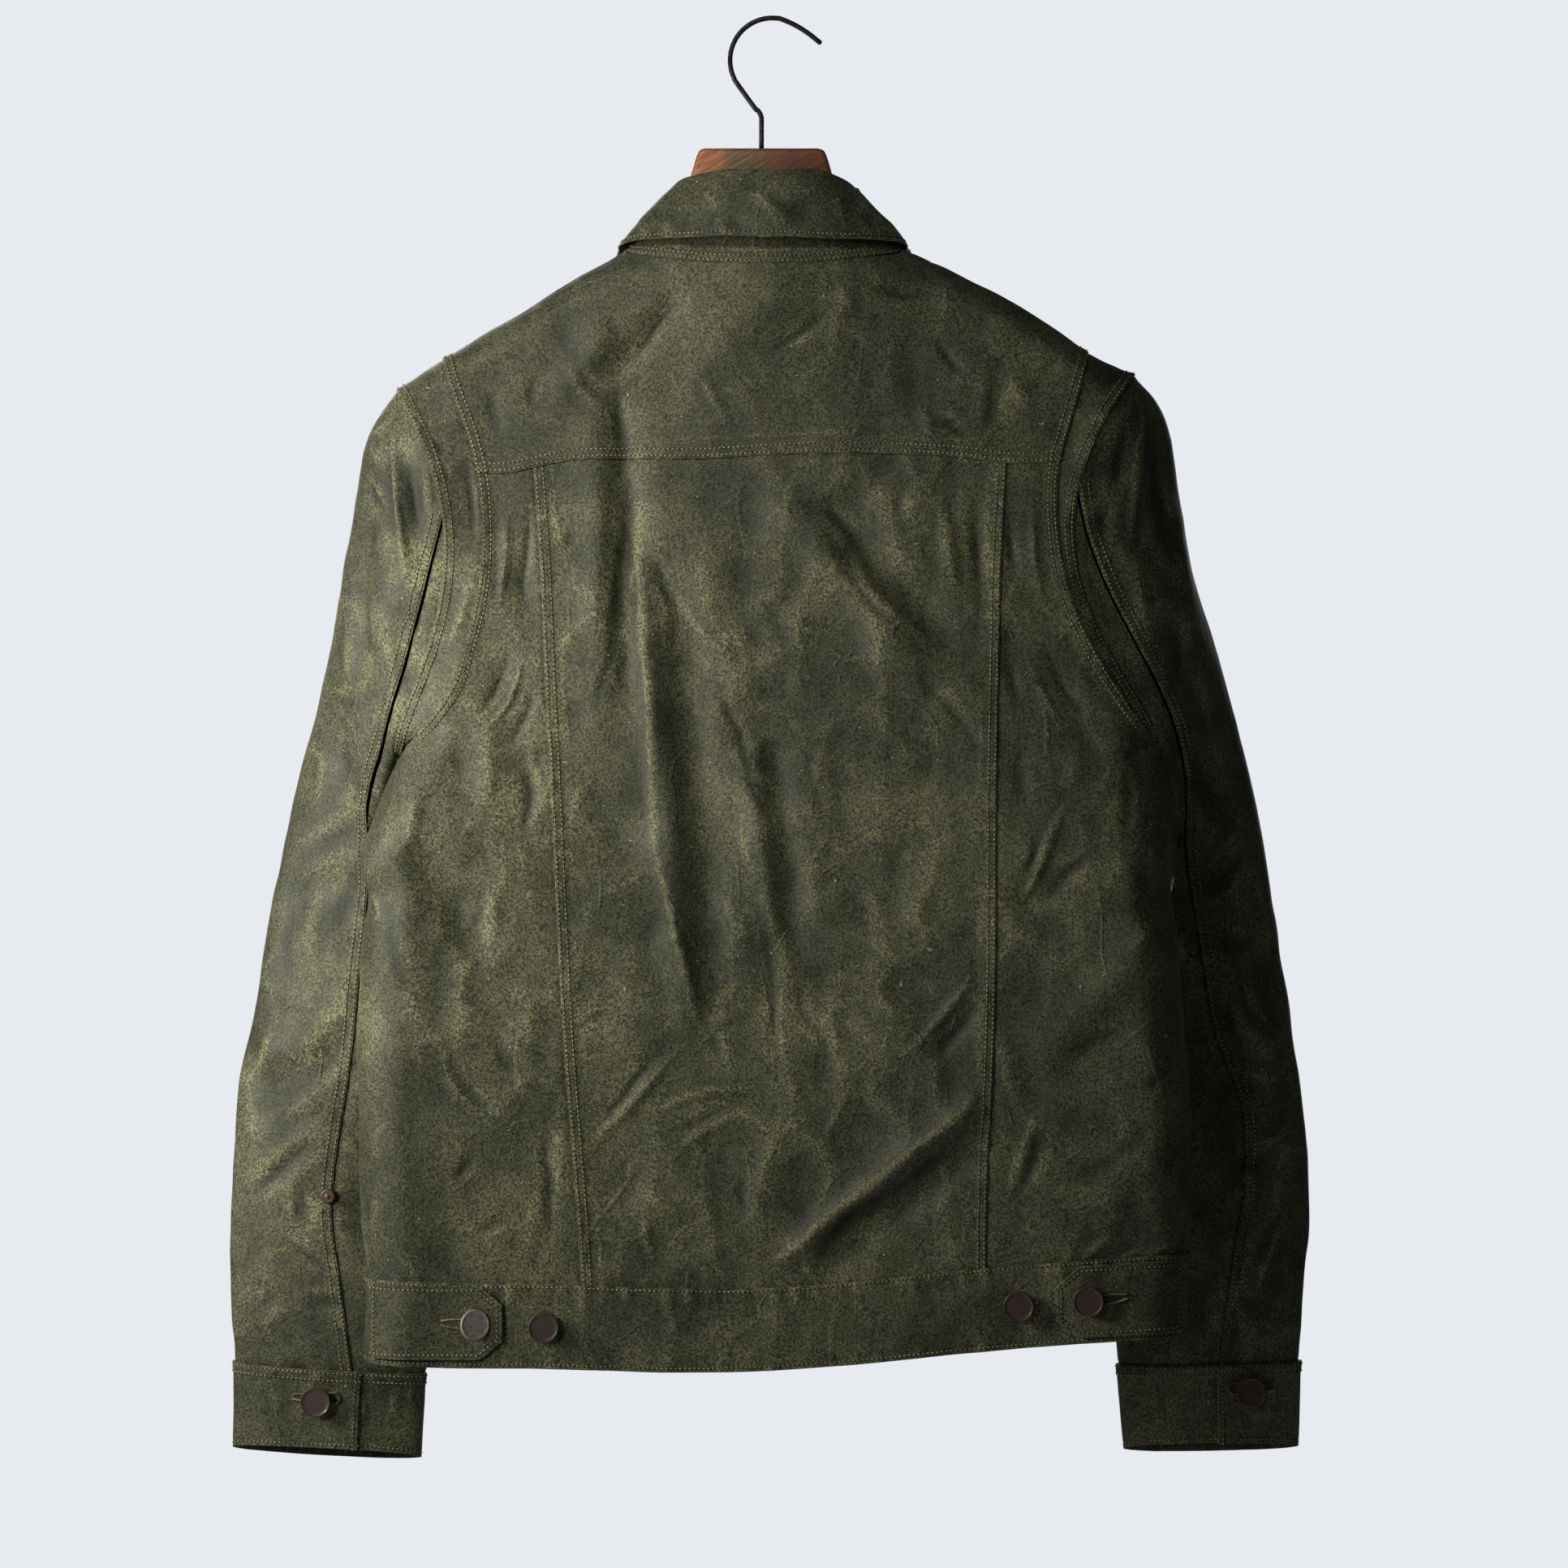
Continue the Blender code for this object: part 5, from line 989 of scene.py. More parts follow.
def grid_normals(grid, outward, closed=False):
    """Unit normals of a grid of points, on the side that outward looks to at its middle."""
    if closed:
        across = np.roll(grid, -1, axis=1) - np.roll(grid, 1, axis=1)
    else:
        across = np.gradient(grid, axis=1)
    normal = np.cross(across, np.gradient(grid, axis=0))
    size = np.linalg.norm(normal, axis=-1, keepdims=True)
    normal = normal / np.maximum(size, 1e-12)
    middle = normal[grid.shape[0] // 2, 0 if closed else grid.shape[1] // 2]
    return normal if middle @ np.array(outward, float) > 0 else -normal


def blurred(values, reach, closed=False):
    """A grid of values, averaged over a square window twice."""
    for axis in (0, 1, 0, 1):
        pad = [(0, 0), (0, 0)]
        pad[axis] = (reach, reach)
        wide = np.pad(values, pad, mode="wrap" if closed and axis == 1 else "edge")
        total = np.cumsum(wide, axis=axis)
        total = np.insert(total, 0, 0, axis=axis)
        count, window = values.shape[axis], 2 * reach + 1
        high = np.take(total, np.arange(count) + window, axis=axis)
        low = np.take(total, np.arange(count), axis=axis)
        values = (high - low) / window
    return values


def fine_shares(reach, spacing):
    """Numbers from 0 to 1 for a run of cloth, evenly spaced, closer together at its two ends."""
    count = max(4, int(round(reach / spacing)))
    even = np.arange(1, count) / count
    close = [d / reach for d in (0.0, 0.0006, 0.0013)]
    return np.unique(np.round(np.concatenate([close, even, [1 - d for d in close]]), 6))


# ---- cloth pieces ------------------------------------------------------------------------------
SEWN_ROWS = {}  # name of a stitching piece: the lines that its stitches follow


class Edge:
    """One edge of a cloth piece, and what the sewing does there, in millimetres.
    lap is 1 for an edge that lies over its neighbour, -1 for one that runs on under it, 0 for
    neither. rows are the distances of the stitch rows, ridge that of the faint line beside them,
    pucker the height that the thread draws the cloth up by, and span the stretch of the edge."""

    def __init__(self, side, lap=0, rows=(), ridge=0, pucker=0.30, span=None):
        self.side, self.lap, self.rows, self.ridge = side, lap, rows, ridge
        self.pucker, self.span = pucker, span

    def pick(self, grid):
        """The edge's points, and the points just inside it."""
        if self.side in ("first_row", "last_row"):
            row, inside = (0, 1) if self.side == "first_row" else (-1, -2)
            line, inner = grid[row], grid[inside]
        else:
            column, inside = (0, 1) if self.side == "first_column" else (-1, -2)
            line, inner = grid[:, column], grid[:, inside]
        if self.span is not None:
            line, inner = line[self.span], inner[self.span]
        return line, inner


def run_on_under(grid, edge, reach):
    """The grid with one more line of points past an edge, which lies under the neighbour."""
    line, inner = edge.pick(grid)
    away = line - inner
    away /= np.maximum(np.linalg.norm(away, axis=-1, keepdims=True), 1e-9)
    axis = 0 if edge.side.endswith("row") else 1
    added = np.expand_dims(line + away * reach, axis)
    parts = (added, grid) if edge.side.startswith("first") else (grid, added)
    return np.concatenate(parts, axis=axis)


def crushed(grid):
    """Height of the cloth's own unevenness: soft dents, and sharp ridges that come in patches."""
    settings = cloth_settings()
    soft = sum(share * lattice_noise(grid, size, seed) for size, seed, share in DENTS)
    cell, reach = RIDGE_PULL
    pulled = np.stack([lattice_noise(grid, cell, k) for k in (5, 6, 7)], -1) * reach
    pulled = (grid + pulled) * RIDGE_STRETCH
    cell, between, more = RIDGE_PATCHES
    patches = between + more * smoothstep(lattice_noise(grid, cell, 4), -0.5, 0.5)
    sharp = sum(share * facets(pulled, size, seed) for size, seed, share in SHARP)
    return settings.dents * soft + patches * settings.ridges * sharp


def bell(distance, middle, size):
    """A rounded mark of the given height and half width along a line."""
    height, width = size
    return height * np.exp(-(((distance - middle) / width) ** 2))


def sewn(grid, height, edges, seed, calm):
    """What sewing does along the edges: the height left, the laps added, and where it rubs."""
    rise = cloth_settings().rise
    rubbed, laps = np.zeros(height.shape), np.zeros(height.shape)
    for number, edge in enumerate(edges):
        line, _ = edge.pick(grid)
        distance, along, _ = nearest_on_line(grid, smooth_line(line, 1))
        near = np.exp(-((distance / (0.006 + 0.006 * edge.pucker)) ** 2))
        if edge.lap != 0 or calm > 0:
            height *= 1 - bell(distance, 0.0, FLATTENED)
        if edge.lap > 0:
            laps += rise * (1 - smoothstep(distance, *LAP_SLOPE))
            laps -= LAP_GROOVE[0] * (1 - smoothstep(distance, 0.0, LAP_GROOVE[1]))
        if edge.lap < 0:
            laps -= 0.5 * rise * (1 - smoothstep(distance, *UNDER_SLOPE))
        for row in edge.rows:
            laps -= bell(distance, row / 1000, ROW_GROOVE)
        if edge.ridge:
            beside = edge.ridge / 1000
            height += bell(distance, beside, SEAM_RIDGE)
            rubbed += bell(distance, beside, (0.30, 0.0008))
            folded = 1 - smoothstep(distance, beside - 0.001, beside)
            height, rubbed = height * (1 - 0.35 * folded), rubbed + 0.16 * folded
        if edge.pucker:
            wave = line_noise(along, PUCKER_WAVE, seed + 10 + number)
            height += edge.pucker / 1000 * wave * near
            rubbed += 0.8 * edge.pucker * np.clip(wave, 0, 1) * near
        if edge.lap >= 0:
            uneven = 0.75 + 0.5 * line_noise(along, 0.016, seed + 40 + number)
            rubbed += bell(distance, 0.0, (RUBBED_EDGE[0] * uneven, RUBBED_EDGE[1]))
    return height, laps, rubbed


def pressed(grid, outward, edges=(), closed=False, back=BACK_CREASES, front=None, rumple=1.0,
            seed=1, calm=0.0):
    """The grid with its creases, laps and puckers, where it is worn and where its hollows are
    painted in shade, and its normals.
    """
    settings = cloth_settings()
    for edge in edges:
        if edge.lap < 0 and edge.span is None:
            grid = run_on_under(grid, edge, settings.lap)
    normals = grid_normals(grid, outward, closed)
    x, z = grid[..., 0], grid[..., 2]
    to_back, to_front = (smoothstep(face * normals[..., 1], 0.0, 0.4) for face in (BACK, FRONT))
    height = to_back * crease_height(x, z, back)
    if front is None:
        height += 0.8 * to_front * crease_height(-x - 0.012, z + 0.021, back)
    else:
        height += 0.8 * to_front * crease_height(x, z + 0.033, front)
    height = height * settings.creases + rumple * settings.rumple * crushed(grid)
    height, laps, rubbed = sewn(grid, height, edges, seed, calm)
    keen = (height - blurred(height, 1, closed)) / KEEN_RISE
    hollow = (height - blurred(height, 4, closed)) / HOLLOW_RISE
    # Rubbed ridges and edges above nought; crease bottoms and hollows below, painted in shade.
    wear = np.clip(keen, -0.5, 1.0) * 0.85 + 0.6 * np.clip(hollow, -1.0, 0.15)
    wear += rubbed + scuff_lines(x, z) * to_back
    grid = grid + normals * (height + laps)[..., None]
    return grid, wear, grid_normals(grid, outward, closed)


def grid_quads(rows, columns, closed):
    """The corners of a grid's faces, row after row."""
    r, c = np.meshgrid(np.arange(rows - 1), np.arange(columns if closed else columns - 1),
                       indexing="ij")
    right = (c + 1) % columns
    quads = (r * columns + c, r * columns + right, (r + 1) * columns + right,
             (r + 1) * columns + c)
    return np.stack(quads, -1).reshape(-1, 4)


def grid_mesh(name, grid, wear, outward, closed=False):
    """A grid as a mesh whose faces look outward, with the wear of each point: how worn
    it is, and how deep a painted shade its hollow gets.
    """
    rows, columns = grid.shape[:2]
    quads = grid_quads(rows, columns, closed)
    wrap = len(quads) // (rows - 1)
    middle = quads[(rows - 1) // 2 * wrap + (0 if closed else wrap // 2)]
    corners = grid.reshape(-1, 3)[middle]
    if np.cross(corners[2] - corners[0], corners[3] - corners[1]) @ np.array(outward, float) < 0:
        quads = quads[:, ::-1]
    mesh = bpy.data.meshes.new(name)
    mesh.vertices.add(rows * columns)
    mesh.vertices.foreach_set("co", grid.reshape(-1).astype(np.float32))
    mesh.loops.add(quads.size)
    mesh.loops.foreach_set("vertex_index", quads.reshape(-1).astype(np.int32))
    mesh.polygons.add(len(quads))
    mesh.polygons.foreach_set("loop_start", np.arange(0, quads.size, 4, dtype=np.int32))
    mesh.polygons.foreach_set("loop_total", np.full(len(quads), 4, np.int32))
    mesh.update(calc_edges=True)
    mesh.validate()
    mesh.shade_smooth()
    stored = mesh.attributes.new("wear", "FLOAT", "POINT")
    stored.data.foreach_set("value", wear.reshape(-1).astype(np.float32))
    return mesh


def plain_mesh(name, points, faces, joins=()):
    mesh = bpy.data.meshes.new(name)
    mesh.from_pydata(points, joins, faces)
    return mesh


def add_object(name, data):
    made = bpy.data.objects.new(name, data)
    bpy.context.scene.collection.objects.link(made)
    return made


def add_piece(name, mesh, material):
    piece = add_object(name, mesh)
    mesh.materials.clear()
    mesh.materials.append(material)
    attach(piece, "root")
    return piece


def edge_rows(grid, normals, edge, closed):
    """The lines on a piece that its edge's stitch rows follow, just above the cloth."""
    line, inner = edge.pick(grid)
    loop = closed and edge.side.endswith("row") and edge.span is None
    if loop:
        line, inner = np.vstack([line, line[:1]]), np.vstack([inner, inner[:1]])
    steps = np.concatenate([[0], np.cumsum(np.linalg.norm(np.diff(line, axis=0), axis=1))])
    count = max(3, int(steps[-1] / ROW_STEP))
    even = np.linspace(0, steps[-1], count)
    line = np.stack([np.interp(even, steps, line[:, i]) for i in range(3)], -1)
    inner = np.stack([np.interp(even, steps, inner[:, i]) for i in range(3)], -1)
    faces = grid_quads(*grid.shape[:2], closed).tolist()
    tree = BVHTree.FromPolygons(grid.reshape(-1, 3).tolist(), faces)
    tangent = np.gradient(line, axis=0)
    tangent /= np.maximum(np.linalg.norm(tangent, axis=1, keepdims=True), 1e-9)
    inward = inner - line
    inward -= tangent * np.sum(inward * tangent, axis=1, keepdims=True)
    inward /= np.maximum(np.linalg.norm(inward, axis=1, keepdims=True), 1e-9)
    flat_normals = normals.reshape(-1, 3)
    rows = []
    for distance in edge.rows:
        points = []
        for place in line + inward * distance / 1000:
            spot, normal, face, _ = tree.find_nearest(Vector(place))
            out = np.array(normal)
            if out @ flat_normals[faces[face][0]] < 0:
                out = -out
            points.append(np.array(spot) + out * ROW_LIFT)
        rows.append(np.array(points))
    return rows


def cloth_piece(name, node, grid, outward, edges=(), group="body", held="hung", rests_on=None,
                closed=False, **options):
    """One cloth piece in place of its plain solid."""
    grid, wear, normals = pressed(grid, outward, edges, closed, **options)
    mesh = grid_mesh(name, grid, wear, outward, closed)
    piece = add_piece(name, mesh, finish("waxed_cloth"))
    solid = piece.modifiers.new("wall", "SOLIDIFY")
    solid.thickness = cloth_settings().wall
    solid.offset = -1
    solid.use_even_offset = False
    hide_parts(node)
    for edge in edges:
        if edge.rows:
            SEWN_ROWS.setdefault(group, []).extend(edge_rows(grid, normals, edge, closed))


# ---- body --------------------------------------------------------------------------------------
def panel_grid(face, edges, top, bottom, spacing):
    """A panel's grid between two upright edges, functions of z, and two crosswise ones, of x."""
    reach = abs(top(0.1) - bottom(0.1))
    middle = 0.5 * (top(0.1) + bottom(0.1))
    across = abs(edges[0](middle) - edges[1](middle))
    down, across = np.meshgrid(fine_shares(reach, spacing), fine_shares(across, spacing),
                               indexing="ij")
    p, z = 0.0 * across, 0.0 * down
    for _ in range(8):
        z = lerp(top(p), bottom(p), down)
        p = lerp(edges[0](z), edges[1](z), across)
    return torso(face, p, z)


def outer_edge(face, side):
    """Outer edge of a side panel as p: the armhole, and below the underarm the side seam."""

    def at(z):
        seam = side * (half_girth(face, side, z) - SEAM_GAP / 2)
        armhole = cloth_p(face, side, armhole_x(side, z), z) - side * SEAM_GAP
        return np.where(z > PIT_Z, armhole, seam)

    return at


def back_seam_edge(side, shift):
    line = back_seam_left if side == LEFT else back_seam_right
    return lambda z: line(z) + shift


class JACKET_OT_back(bpy.types.Operator):
    """The centre back, and a side panel at its left and its right"""
    bl_idname = "jacket.back"
    bl_label = "Back panels"

    def execute(self, context):
        gap, fine = SEAM_GAP / 2, cloth_settings().fine
        bottom = lambda x: waist_seam_z(x) + gap
        under = dict(lap=-1, pucker=0.25)
        grid = panel_grid(BACK, (back_seam_edge(LEFT, gap), back_seam_edge(RIGHT, -gap)),
                          yoke_seam_z, bottom, fine)
        edges = (Edge("first_row", **under), Edge("last_row", **under),
                 Edge("first_column", 1, (1.5, 5.5), 11), Edge("last_column", 1, (1.2, 4.9), 11))
        cloth_piece("back_centre_cloth", "back_centre", grid, (0, -1, 0), edges, seed=3,
                    rests_on=["yoke_cloth"])
        for side, word in ((LEFT, "left"), (RIGHT, "right")):
            grid = panel_grid(BACK, (back_seam_edge(side, side * gap), outer_edge(BACK, side)),
                              yoke_seam_z, bottom, fine)
            above = np.flatnonzero(grid[:, -1, 2] > PIT_Z + 0.004)
            below = np.flatnonzero(grid[:, -1, 2] <= PIT_Z)
            edges = (Edge("first_row", **under), Edge("last_row", **under),
                     Edge("first_column", -1, pucker=0.3),
                     Edge("last_column", 1, (1.5, 5.5), 0, 0.25, slice(above[0], above[-1])),
                     Edge("last_column", 0, (), 0, 0.2, slice(below[0], below[-1])))
            cloth_piece(f"back_side_{word}_cloth", f"back_side_{word}", grid, (0, -1, 0), edges,
                        seed=7 + side, rests_on=["yoke_cloth"])
        return {"FINISHED"}


def front_seam_ends(side):
    """x and unrolled length of the yoke's front seam, at the neck and at the armhole."""
    neck = neck_point(side * YOKE_FRONT_DEGREES)
    end_x, end_z = FRONT_SEAM_END[side]
    return (neck[0], end_x), (unroll(FRONT, neck[0], neck[2]), unroll(FRONT, end_x, end_z))


def front_top_z(side, x):
    """Top edge of a front: the neck seam from the centre out, then the yoke's front seam."""
    neck = neck_point(side * np.linspace(180, YOKE_FRONT_DEGREES, 40))
    reach = (x - CENTRE_X) * side
    on_neck = np.interp(reach, (neck[:, 0] - CENTRE_X) * side, neck[:, 2])
    (x0, x1), (w0, w1) = front_seam_ends(side)
    on_seam = shoulder_z(x) - drop_below(lerp(w0, w1, np.clip((x - x0) / (x1 - x0), 0, 1)))
    return np.where(reach < (x0 - CENTRE_X) * side, on_neck, on_seam)


class JACKET_OT_fronts(bpy.types.Operator):
    """The two fronts and the placket that buttons over them"""
    bl_idname = "jacket.fronts"
    bl_label = "Fronts"

    def execute(self, context):
        coarse = cloth_settings().coarse * 1.2
        bottom = lambda x: waist_seam_z(x) + SEAM_GAP / 2
        for side, word in ((LEFT, "left"), (RIGHT, "right")):
            centre = lambda z, side=side: CENTRE_X + side * SEAM_GAP / 2 + 0 * z
            top = lambda x, side=side: front_top_z(side, x) - YOKE_SEAM_GAP / 2
            grid = panel_grid(FRONT, (centre, outer_edge(FRONT, side)), top, bottom, coarse)
            above = np.flatnonzero(grid[:, -1, 2] > PIT_Z + 0.004)
            edges = (Edge("last_row", -1, pucker=0.25), Edge("first_row", 0),
                     Edge("last_column", 1, (1.5, 5.5), 0, 0.2, slice(above[0], above[-1])))
            cloth_piece(f"front_{word}_cloth", f"front_{word}", grid, (0, 1, 0), edges,
                        seed=17 + side, group="front", rests_on=["yoke_cloth"])
        reach = abs(float(neck_z(180)) + 0.75)
        down, across = np.meshgrid(fine_shares(reach, coarse),
                                   fine_shares(2 * PLACKET_HALF_WIDTH, coarse * 0.6), indexing="ij")
        x = CENTRE_X + lerp(-PLACKET_HALF_WIDTH, PLACKET_HALF_WIDTH, across)
        z = lerp(neck_z(180) - 0.004, waist_seam_z(x) + SEAM_GAP, down)
        grid = torso(FRONT, x, z) + np.array([0, CLOTH + LAYER, 0])
        edges = (Edge("first_column", 0, (2.5,), 0, 0.1), Edge("last_column", 0, (2.5,), 0, 0.1),
                 Edge("first_row", 0, (2.5,), 0, 0.05), Edge("last_row", -1))
        cloth_piece("front_placket_cloth", "front_placket", grid, (0, 1, 0), edges, seed=23,
                    group="front", rumple=0.6, calm=1.0, rests_on=["front_left_cloth"])
        return {"FINISHED"}


def yoke_outer(side, share):
    """Outer edge of the yoke beside one armhole: share 0 at the yoke seam, 0.5 at the shoulder,
    1 at the front seam."""
    tip_z = shoulder_z(armhole_x(side, 0.0))
    seam_z = yoke_seam_z(armhole_x(side, -0.270)) + YOKE_SEAM_GAP
    low = np.where(share <= 0.5, seam_z, FRONT_SEAM_END[side][1] + YOKE_SEAM_GAP)
    z = lerp(low, tip_z, np.sin(0.5 * math.pi * (1 - np.abs(1 - 2 * share))))
    x = armhole_x(side, z) - side * SEAM_GAP
    face = np.where(share <= 0.5, BACK, FRONT)
    return x, unroll(face, x, np.minimum(z, shoulder_z(x)))


def yoke_grid(spacing):
    """The yoke's grid from the neck seam out, and the columns at which its outer edge turns."""
    corner = YOKE_CORNER_DEGREES
    across, beside = int(YOKE_RUNS[0] / spacing), int(YOKE_RUNS[1] / spacing)
    degrees = np.linspace(corner, YOKE_FRONT_DEGREES, beside + 1)
    side_shares = np.linspace(0, 1, beside + 1)
    ends = {side: yoke_outer(side, side_shares) for side in (LEFT, RIGHT)}
    along = np.linspace(0, 1, across + 1)[1:-1]
    back_x = lerp(ends[LEFT][0][0], ends[RIGHT][0][0], along)
    back_w = unroll(BACK, back_x, yoke_seam_z(back_x) + YOKE_SEAM_GAP)
    outer_x = np.concatenate([ends[LEFT][0][::-1], back_x, ends[RIGHT][0]])
    outer_w = np.concatenate([ends[LEFT][1][::-1], back_w, ends[RIGHT][1]])
    degrees = np.concatenate([-degrees[::-1], lerp(-corner, corner, along), degrees])
    neck = neck_point(degrees)
    face = np.where(np.abs(degrees) <= 90, BACK, FRONT)
    inner_w = unroll(face, neck[:, 0], neck[:, 2] - SEAM_GAP)
    down = fine_shares(YOKE_RUNS[2], spacing)[:, None]
    grid = roll(lerp(neck[:, 0], outer_x, down), lerp(inner_w, outer_w, down))
    return grid, beside, beside + across


class JACKET_OT_yoke(bpy.types.Operator):
    """The yoke, from the neck over the shoulders to the back and front seams"""
    bl_idname = "jacket.yoke"
    bl_label = "Yoke"

    def execute(self, context):
        grid, left_corner, right_corner = yoke_grid(cloth_settings().fine)
        edges = (Edge("last_row", 1, (1.8, 6.1), 11.6, 0.25, slice(left_corner, right_corner + 1)),
                 Edge("last_row", 1, (1.5, 5.5), 0, 0.2, slice(0, left_corner + 1)),
                 Edge("last_row", 1, (1.5, 5.5), 0, 0.2, slice(right_corner, None)),
                 Edge("first_row", -1, pucker=0.2),
                 Edge("first_column", 0, (1.5, 5.5)), Edge("last_column", 0, (1.5, 5.5)))
        cloth_piece("yoke_cloth", "yoke", grid, (0, -1, 0.2), edges, seed=31,
                    held="draped", rumple=0.6, rests_on=["hanger_bar_wood"])
        return {"FINISHED"}


def waist_ring(turn, z):
    """A point round the waistband: turn 0 at the centre front, 0.25 left side, 0.5 centre back."""
    quarter = np.where(turn < 0.5, turn, 1 - turn)
    points = []
    for face in (BACK, FRONT):
        share = quarter / 0.25 if face == FRONT else (0.5 - quarter) / 0.25
        girth = np.where(turn < 0.5, -half_girth(face, LEFT, z), half_girth(face, RIGHT, z))
        points.append(torso(face, lerp(CENTRE_X, girth, np.clip(share, 0, 1)), z))
    return np.where((np.abs(turn - 0.5) <= 0.25)[..., None], points[0], points[1])


def waist_outer(x, z, lift):
    """A point on the waistband's back, moved out by lift along the cloth's outward direction."""
    side = LEFT if x < 0 else RIGHT
    step = 0.0006
    p = cloth_p(BACK, side, x, z)
    here = torso(BACK, p, z)
    across = torso(BACK, p + step, z) - torso(BACK, p - step, z)
    up = torso(BACK, p, z + step) - torso(BACK, p, z - step)
    normal = np.cross(across, up)
    normal /= np.linalg.norm(normal)
    if normal[1] > 0:
        normal = -normal
    return here + normal * lift, normal


def tab_grid(size):
    """A tab's grid from the side seam to its end, where two chamfers meet the short end."""
    reach = abs(size["end"] - size["side"])
    across, down = fine_shares(reach, TAB_SPACING), fine_shares(TAB_RUN, TAB_SPACING)
    grid = np.zeros((len(down), len(across), 3))
    for c, t in enumerate(across):
        x = lerp(size["side"], size["end"], t)
        top = lerp(size["side_top"], size["end_top"], t)
        bottom = lerp(size["side_bottom"], size["end_bottom"], t)
        cut = max(0.0, 1 - (1 - t) * reach / size["chamfer"]) * size["chamfer"] * 0.85
        for r, share in enumerate(down):
            lifted = TAB_LIFT + 0.0004 * math.sin(math.pi * share)
            grid[r, c] = waist_outer(x, lerp(top - cut, bottom + cut, share), lifted)[0]
    return grid


class JACKET_OT_waist(bpy.types.Operator):
    """The waistband, and the tab that buttons back on it at each side"""
    bl_idname = "jacket.waist"
    bl_label = "Waistband and tabs"

    def execute(self, context):
        fine = cloth_settings().fine
        turns = fine_shares(WAIST_RUNS[0], fine)
        turns = lerp(0.0006, 0.9994, turns)
        turns = turns - 0.012 * np.sin(4 * math.pi * turns)
        down, turns = np.meshgrid(fine_shares(WAIST_RUNS[1], fine), turns, indexing="ij")
        z = -0.77 + 0 * turns
        for _ in range(6):
            x = waist_ring(turns, z)[..., 0]
            z = lerp(waist_seam_z(x) - SEAM_GAP / 2, hem_z(x), down)
        edges = (Edge("first_row", 1, (1.6,), 0, 0.95), Edge("last_row", 0, (2.4,), 0, 0.4),
                 Edge("first_column", 0, (2.4,), 0, 0), Edge("last_column", 0, (2.4,), 0, 0))
        cloth_piece("waistband_cloth", "waistband", waist_ring(turns, z), (0, -1, 0), edges,
                    seed=41, group="waist", rumple=0.8, rests_on=["back_centre_cloth"])
        for word, size in TABS.items():
            edges = (Edge("first_row", 0, (2.9,), 0, 0.12), Edge("last_row", 0, (2.9,), 0, 0.12),
                     Edge("last_column", 0, (2.9,), 0, 0.05),
                     Edge("first_column", 0, (2.9,), 0, 0.05))
            cloth_piece(f"waist_tab_{word}_cloth", f"waist_tab_{word}", tab_grid(size), (0, -1, 0),
                        edges, seed=43, group="waist", rumple=0.5, calm=1.0, held="laid",
                        rests_on=["waistband_cloth"])
        return {"FINISHED"}


# ---- collar ------------------------------------------------------------------------------------
def fold_ring(degrees, inset):
    """The line that the collar folds over, or one that lies inset from it."""
    angle = np.radians(degrees)
    depth = np.where(np.abs(degrees) <= 90, FOLD_DEPTH[0], FOLD_DEPTH[1]) - inset
    x = CENTRE_X + (FOLD_HALF_WIDTH - inset) * np.sin(angle)
    z = collar_fold_z(np.abs(degrees)) - inset
    return np.stack([x, -0.0020 - depth * np.cos(angle), z], -1)


def fall_edge(degrees):
    """The fall's lower edge, which stands a little off the body."""
    around, step = np.abs(degrees), 0.0005
    x = CENTRE_X + np.sign(degrees) * collar_edge_x(around)
    w = collar_edge_w(around)
    across = roll(x + step, w) - roll(x - step, w)
    down = roll(x, w + step) - roll(x, w - step)
    normal = np.cross(across, down)
    outward = np.stack([0 * w, w / SHOULDER_ARC, np.maximum(1 - np.abs(w) / SHOULDER_ARC, 0)], -1)
    normal *= np.sign(np.sum(normal * outward, axis=-1, keepdims=True))
    normal /= np.linalg.norm(normal, axis=-1, keepdims=True)
    return roll(x, w) + normal * collar_edge_off(around)[..., None]


class JACKET_OT_collar(bpy.types.Operator):
    """The collar's stand, and the fall that folds out over it"""
    bl_idname = "jacket.collar"
    bl_label = "Collar"

    def execute(self, context):
        fine = cloth_settings().fine
        round_neck, up, down = (fine_shares(run, fine) for run in COLLAR_RUNS)
        degrees = lerp(-FRONT_NECK_DEGREES, FRONT_NECK_DEGREES, round_neck)
        base = neck_point(degrees) + np.array([0, 0, SEAM_GAP])
        inset = STAND_INSET[0] + STAND_INSET[1] * smoothstep(np.abs(degrees), 70, 110)
        inner = fold_ring(degrees, inset)
        stand = lerp(base, inner, up[:, None, None])
        angle = np.radians(degrees)
        away = np.stack([np.sin(angle), -np.cos(angle), 0 * angle], -1)
        outer, upward = fold_ring(degrees, 0.0), np.array([0, 0, 1.0])
        middle, half = (inner + outer) / 2, (outer - inner) / 2
        roll_over = [middle - half * math.cos(t) + upward * inset[:, None] * 0.55 * math.sin(t)
                     for t in np.linspace(0.12, 0.94, 5) * math.pi]
        down = down[:, None, None]
        fall = lerp(outer, fall_edge(degrees), down)
        fall = fall + FALL_BOW * np.sin(math.pi * down) * (away + 0.4 * upward)
        fall = np.concatenate([np.array(roll_over), fall])
        edges = (Edge("first_row", 1, (1.0, 4.0), 7.5, 0.15), Edge("first_column"),
                 Edge("last_column"))
        cloth_piece("collar_stand_cloth", "collar_stand", stand, (0, -1, 0), edges, seed=51,
                    group="collar", rumple=0.42, rests_on=["yoke_cloth"])
        edges = (Edge("last_row", 0, (2.7,), 0, 0.2), Edge("first_column", 0, (2.7,), 0, 0.1),
                 Edge("last_column", 0, (2.7,), 0, 0.1))
        cloth_piece("collar_fall_cloth", "collar_fall", fall, (0, -1, 0), edges, seed=53,
                    group="collar", back=COLLAR_CREASES, held="folded",
                    rests_on=["collar_stand_cloth"])
        return {"FINISHED"}


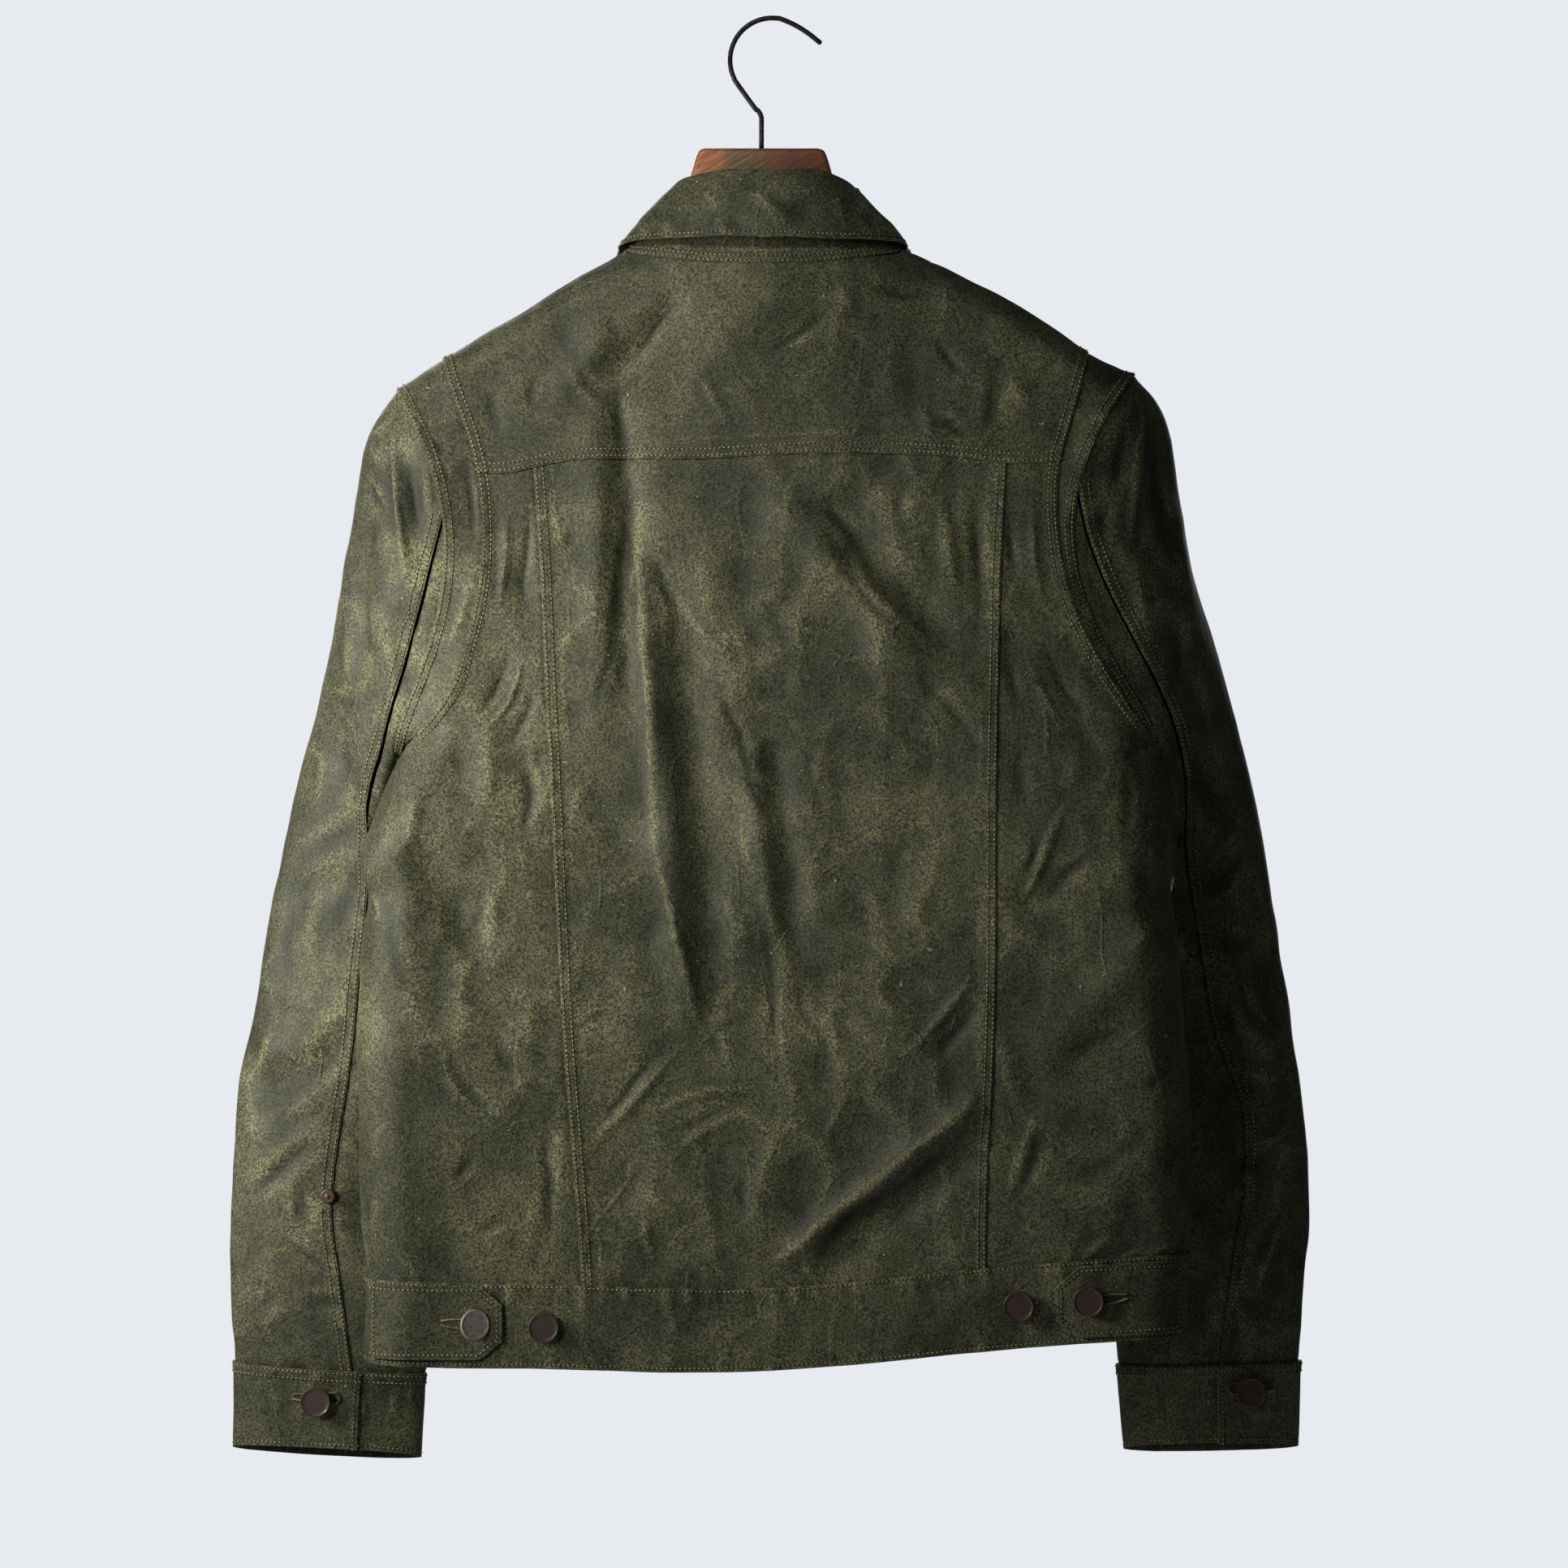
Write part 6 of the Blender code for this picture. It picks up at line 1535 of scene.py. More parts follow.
# ---- sleeves -----------------------------------------------------------------------------------
def evened(turns):
    """Turns for an even count round a section, closer together at its narrow ends."""
    return turns - NARROW_EASE * np.sin(4 * math.pi * turns)


def even_count(turns):
    """The count that evened() turns into these turns."""
    count = turns
    for _ in range(30):
        count = turns + NARROW_EASE * np.sin(4 * math.pi * count)
    return count


def sleeve_grid(side, low, high, girth, spacing):
    """A sleeve piece's grid from the band to the cuff between two seams, functions of section."""
    sections = np.linspace(0, LAST_SECTION, int(SLEEVE_RUNS["down"] / spacing))
    close = np.array([0.012, 0.03])
    sections = np.unique(np.concatenate([sections, close, LAST_SECTION - close]))
    low, high = even_count(low(sections)[:, None]), even_count(high(sections)[:, None])
    turns = evened(lerp(low, high, fine_shares(girth, spacing)))
    near_pit = (0.5 - 0.5 * np.cos(2 * math.pi * turns)) ** 2
    start = 0.35 * SLEEVE_START * near_pit * np.maximum(1 - sections[:, None], 0)
    grid = sleeve(side, sections[:, None] + start, turns)
    tucked = smoothstep(-grid[..., 2], 0.405, 0.438) * smoothstep(grid[..., 2], -0.540, -0.490)
    inner = smoothstep(turns % 1, 0.36, 0.50) * (1 - smoothstep(turns % 1, 0.60, 0.78))
    grid[..., 0] -= side * UNDERARM_TUCK[side] * tucked * inner
    return grid


def band_grid(side, spacing):
    """The band's grid from under the body's edge out to the sleeve."""
    count = int(BAND_RUNS[0] / spacing)
    turns = evened(np.arange(count) / count)
    inner = armhole_loop(side, turns)
    outer = plain_sleeve(side, 0.0, turns - BAND_SKEW * np.sin(2 * math.pi * turns))
    across = outer - inner
    for loop, gap in ((inner, 0.0004), (outer, 0.0)):
        along = np.roll(loop, -1, axis=0) - np.roll(loop, 1, axis=0)
        along /= np.linalg.norm(along, axis=1, keepdims=True)
        square = across - along * np.sum(across * along, axis=1, keepdims=True)
        loop += gap * square / np.linalg.norm(square, axis=1, keepdims=True)
    return lerp(inner, outer, fine_shares(BAND_RUNS[1], spacing)[:, None, None])


class JACKET_OT_sleeves(bpy.types.Operator):
    """Each sleeve: the band at the armhole, the top sleeve and the under sleeve"""
    bl_idname = "jacket.sleeves"
    bl_label = "Sleeves"

    def execute(self, context):
        coarse = cloth_settings().coarse
        for side, word in ((LEFT, "left"), (RIGHT, "right")):
            creases = LEFT_SLEEVE_CREASES if side == LEFT else RIGHT_SLEEVE_CREASES
            seam = SEAM_TURNS[side]
            gap = lambda section: seam_gap_turn(side, section, seam)
            pit = lambda section: UNDERARM_TURN + 0 * section
            pieces = {
                "top": (lambda s: pit(s) - 1 + 0.001, lambda s: seam(s) - gap(s),
                        (Edge("last_column", 1, (1.5, 6.0), 0, 0.3), Edge("first_column"))),
                "under": (lambda s: seam(s) + gap(s), lambda s: pit(s) - 0.001,
                          (Edge("first_column", -1, pucker=0.3), Edge("last_column"))),
            }
            for name, (low, high, edges) in pieces.items():
                grid = sleeve_grid(side, low, high, SLEEVE_RUNS[name], coarse)
                middle = (LAST_SECTION / 2, 0.5 * (low(LAST_SECTION / 2) + high(LAST_SECTION / 2)))
                away = sleeve_normal(side, *[np.array(v) for v in middle])
                ends = (Edge("first_row", -1, pucker=0.2), Edge("last_row", -1, pucker=0.4))
                cloth_piece(f"sleeve_{name}_{word}_cloth", f"sleeve_{name}_{word}", grid, away,
                            (*ends, *edges), seed=61 + side, group=f"sleeve_{word}",
                            back=creases, front=creases, rests_on=[f"sleeve_band_{word}_cloth"])
            edges = (Edge("first_row", -1, pucker=0.25), Edge("last_row", 1, (1.5, 5.5), 0, 0.3))
            cloth_piece(f"sleeve_band_{word}_cloth", f"sleeve_band_{word}",
                        band_grid(side, BAND_SPACING), (0.3 * side, 0, 1), edges, seed=71 + side,
                        group=f"sleeve_{word}", closed=True, back=BAND_CREASES, rumple=0.8,
                        rests_on=["yoke_cloth"])
        return {"FINISHED"}


def cuff_grid(side, spacing):
    """A cuff wraps once round the wrist, and its button end lies on top of the other."""
    top, bottom = LEFT_CUFF if side == LEFT else RIGHT_CUFF
    share, down = np.meshgrid(*(fine_shares(run, spacing) for run in CUFF_RUNS))
    turn = CUFF_EDGE_TURN[side] - share * (1 + CUFF_LAP_TURN)
    size = [lerp(a, b, down) for a, b in zip(top, bottom)]
    point = ring_point(size, side, turn)
    centre = ring_point([*size[:6], 0, 0], side, 0.25)
    away = (point - centre) * np.array([1, 1, 0])
    away /= np.linalg.norm(away, axis=-1, keepdims=True)
    lift = (CLOTH + LAYER * 1.5) * (1 - smoothstep(share, 0.0, 0.55))
    grid = point + away * lift[..., None]
    grid[..., 2] += 0.5 * CUFF_FAR_DROP * np.sin(2 * math.pi * turn) * down
    return grid


class JACKET_OT_cuffs(bpy.types.Operator):
    """The two cuffs"""
    bl_idname = "jacket.cuffs"
    bl_label = "Cuffs"

    def execute(self, context):
        for side, word in ((LEFT, "left"), (RIGHT, "right")):
            edges = (Edge("first_row", 1, (1.5, 6.0), 0, 0.3), Edge("last_row", 0, (2.5,), 0, 0.2),
                     Edge("first_column", 0, (3.0,), 0, 0.05), Edge("last_column"))
            cloth_piece(f"cuff_{word}_cloth", f"cuff_{word}", cuff_grid(side, CUFF_SPACING),
                        (0, 1, 0), edges, seed=81 + side, group=f"sleeve_{word}", rumple=0.7,
                        back=CUFF_CREASES, rests_on=[f"sleeve_top_{word}_cloth"])
        return {"FINISHED"}


# ---- stitching ---------------------------------------------------------------------------------
def tube_faces(rings, sides):
    """Faces of a tube of rings of points, closed at both ends."""
    faces = [(k * sides + i, k * sides + (i + 1) % sides,
              (k + 1) * sides + (i + 1) % sides, (k + 1) * sides + i)
             for k in range(rings - 1) for i in range(sides)]
    return faces + [tuple(range(sides))[::-1], tuple(range((rings - 1) * sides, rings * sides))]


def capsule(name, radius, half_length, sides=4):
    """A plump stitch along Z with few faces."""
    rings = ((-half_length, 0.35), (0, 1.05), (half_length, 0.35))
    points = [(radius * r * math.cos(2 * math.pi * i / sides),
               radius * r * math.sin(2 * math.pi * i / sides), z)
              for z, r in rings for i in range(sides)]
    mesh = plain_mesh(name, points, tube_faces(len(rings), sides))
    mesh.shade_smooth()
    return mesh


def stitch_tree():
    """Sews stitches along a mesh of edges, and between them dark capsules painted as the shade
    of needle holes.
    """
    if "sewn_row" in bpy.data.node_groups:
        return bpy.data.node_groups["sewn_row"]
    tree, given, out = group_tree(
        "sewn_row",
        (("Geometry", "Geometry", None), ("Pitch", "Float", 0.00275), ("Wander", "Float", 0.07),
         ("Seed", "Int", 5), ("Stitch", "Object", None), ("Hole", "Object", None),
         ("Thread", "Material", None), ("Hole Finish", "Material", None),
         ("Across", "Float", 0.0)),
        (("Geometry", "Geometry"),), "GeometryNodeTree")
    t = Tree(tree)
    curve = t.node("GeometryNodeMeshToCurve", Mesh=given["Geometry"]).outputs["Curve"]
    spaced = t.node("GeometryNodeResampleCurve", {"mode": "LENGTH"}, Curve=curve,
                    Length=given["Pitch"]).outputs["Curve"]
    tangent = t.new("GeometryNodeInputTangent").outputs["Tangent"]
    turn = t.node("FunctionNodeAlignRotationToVector", {"axis": "Z"},
                  Vector=tangent).outputs["Rotation"]
    across = t.node("ShaderNodeCombineXYZ", X=given["Across"]).outputs["Vector"]
    jitter = t.node("FunctionNodeRandomValue", {"data_type": "FLOAT_VECTOR"}, Min=(-1, -1, -1),
                    Seed=given["Seed"]).outputs["Value"]
    wander = t.node("ShaderNodeVectorMath", {"operation": "SCALE"}, Vector=jitter,
                    Scale=given["Wander"]).outputs["Vector"]
    for angles in (across, wander):
        more = t.node("FunctionNodeEulerToRotation", Euler=angles).outputs["Rotation"]
        turn = t.node("FunctionNodeRotateRotation", {"rotation_space": "LOCAL"}, Rotation=turn,
                      Rotate_By=more).outputs["Rotation"]
    joined = t.new("GeometryNodeJoinGeometry")
    # Each needle hole is a dark capsule that paints the shade inside it.
    for shape, cover in (("Hole", "Hole Finish"), ("Stitch", "Thread")):
        made = t.node("GeometryNodeObjectInfo", Object=given[shape]).outputs["Geometry"]
        made = t.node("GeometryNodeInstanceOnPoints", Points=spaced, Instance=made,
                      Rotation=turn).outputs["Instances"]
        made = t.node("GeometryNodeRealizeInstances", Geometry=made).outputs["Geometry"]
        made = t.node("GeometryNodeSetMaterial", Geometry=made, Material=given[cover])
        t.link(made.outputs["Geometry"], joined.inputs["Geometry"])
    t.link(joined.outputs["Geometry"], out["Geometry"])
    return tree


def line_object(name, lines):
    """An object of plain edges through the given lines."""
    points, joins = [], []
    for line in lines:
        start = len(points)
        points += [tuple(p) for p in line]
        joins += [(start + i, start + i + 1) for i in range(len(line) - 1)]
    return add_object(name, plain_mesh(name, points, [], joins))


def sew(name, lines, pitch, stitch_length, radius, hole, seed, across=0.0):
    """A stitching piece: stitches, and dark capsules painted as the shade of needle holes, along
    lines, made into a plain mesh.
    """
    lines = [line for line in lines if len(line) > 2]
    if not lines:
        raise RuntimeError(f"{name}: no line to sew along")
    stitch_shape = add_object("stitch", capsule("stitch", radius, stitch_length / 2))
    # The needle hole: a small capsule half a pitch along, painted as the hole's shade.
    hole_mesh = capsule("hole", hole, hole * 1.4)
    hole_mesh.transform(Matrix.Translation((0, 0, pitch / 2)))
    hole_shade_shape = add_object("hole", hole_mesh)
    rows = line_object(name + "_rows", lines)
    nodes = rows.modifiers.new("sewn", "NODES")
    nodes.node_group = stitch_tree()
    given = {"Pitch": pitch, "Wander": 0.07, "Seed": seed, "Stitch": stitch_shape,
             "Hole": hole_shade_shape, "Thread": finish("seam_thread"),
             "Hole Finish": finish("needle_hole"), "Across": across}
    for item in nodes.node_group.interface.items_tree:
        if item.in_out == "INPUT" and item.name in given:
            nodes[item.identifier] = given[item.name]
    graph = bpy.context.evaluated_depsgraph_get()
    mesh = bpy.data.meshes.new_from_object(rows.evaluated_get(graph))
    mesh.name = name
    for spare in (rows, stitch_shape, hole_shade_shape):
        bpy.data.objects.remove(spare, do_unlink=True)
    mesh.shade_smooth()
    piece = add_object(name, mesh)
    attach(piece, "root")


class JACKET_OT_stitching(bpy.types.Operator):
    """The seam stitching of every piece"""
    bl_idname = "jacket.stitching"
    bl_label = "Stitching"

    def execute(self, context):
        sewing = context.scene.jacket_sewing
        if not SEWN_ROWS:
            raise RuntimeError("the cloth pieces are made before their stitching")
        for number, (group, lines) in enumerate(SEWN_ROWS.items()):
            sew(f"stitching_{group}", lines, sewing.pitch, sewing.stitch, sewing.thread,
                sewing.hole, number)
        return {"FINISHED"}


# ---- buttons, buttonholes and rivets -----------------------------------------------------------
def standing(place, normal):
    """Moves a shape from the origin to place, and turns its Z to normal."""
    turned = Vector(normal).to_track_quat("Z", "Y").to_matrix().to_4x4()
    return Matrix.Translation(Vector(place)) @ turned


def lathed(name, profile, steps, place, normal):
    """A turned shape stood on place along normal. Its profile is radius and height."""
    turn = np.linspace(0, 2 * math.pi, steps, endpoint=False)
    points = [(0.0, 0.0, profile[0][1])]
    for radius, height in profile[1:-1]:
        points += [(radius * math.cos(t), radius * math.sin(t), height) for t in turn]
    points.append((0.0, 0.0, profile[-1][1]))
    last = len(points) - 1
    faces = [(0, 1 + i, 1 + (i + 1) % steps) for i in range(steps)]
    for k in range(len(profile) - 3):
        a, b = 1 + k * steps, 1 + (k + 1) * steps
        faces += [(a + i, b + i, b + (i + 1) % steps, a + (i + 1) % steps) for i in range(steps)]
    a = 1 + (len(profile) - 3) * steps
    faces += [(a + (i + 1) % steps, a + i, last) for i in range(steps)]
    mesh = plain_mesh(name, points, faces)
    mesh.transform(standing(place, normal))
    mesh.shade_smooth()
    return mesh


def button_profile():
    """A shank button from the middle of its face out over the rim and down to the shank."""
    r, h = BUTTON_RADIUS, BUTTON_HEIGHT
    face = [(0, h - 0.0005), (0.30, h - 0.0005), (0.60, h - 0.0006), (0.80, h - 0.0006),
            (0.86, h - 0.0004), (0.90, h - 0.0001), (0.94, h), (0.975, h - 0.0004),
            (1.0, h - 0.0011), (0.985, h - 0.0018), (0.93, h - 0.0024), (0.40, h - 0.0027),
            (0.40, 0.0), (0, 0.0)]
    return [(radius * r, height) for radius, height in face]


def dotted_face(mesh, place, normal):
    """Small raised dots in rings on a button's sunk face."""
    points, faces, corners = [], [], np.linspace(0, 2 * math.pi, 6, endpoint=False)
    for share, count, size in DOT_RINGS:
        radius = share * BUTTON_RADIUS
        for i in range(count):
            angle = 2 * math.pi * i / count
            start = len(points)
            for ring_radius, height in ((size, 0.0), (size * 0.6, size * 0.55)):
                points += [(radius * math.cos(angle) + ring_radius * math.cos(t),
                            radius * math.sin(angle) + ring_radius * math.sin(t),
                            BUTTON_HEIGHT - DOT_SUNK + height) for t in corners]
            faces += [(start + k, start + (k + 1) % 6, start + 6 + (k + 1) % 6, start + 6 + k)
                      for k in range(6)]
            faces.append(tuple(range(start + 6, start + 12)))
    dots = plain_mesh("dots", points, faces)
    dots.transform(standing(place, normal))
    joined = bmesh.new()
    joined.from_mesh(mesh)
    joined.from_mesh(dots)
    joined.to_mesh(mesh)
    joined.free()
    bpy.data.meshes.remove(dots)
    mesh.shade_smooth()


def add_button(name, node, place, normal, metal="aged_bronze"):
    mesh = lathed(name, button_profile(), BUTTON_SIDES, place, normal)
    dotted_face(mesh, place, normal)
    piece = add_piece(name, mesh, finish(metal))
    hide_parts(node)


class JACKET_OT_buttons(bpy.types.Operator):
    """The shank buttons on the tabs, the cuffs and the placket"""
    bl_idname = "jacket.buttons"
    bl_label = "Buttons"

    def execute(self, context):
        for word, (x, z) in WAIST_BUTTONS.items():
            layers = 2 if "outer" in word else 1
            lift = SEAM_GAP + (CLOTH + LAYER) * (layers - 1) + 0.0006
            surface, normal = waist_outer(x, z, 0.0)
            metal = "silvered_bronze" if word == "left_outer" else "aged_bronze"
            if word == "left_outer":
                normal = normal + np.array(SILVERED_TILT)
                normal = normal / np.linalg.norm(normal)
            add_button(f"waist_stud_{word}", f"waist_button_{word}", surface + normal * lift,
                       normal, metal)
        for side, word in ((LEFT, "left"), (RIGHT, "right")):
            top, bottom = LEFT_CUFF if side == LEFT else RIGHT_CUFF
            turn, down = CUFF_BUTTON[side]
            size = [lerp(a, b, down) for a, b in zip(top, bottom)]
            surface = ring_point(size, side, turn)
            add_button(f"cuff_stud_{word}", f"cuff_button_{word}",
                       surface - np.array([0, CUFF_STUD_STAND, 0]), (0, -1, 0))
        top = float(neck_z(180)) - FRONT_BUTTON_DROP
        for i in range(FRONT_BUTTON_COUNT):
            z = lerp(top, LAST_FRONT_BUTTON_Z, i / (FRONT_BUTTON_COUNT - 1))
            lift = 2 * (CLOTH + LAYER) if i < FRONT_BUTTON_COUNT - 1 else CLOTH
            surface = torso(FRONT, CENTRE_X + 0.003, z)
            add_button(f"front_stud_{i + 1}", f"front_button_{i + 1}",
                       surface + np.array([0, lift, 0]), (0, 1, 0))
        return {"FINISHED"}


def hole_on(surface, start, end, width):
    """A keyhole buttonhole's middle line, up one side, round the eye at its start and down the
    other. surface gives the point on the cloth at a place x, z."""
    start, end = np.array(start, float), np.array(end, float)
    span = end - start
    whole = np.linalg.norm(span)
    along, aside = span / whole, np.array([-span[1], span[0]]) / whole
    eye = start + along * 0.17 * whole
    sides = ((0.0, 0.6), (0.3, 1.1), (0.62, 1.3))
    flat = [start + along * whole * (1 - t) + aside * width * k for t, k in sides]
    flat += [eye + width * 1.6 * (along * math.cos(t) + aside * math.sin(t))
             for t in np.radians((70, 110, 150, 180, 210, 250, 290))]
    flat += [start + along * whole * (1 - t) - aside * width * k for t, k in sides[::-1]]
    return smooth_line(np.array([surface(*place) for place in flat]), 6)


class JACKET_OT_buttonholes(bpy.types.Operator):
    """The thick keyhole buttonholes on the tabs and the cuffs"""
    bl_idname = "jacket.buttonholes"
    bl_label = "Buttonholes"

    def execute(self, context):
        sewing = context.scene.jacket_sewing
        on_tab = lambda x, z: waist_outer(x, z, TAB_LIFT + 0.00085)[0]
        holes = [(on_tab, place) for place in TAB_HOLES]
        holes += [(cuff_surface(side), CUFF_HOLES[side]) for side in (LEFT, RIGHT)]
        lines = [hole_on(surface, place[:2], place[2:], HOLE_HALF_WIDTH)
                 for surface, place in holes]
        sew("buttonholes", lines, HOLE_PITCH, HOLE_STITCH, sewing.thread * HOLE_THREAD, 0.0001, 77,
            across=math.pi / 2)
        return {"FINISHED"}


def cuff_surface(side):
    """Gives the cuff's point nearest to a place x, z on the side that faces the viewer."""
    grid = cuff_grid(side, CUFF_NEAR_SPACING)
    normals = grid_normals(grid, (0, 1, 0))
    facing = (normals[..., 1] < -0.2) & (np.arange(grid.shape[1])[None, :] < grid.shape[1] * 0.6)
    points, away = grid[facing], normals[facing]

    def at(x, z):
        nearest = np.argmin((points[:, 0] - x) ** 2 + (points[:, 2] - z) ** 2)
        place = np.array([x, points[nearest][1], z])
        return place + away[nearest] * 0.0009

    return at


class JACKET_OT_rivets(bpy.types.Operator):
    """The rivet at the top of each sleeve's vent"""
    bl_idname = "jacket.rivets"
    bl_label = "Rivets"

    def execute(self, context):
        r = RIVET_RADIUS
        profile = [(0, 0.0021), (0.22 * r, 0.0021), (0.30 * r, 0.0016), (0.36 * r, 0.0012),
                   (0.55 * r, 0.0015), (0.78 * r, 0.0016), (0.93 * r, 0.0011), (r, 0.0005),
                   (r, 0), (0, 0)]
        for side, word in ((LEFT, "left"), (RIGHT, "right")):
            section = np.array(RIVET_SECTION[side])
            turn = SEAM_TURNS[side](section) - RIVET_FROM_SEAM
            normal = sleeve_normal(side, section, turn)
            place = sleeve(side, section, turn) + normal * 0.0022
            mesh = lathed(f"rivet_{word}", profile, RIVET_SIDES, place, normal)
            centre = Vector(place)
            nub = [f.index for f in mesh.polygons if (f.center - centre).length < 0.0022
                   and (f.center - centre).dot(Vector(normal)) > 0.0011]
            piece = add_piece(f"rivet_{word}", mesh, finish("aged_bronze"))
            mesh.materials.append(finish("rivet_brass"))
            for index in nub:
                mesh.polygons[index].material_index = 1
            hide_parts(f"sleeve_rivet_{word}")
        return {"FINISHED"}


# ---- hanger ------------------------------------------------------------------------------------
class JACKET_OT_hanger(bpy.types.Operator):
    """The wooden hanger and its steel hook"""
    bl_idname = "jacket.hanger"
    bl_label = "Hanger"

    def execute(self, context):
        right = smooth_line(np.array([(x, 0.0, z) for x, z in HANGER_OUTLINE]), 4)
        outline = [tuple(p) for p in right] + [(-x, y, z) for x, y, z in right[-2::-1]]
        line = bpy.data.curves.new("hanger_outline", "CURVE")
        line.dimensions = "2D"
        line.fill_mode = "BOTH"
        spline = line.splines.new("POLY")
        spline.points.add(len(outline) - 1)
        for point, (x, _, z) in zip(spline.points, outline):
            point.co = (x + HOOK_SHANK_X, z, 0, 1)
        spline.use_cyclic_u = True
        line.extrude = WOOD_HALF_THICKNESS - WOOD_BEVEL
        line.bevel_depth = WOOD_BEVEL
        line.offset = -WOOD_BEVEL
        line.bevel_resolution = 4
        spare = add_object("hanger_outline", line)
        graph = bpy.context.evaluated_depsgraph_get()
        mesh = bpy.data.meshes.new_from_object(spare.evaluated_get(graph))
        bpy.data.objects.remove(spare, do_unlink=True)
        mesh.name = "hanger_bar_wood"
        mesh.transform(Matrix.Translation((0, HANGER_Y, 0))
                       @ Matrix.Rotation(math.pi / 2, 4, "X"))
        face_out(mesh, weld=True)
        bar = add_piece("hanger_bar_wood", mesh, finish("stained_wood"))
        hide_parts("hanger_bar")
        wire = swept("hanger_hook_wire", hook_path(), WIRE_RADIUS, WIRE_SIDES)
        hook = add_piece("hanger_hook_wire", wire, finish("dark_steel"))
        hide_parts("hanger_hook")
        return {"FINISHED"}


def hook_path():
    """The hook's line: a shank, a slanting run out to the left, and an open arc over the crown."""
    cx, cz = HOOK_CENTRE
    ring = HOOK_RADIUS
    path = [(HOOK_SHANK_X, WOOD_TOP + SEAM_GAP), (HOOK_SHANK_X, HOOK_BEND_Z)]
    for t in (0.25, 0.5, 0.75, 1.0):
        path.append((HOOK_SHANK_X - 0.0042 * t * t, HOOK_BEND_Z + 0.0085 * t - 0.0012 * t * t))
    arc = [math.radians(a) for a in np.linspace(212, 78, 22)]
    path += [(cx + ring * math.cos(a), cz + ring * math.sin(a) + WIRE_RADIUS) for a in arc]
    end = path[-1]
    path += [(lerp(end[0], HOOK_TIP[0], t),
              lerp(end[1], HOOK_TIP[1], t) + 0.0016 * math.sin(math.pi * t))
             for t in (0.33, 0.66, 1.0)]
    return smooth_line(np.array([(x, HANGER_Y, z) for x, z in path]), 3)


def swept(name, path, radius, sides):
    """A round wire along a path that lies in the X-Z plane, with rounded ends."""
    tangent = np.gradient(path, axis=0)
    tangent /= np.linalg.norm(tangent, axis=1, keepdims=True)
    aside = np.array([0, 1.0, 0])
    up = np.cross(tangent, aside)
    turn = np.linspace(0, 2 * math.pi, sides, endpoint=False)
    rings = [(path[0] - tangent[0] * 0.0002, 0.75, 0)]
    rings += [(path[i], 1.0, i) for i in range(len(path))]
    rings += [(path[-1] + tangent[-1] * reach, scale, -1)
              for reach, scale in ((0.0005, 0.85), (0.0009, 0.4))]
    points = [tuple(centre + radius * scale * (math.cos(t) * aside + math.sin(t) * up[i]))
              for centre, scale, i in rings for t in turn]
    mesh = plain_mesh(name, points, tube_faces(len(rings), sides))
    mesh.update()
    face_out(mesh)
    return mesh


def face_out(mesh, weld=False):
    """Turns a closed mesh's faces outward, and welds points that coincide if asked to."""
    edited = bmesh.new()
    edited.from_mesh(mesh)
    if weld:
        bmesh.ops.remove_doubles(edited, verts=edited.verts, dist=1e-6)
    bmesh.ops.recalc_face_normals(edited, faces=edited.faces)
    edited.to_mesh(mesh)
    edited.free()
    mesh.shade_smooth()


# ---- finishes ----------------------------------------------------------------------------------
class Tree:
    """Short ways to add and join the nodes of a tree."""

    def __init__(self, tree):
        self.tree, self.new, self.link = tree, tree.nodes.new, tree.links.new

    def put(self, socket, value):
        """Joins a socket to another node's output, or gives it a plain value."""
        if isinstance(value, bpy.types.NodeSocket):
            self.link(value, socket)
        else:
            socket.default_value = value

    def fill(self, node, **inputs):
        for label, value in inputs.items():
            self.put(node.inputs[label.replace("_", " ")], value)

    def node(self, kind, options=(), **inputs):
        made = self.new(kind)
        for label, value in dict(options).items():
            setattr(made, label, value)
        self.fill(made, **inputs)
        return made

    def noise(self, vector, scale, detail=2.0, roughness=0.5, distortion=0.0):
        return self.node("ShaderNodeTexNoise", Vector=vector, Scale=scale, Detail=detail,
                         Roughness=roughness, Distortion=distortion).outputs["Fac"]

    def mapped(self, vector, **inputs):
        return self.node("ShaderNodeMapping", Vector=vector, **inputs).outputs["Vector"]

    def math(self, operation, a, b=0.0, clamp=False):
        made = self.node("ShaderNodeMath", {"operation": operation, "use_clamp": clamp})
        self.put(made.inputs[0], a)
        self.put(made.inputs[1], b)
        return made.outputs[0]

    def spread(self, value, low, high, to_low=0.0, to_high=1.0):
        made = self.node("ShaderNodeMapRange", {"interpolation_type": "SMOOTHSTEP"}, Value=value,
                         From_Min=low, From_Max=high, To_Min=to_low, To_Max=to_high)
        return made.outputs["Result"]

    def mix(self, fac, a, b, blend="MIX"):
        made = self.node("ShaderNodeMix", {"data_type": "RGBA", "blend_type": blend})
        for index, value in ((0, fac), (6, a), (7, b)):
            self.put(made.inputs[index], value)
        return made.outputs[2]

    def group(self, tree, **inputs):
        return self.node("ShaderNodeGroup", {"node_tree": tree}, **inputs).outputs

    def bump(self, shader, height, strength, distance):
        made = self.node("ShaderNodeBump", Height=height, Strength=strength, Distance=distance)
        self.fill(shader, Normal=made.outputs["Normal"])


def rgba(value):
    """A colour as the sockets want it, opaque."""
    return (*value, 1.0)


def group_tree(name, inputs, outputs, kind="ShaderNodeTree"):
    """A node group with named inputs and outputs."""
    tree = bpy.data.node_groups.new(name, kind)
    for label, sort, value in inputs:
        socket = tree.interface.new_socket(label, in_out="INPUT", socket_type=f"NodeSocket{sort}")
        if value is not None:
            socket.default_value = value
    for label, sort in outputs:
        tree.interface.new_socket(label, in_out="OUTPUT", socket_type=f"NodeSocket{sort}")
    return tree, tree.nodes.new("NodeGroupInput").outputs, tree.nodes.new("NodeGroupOutput").inputs


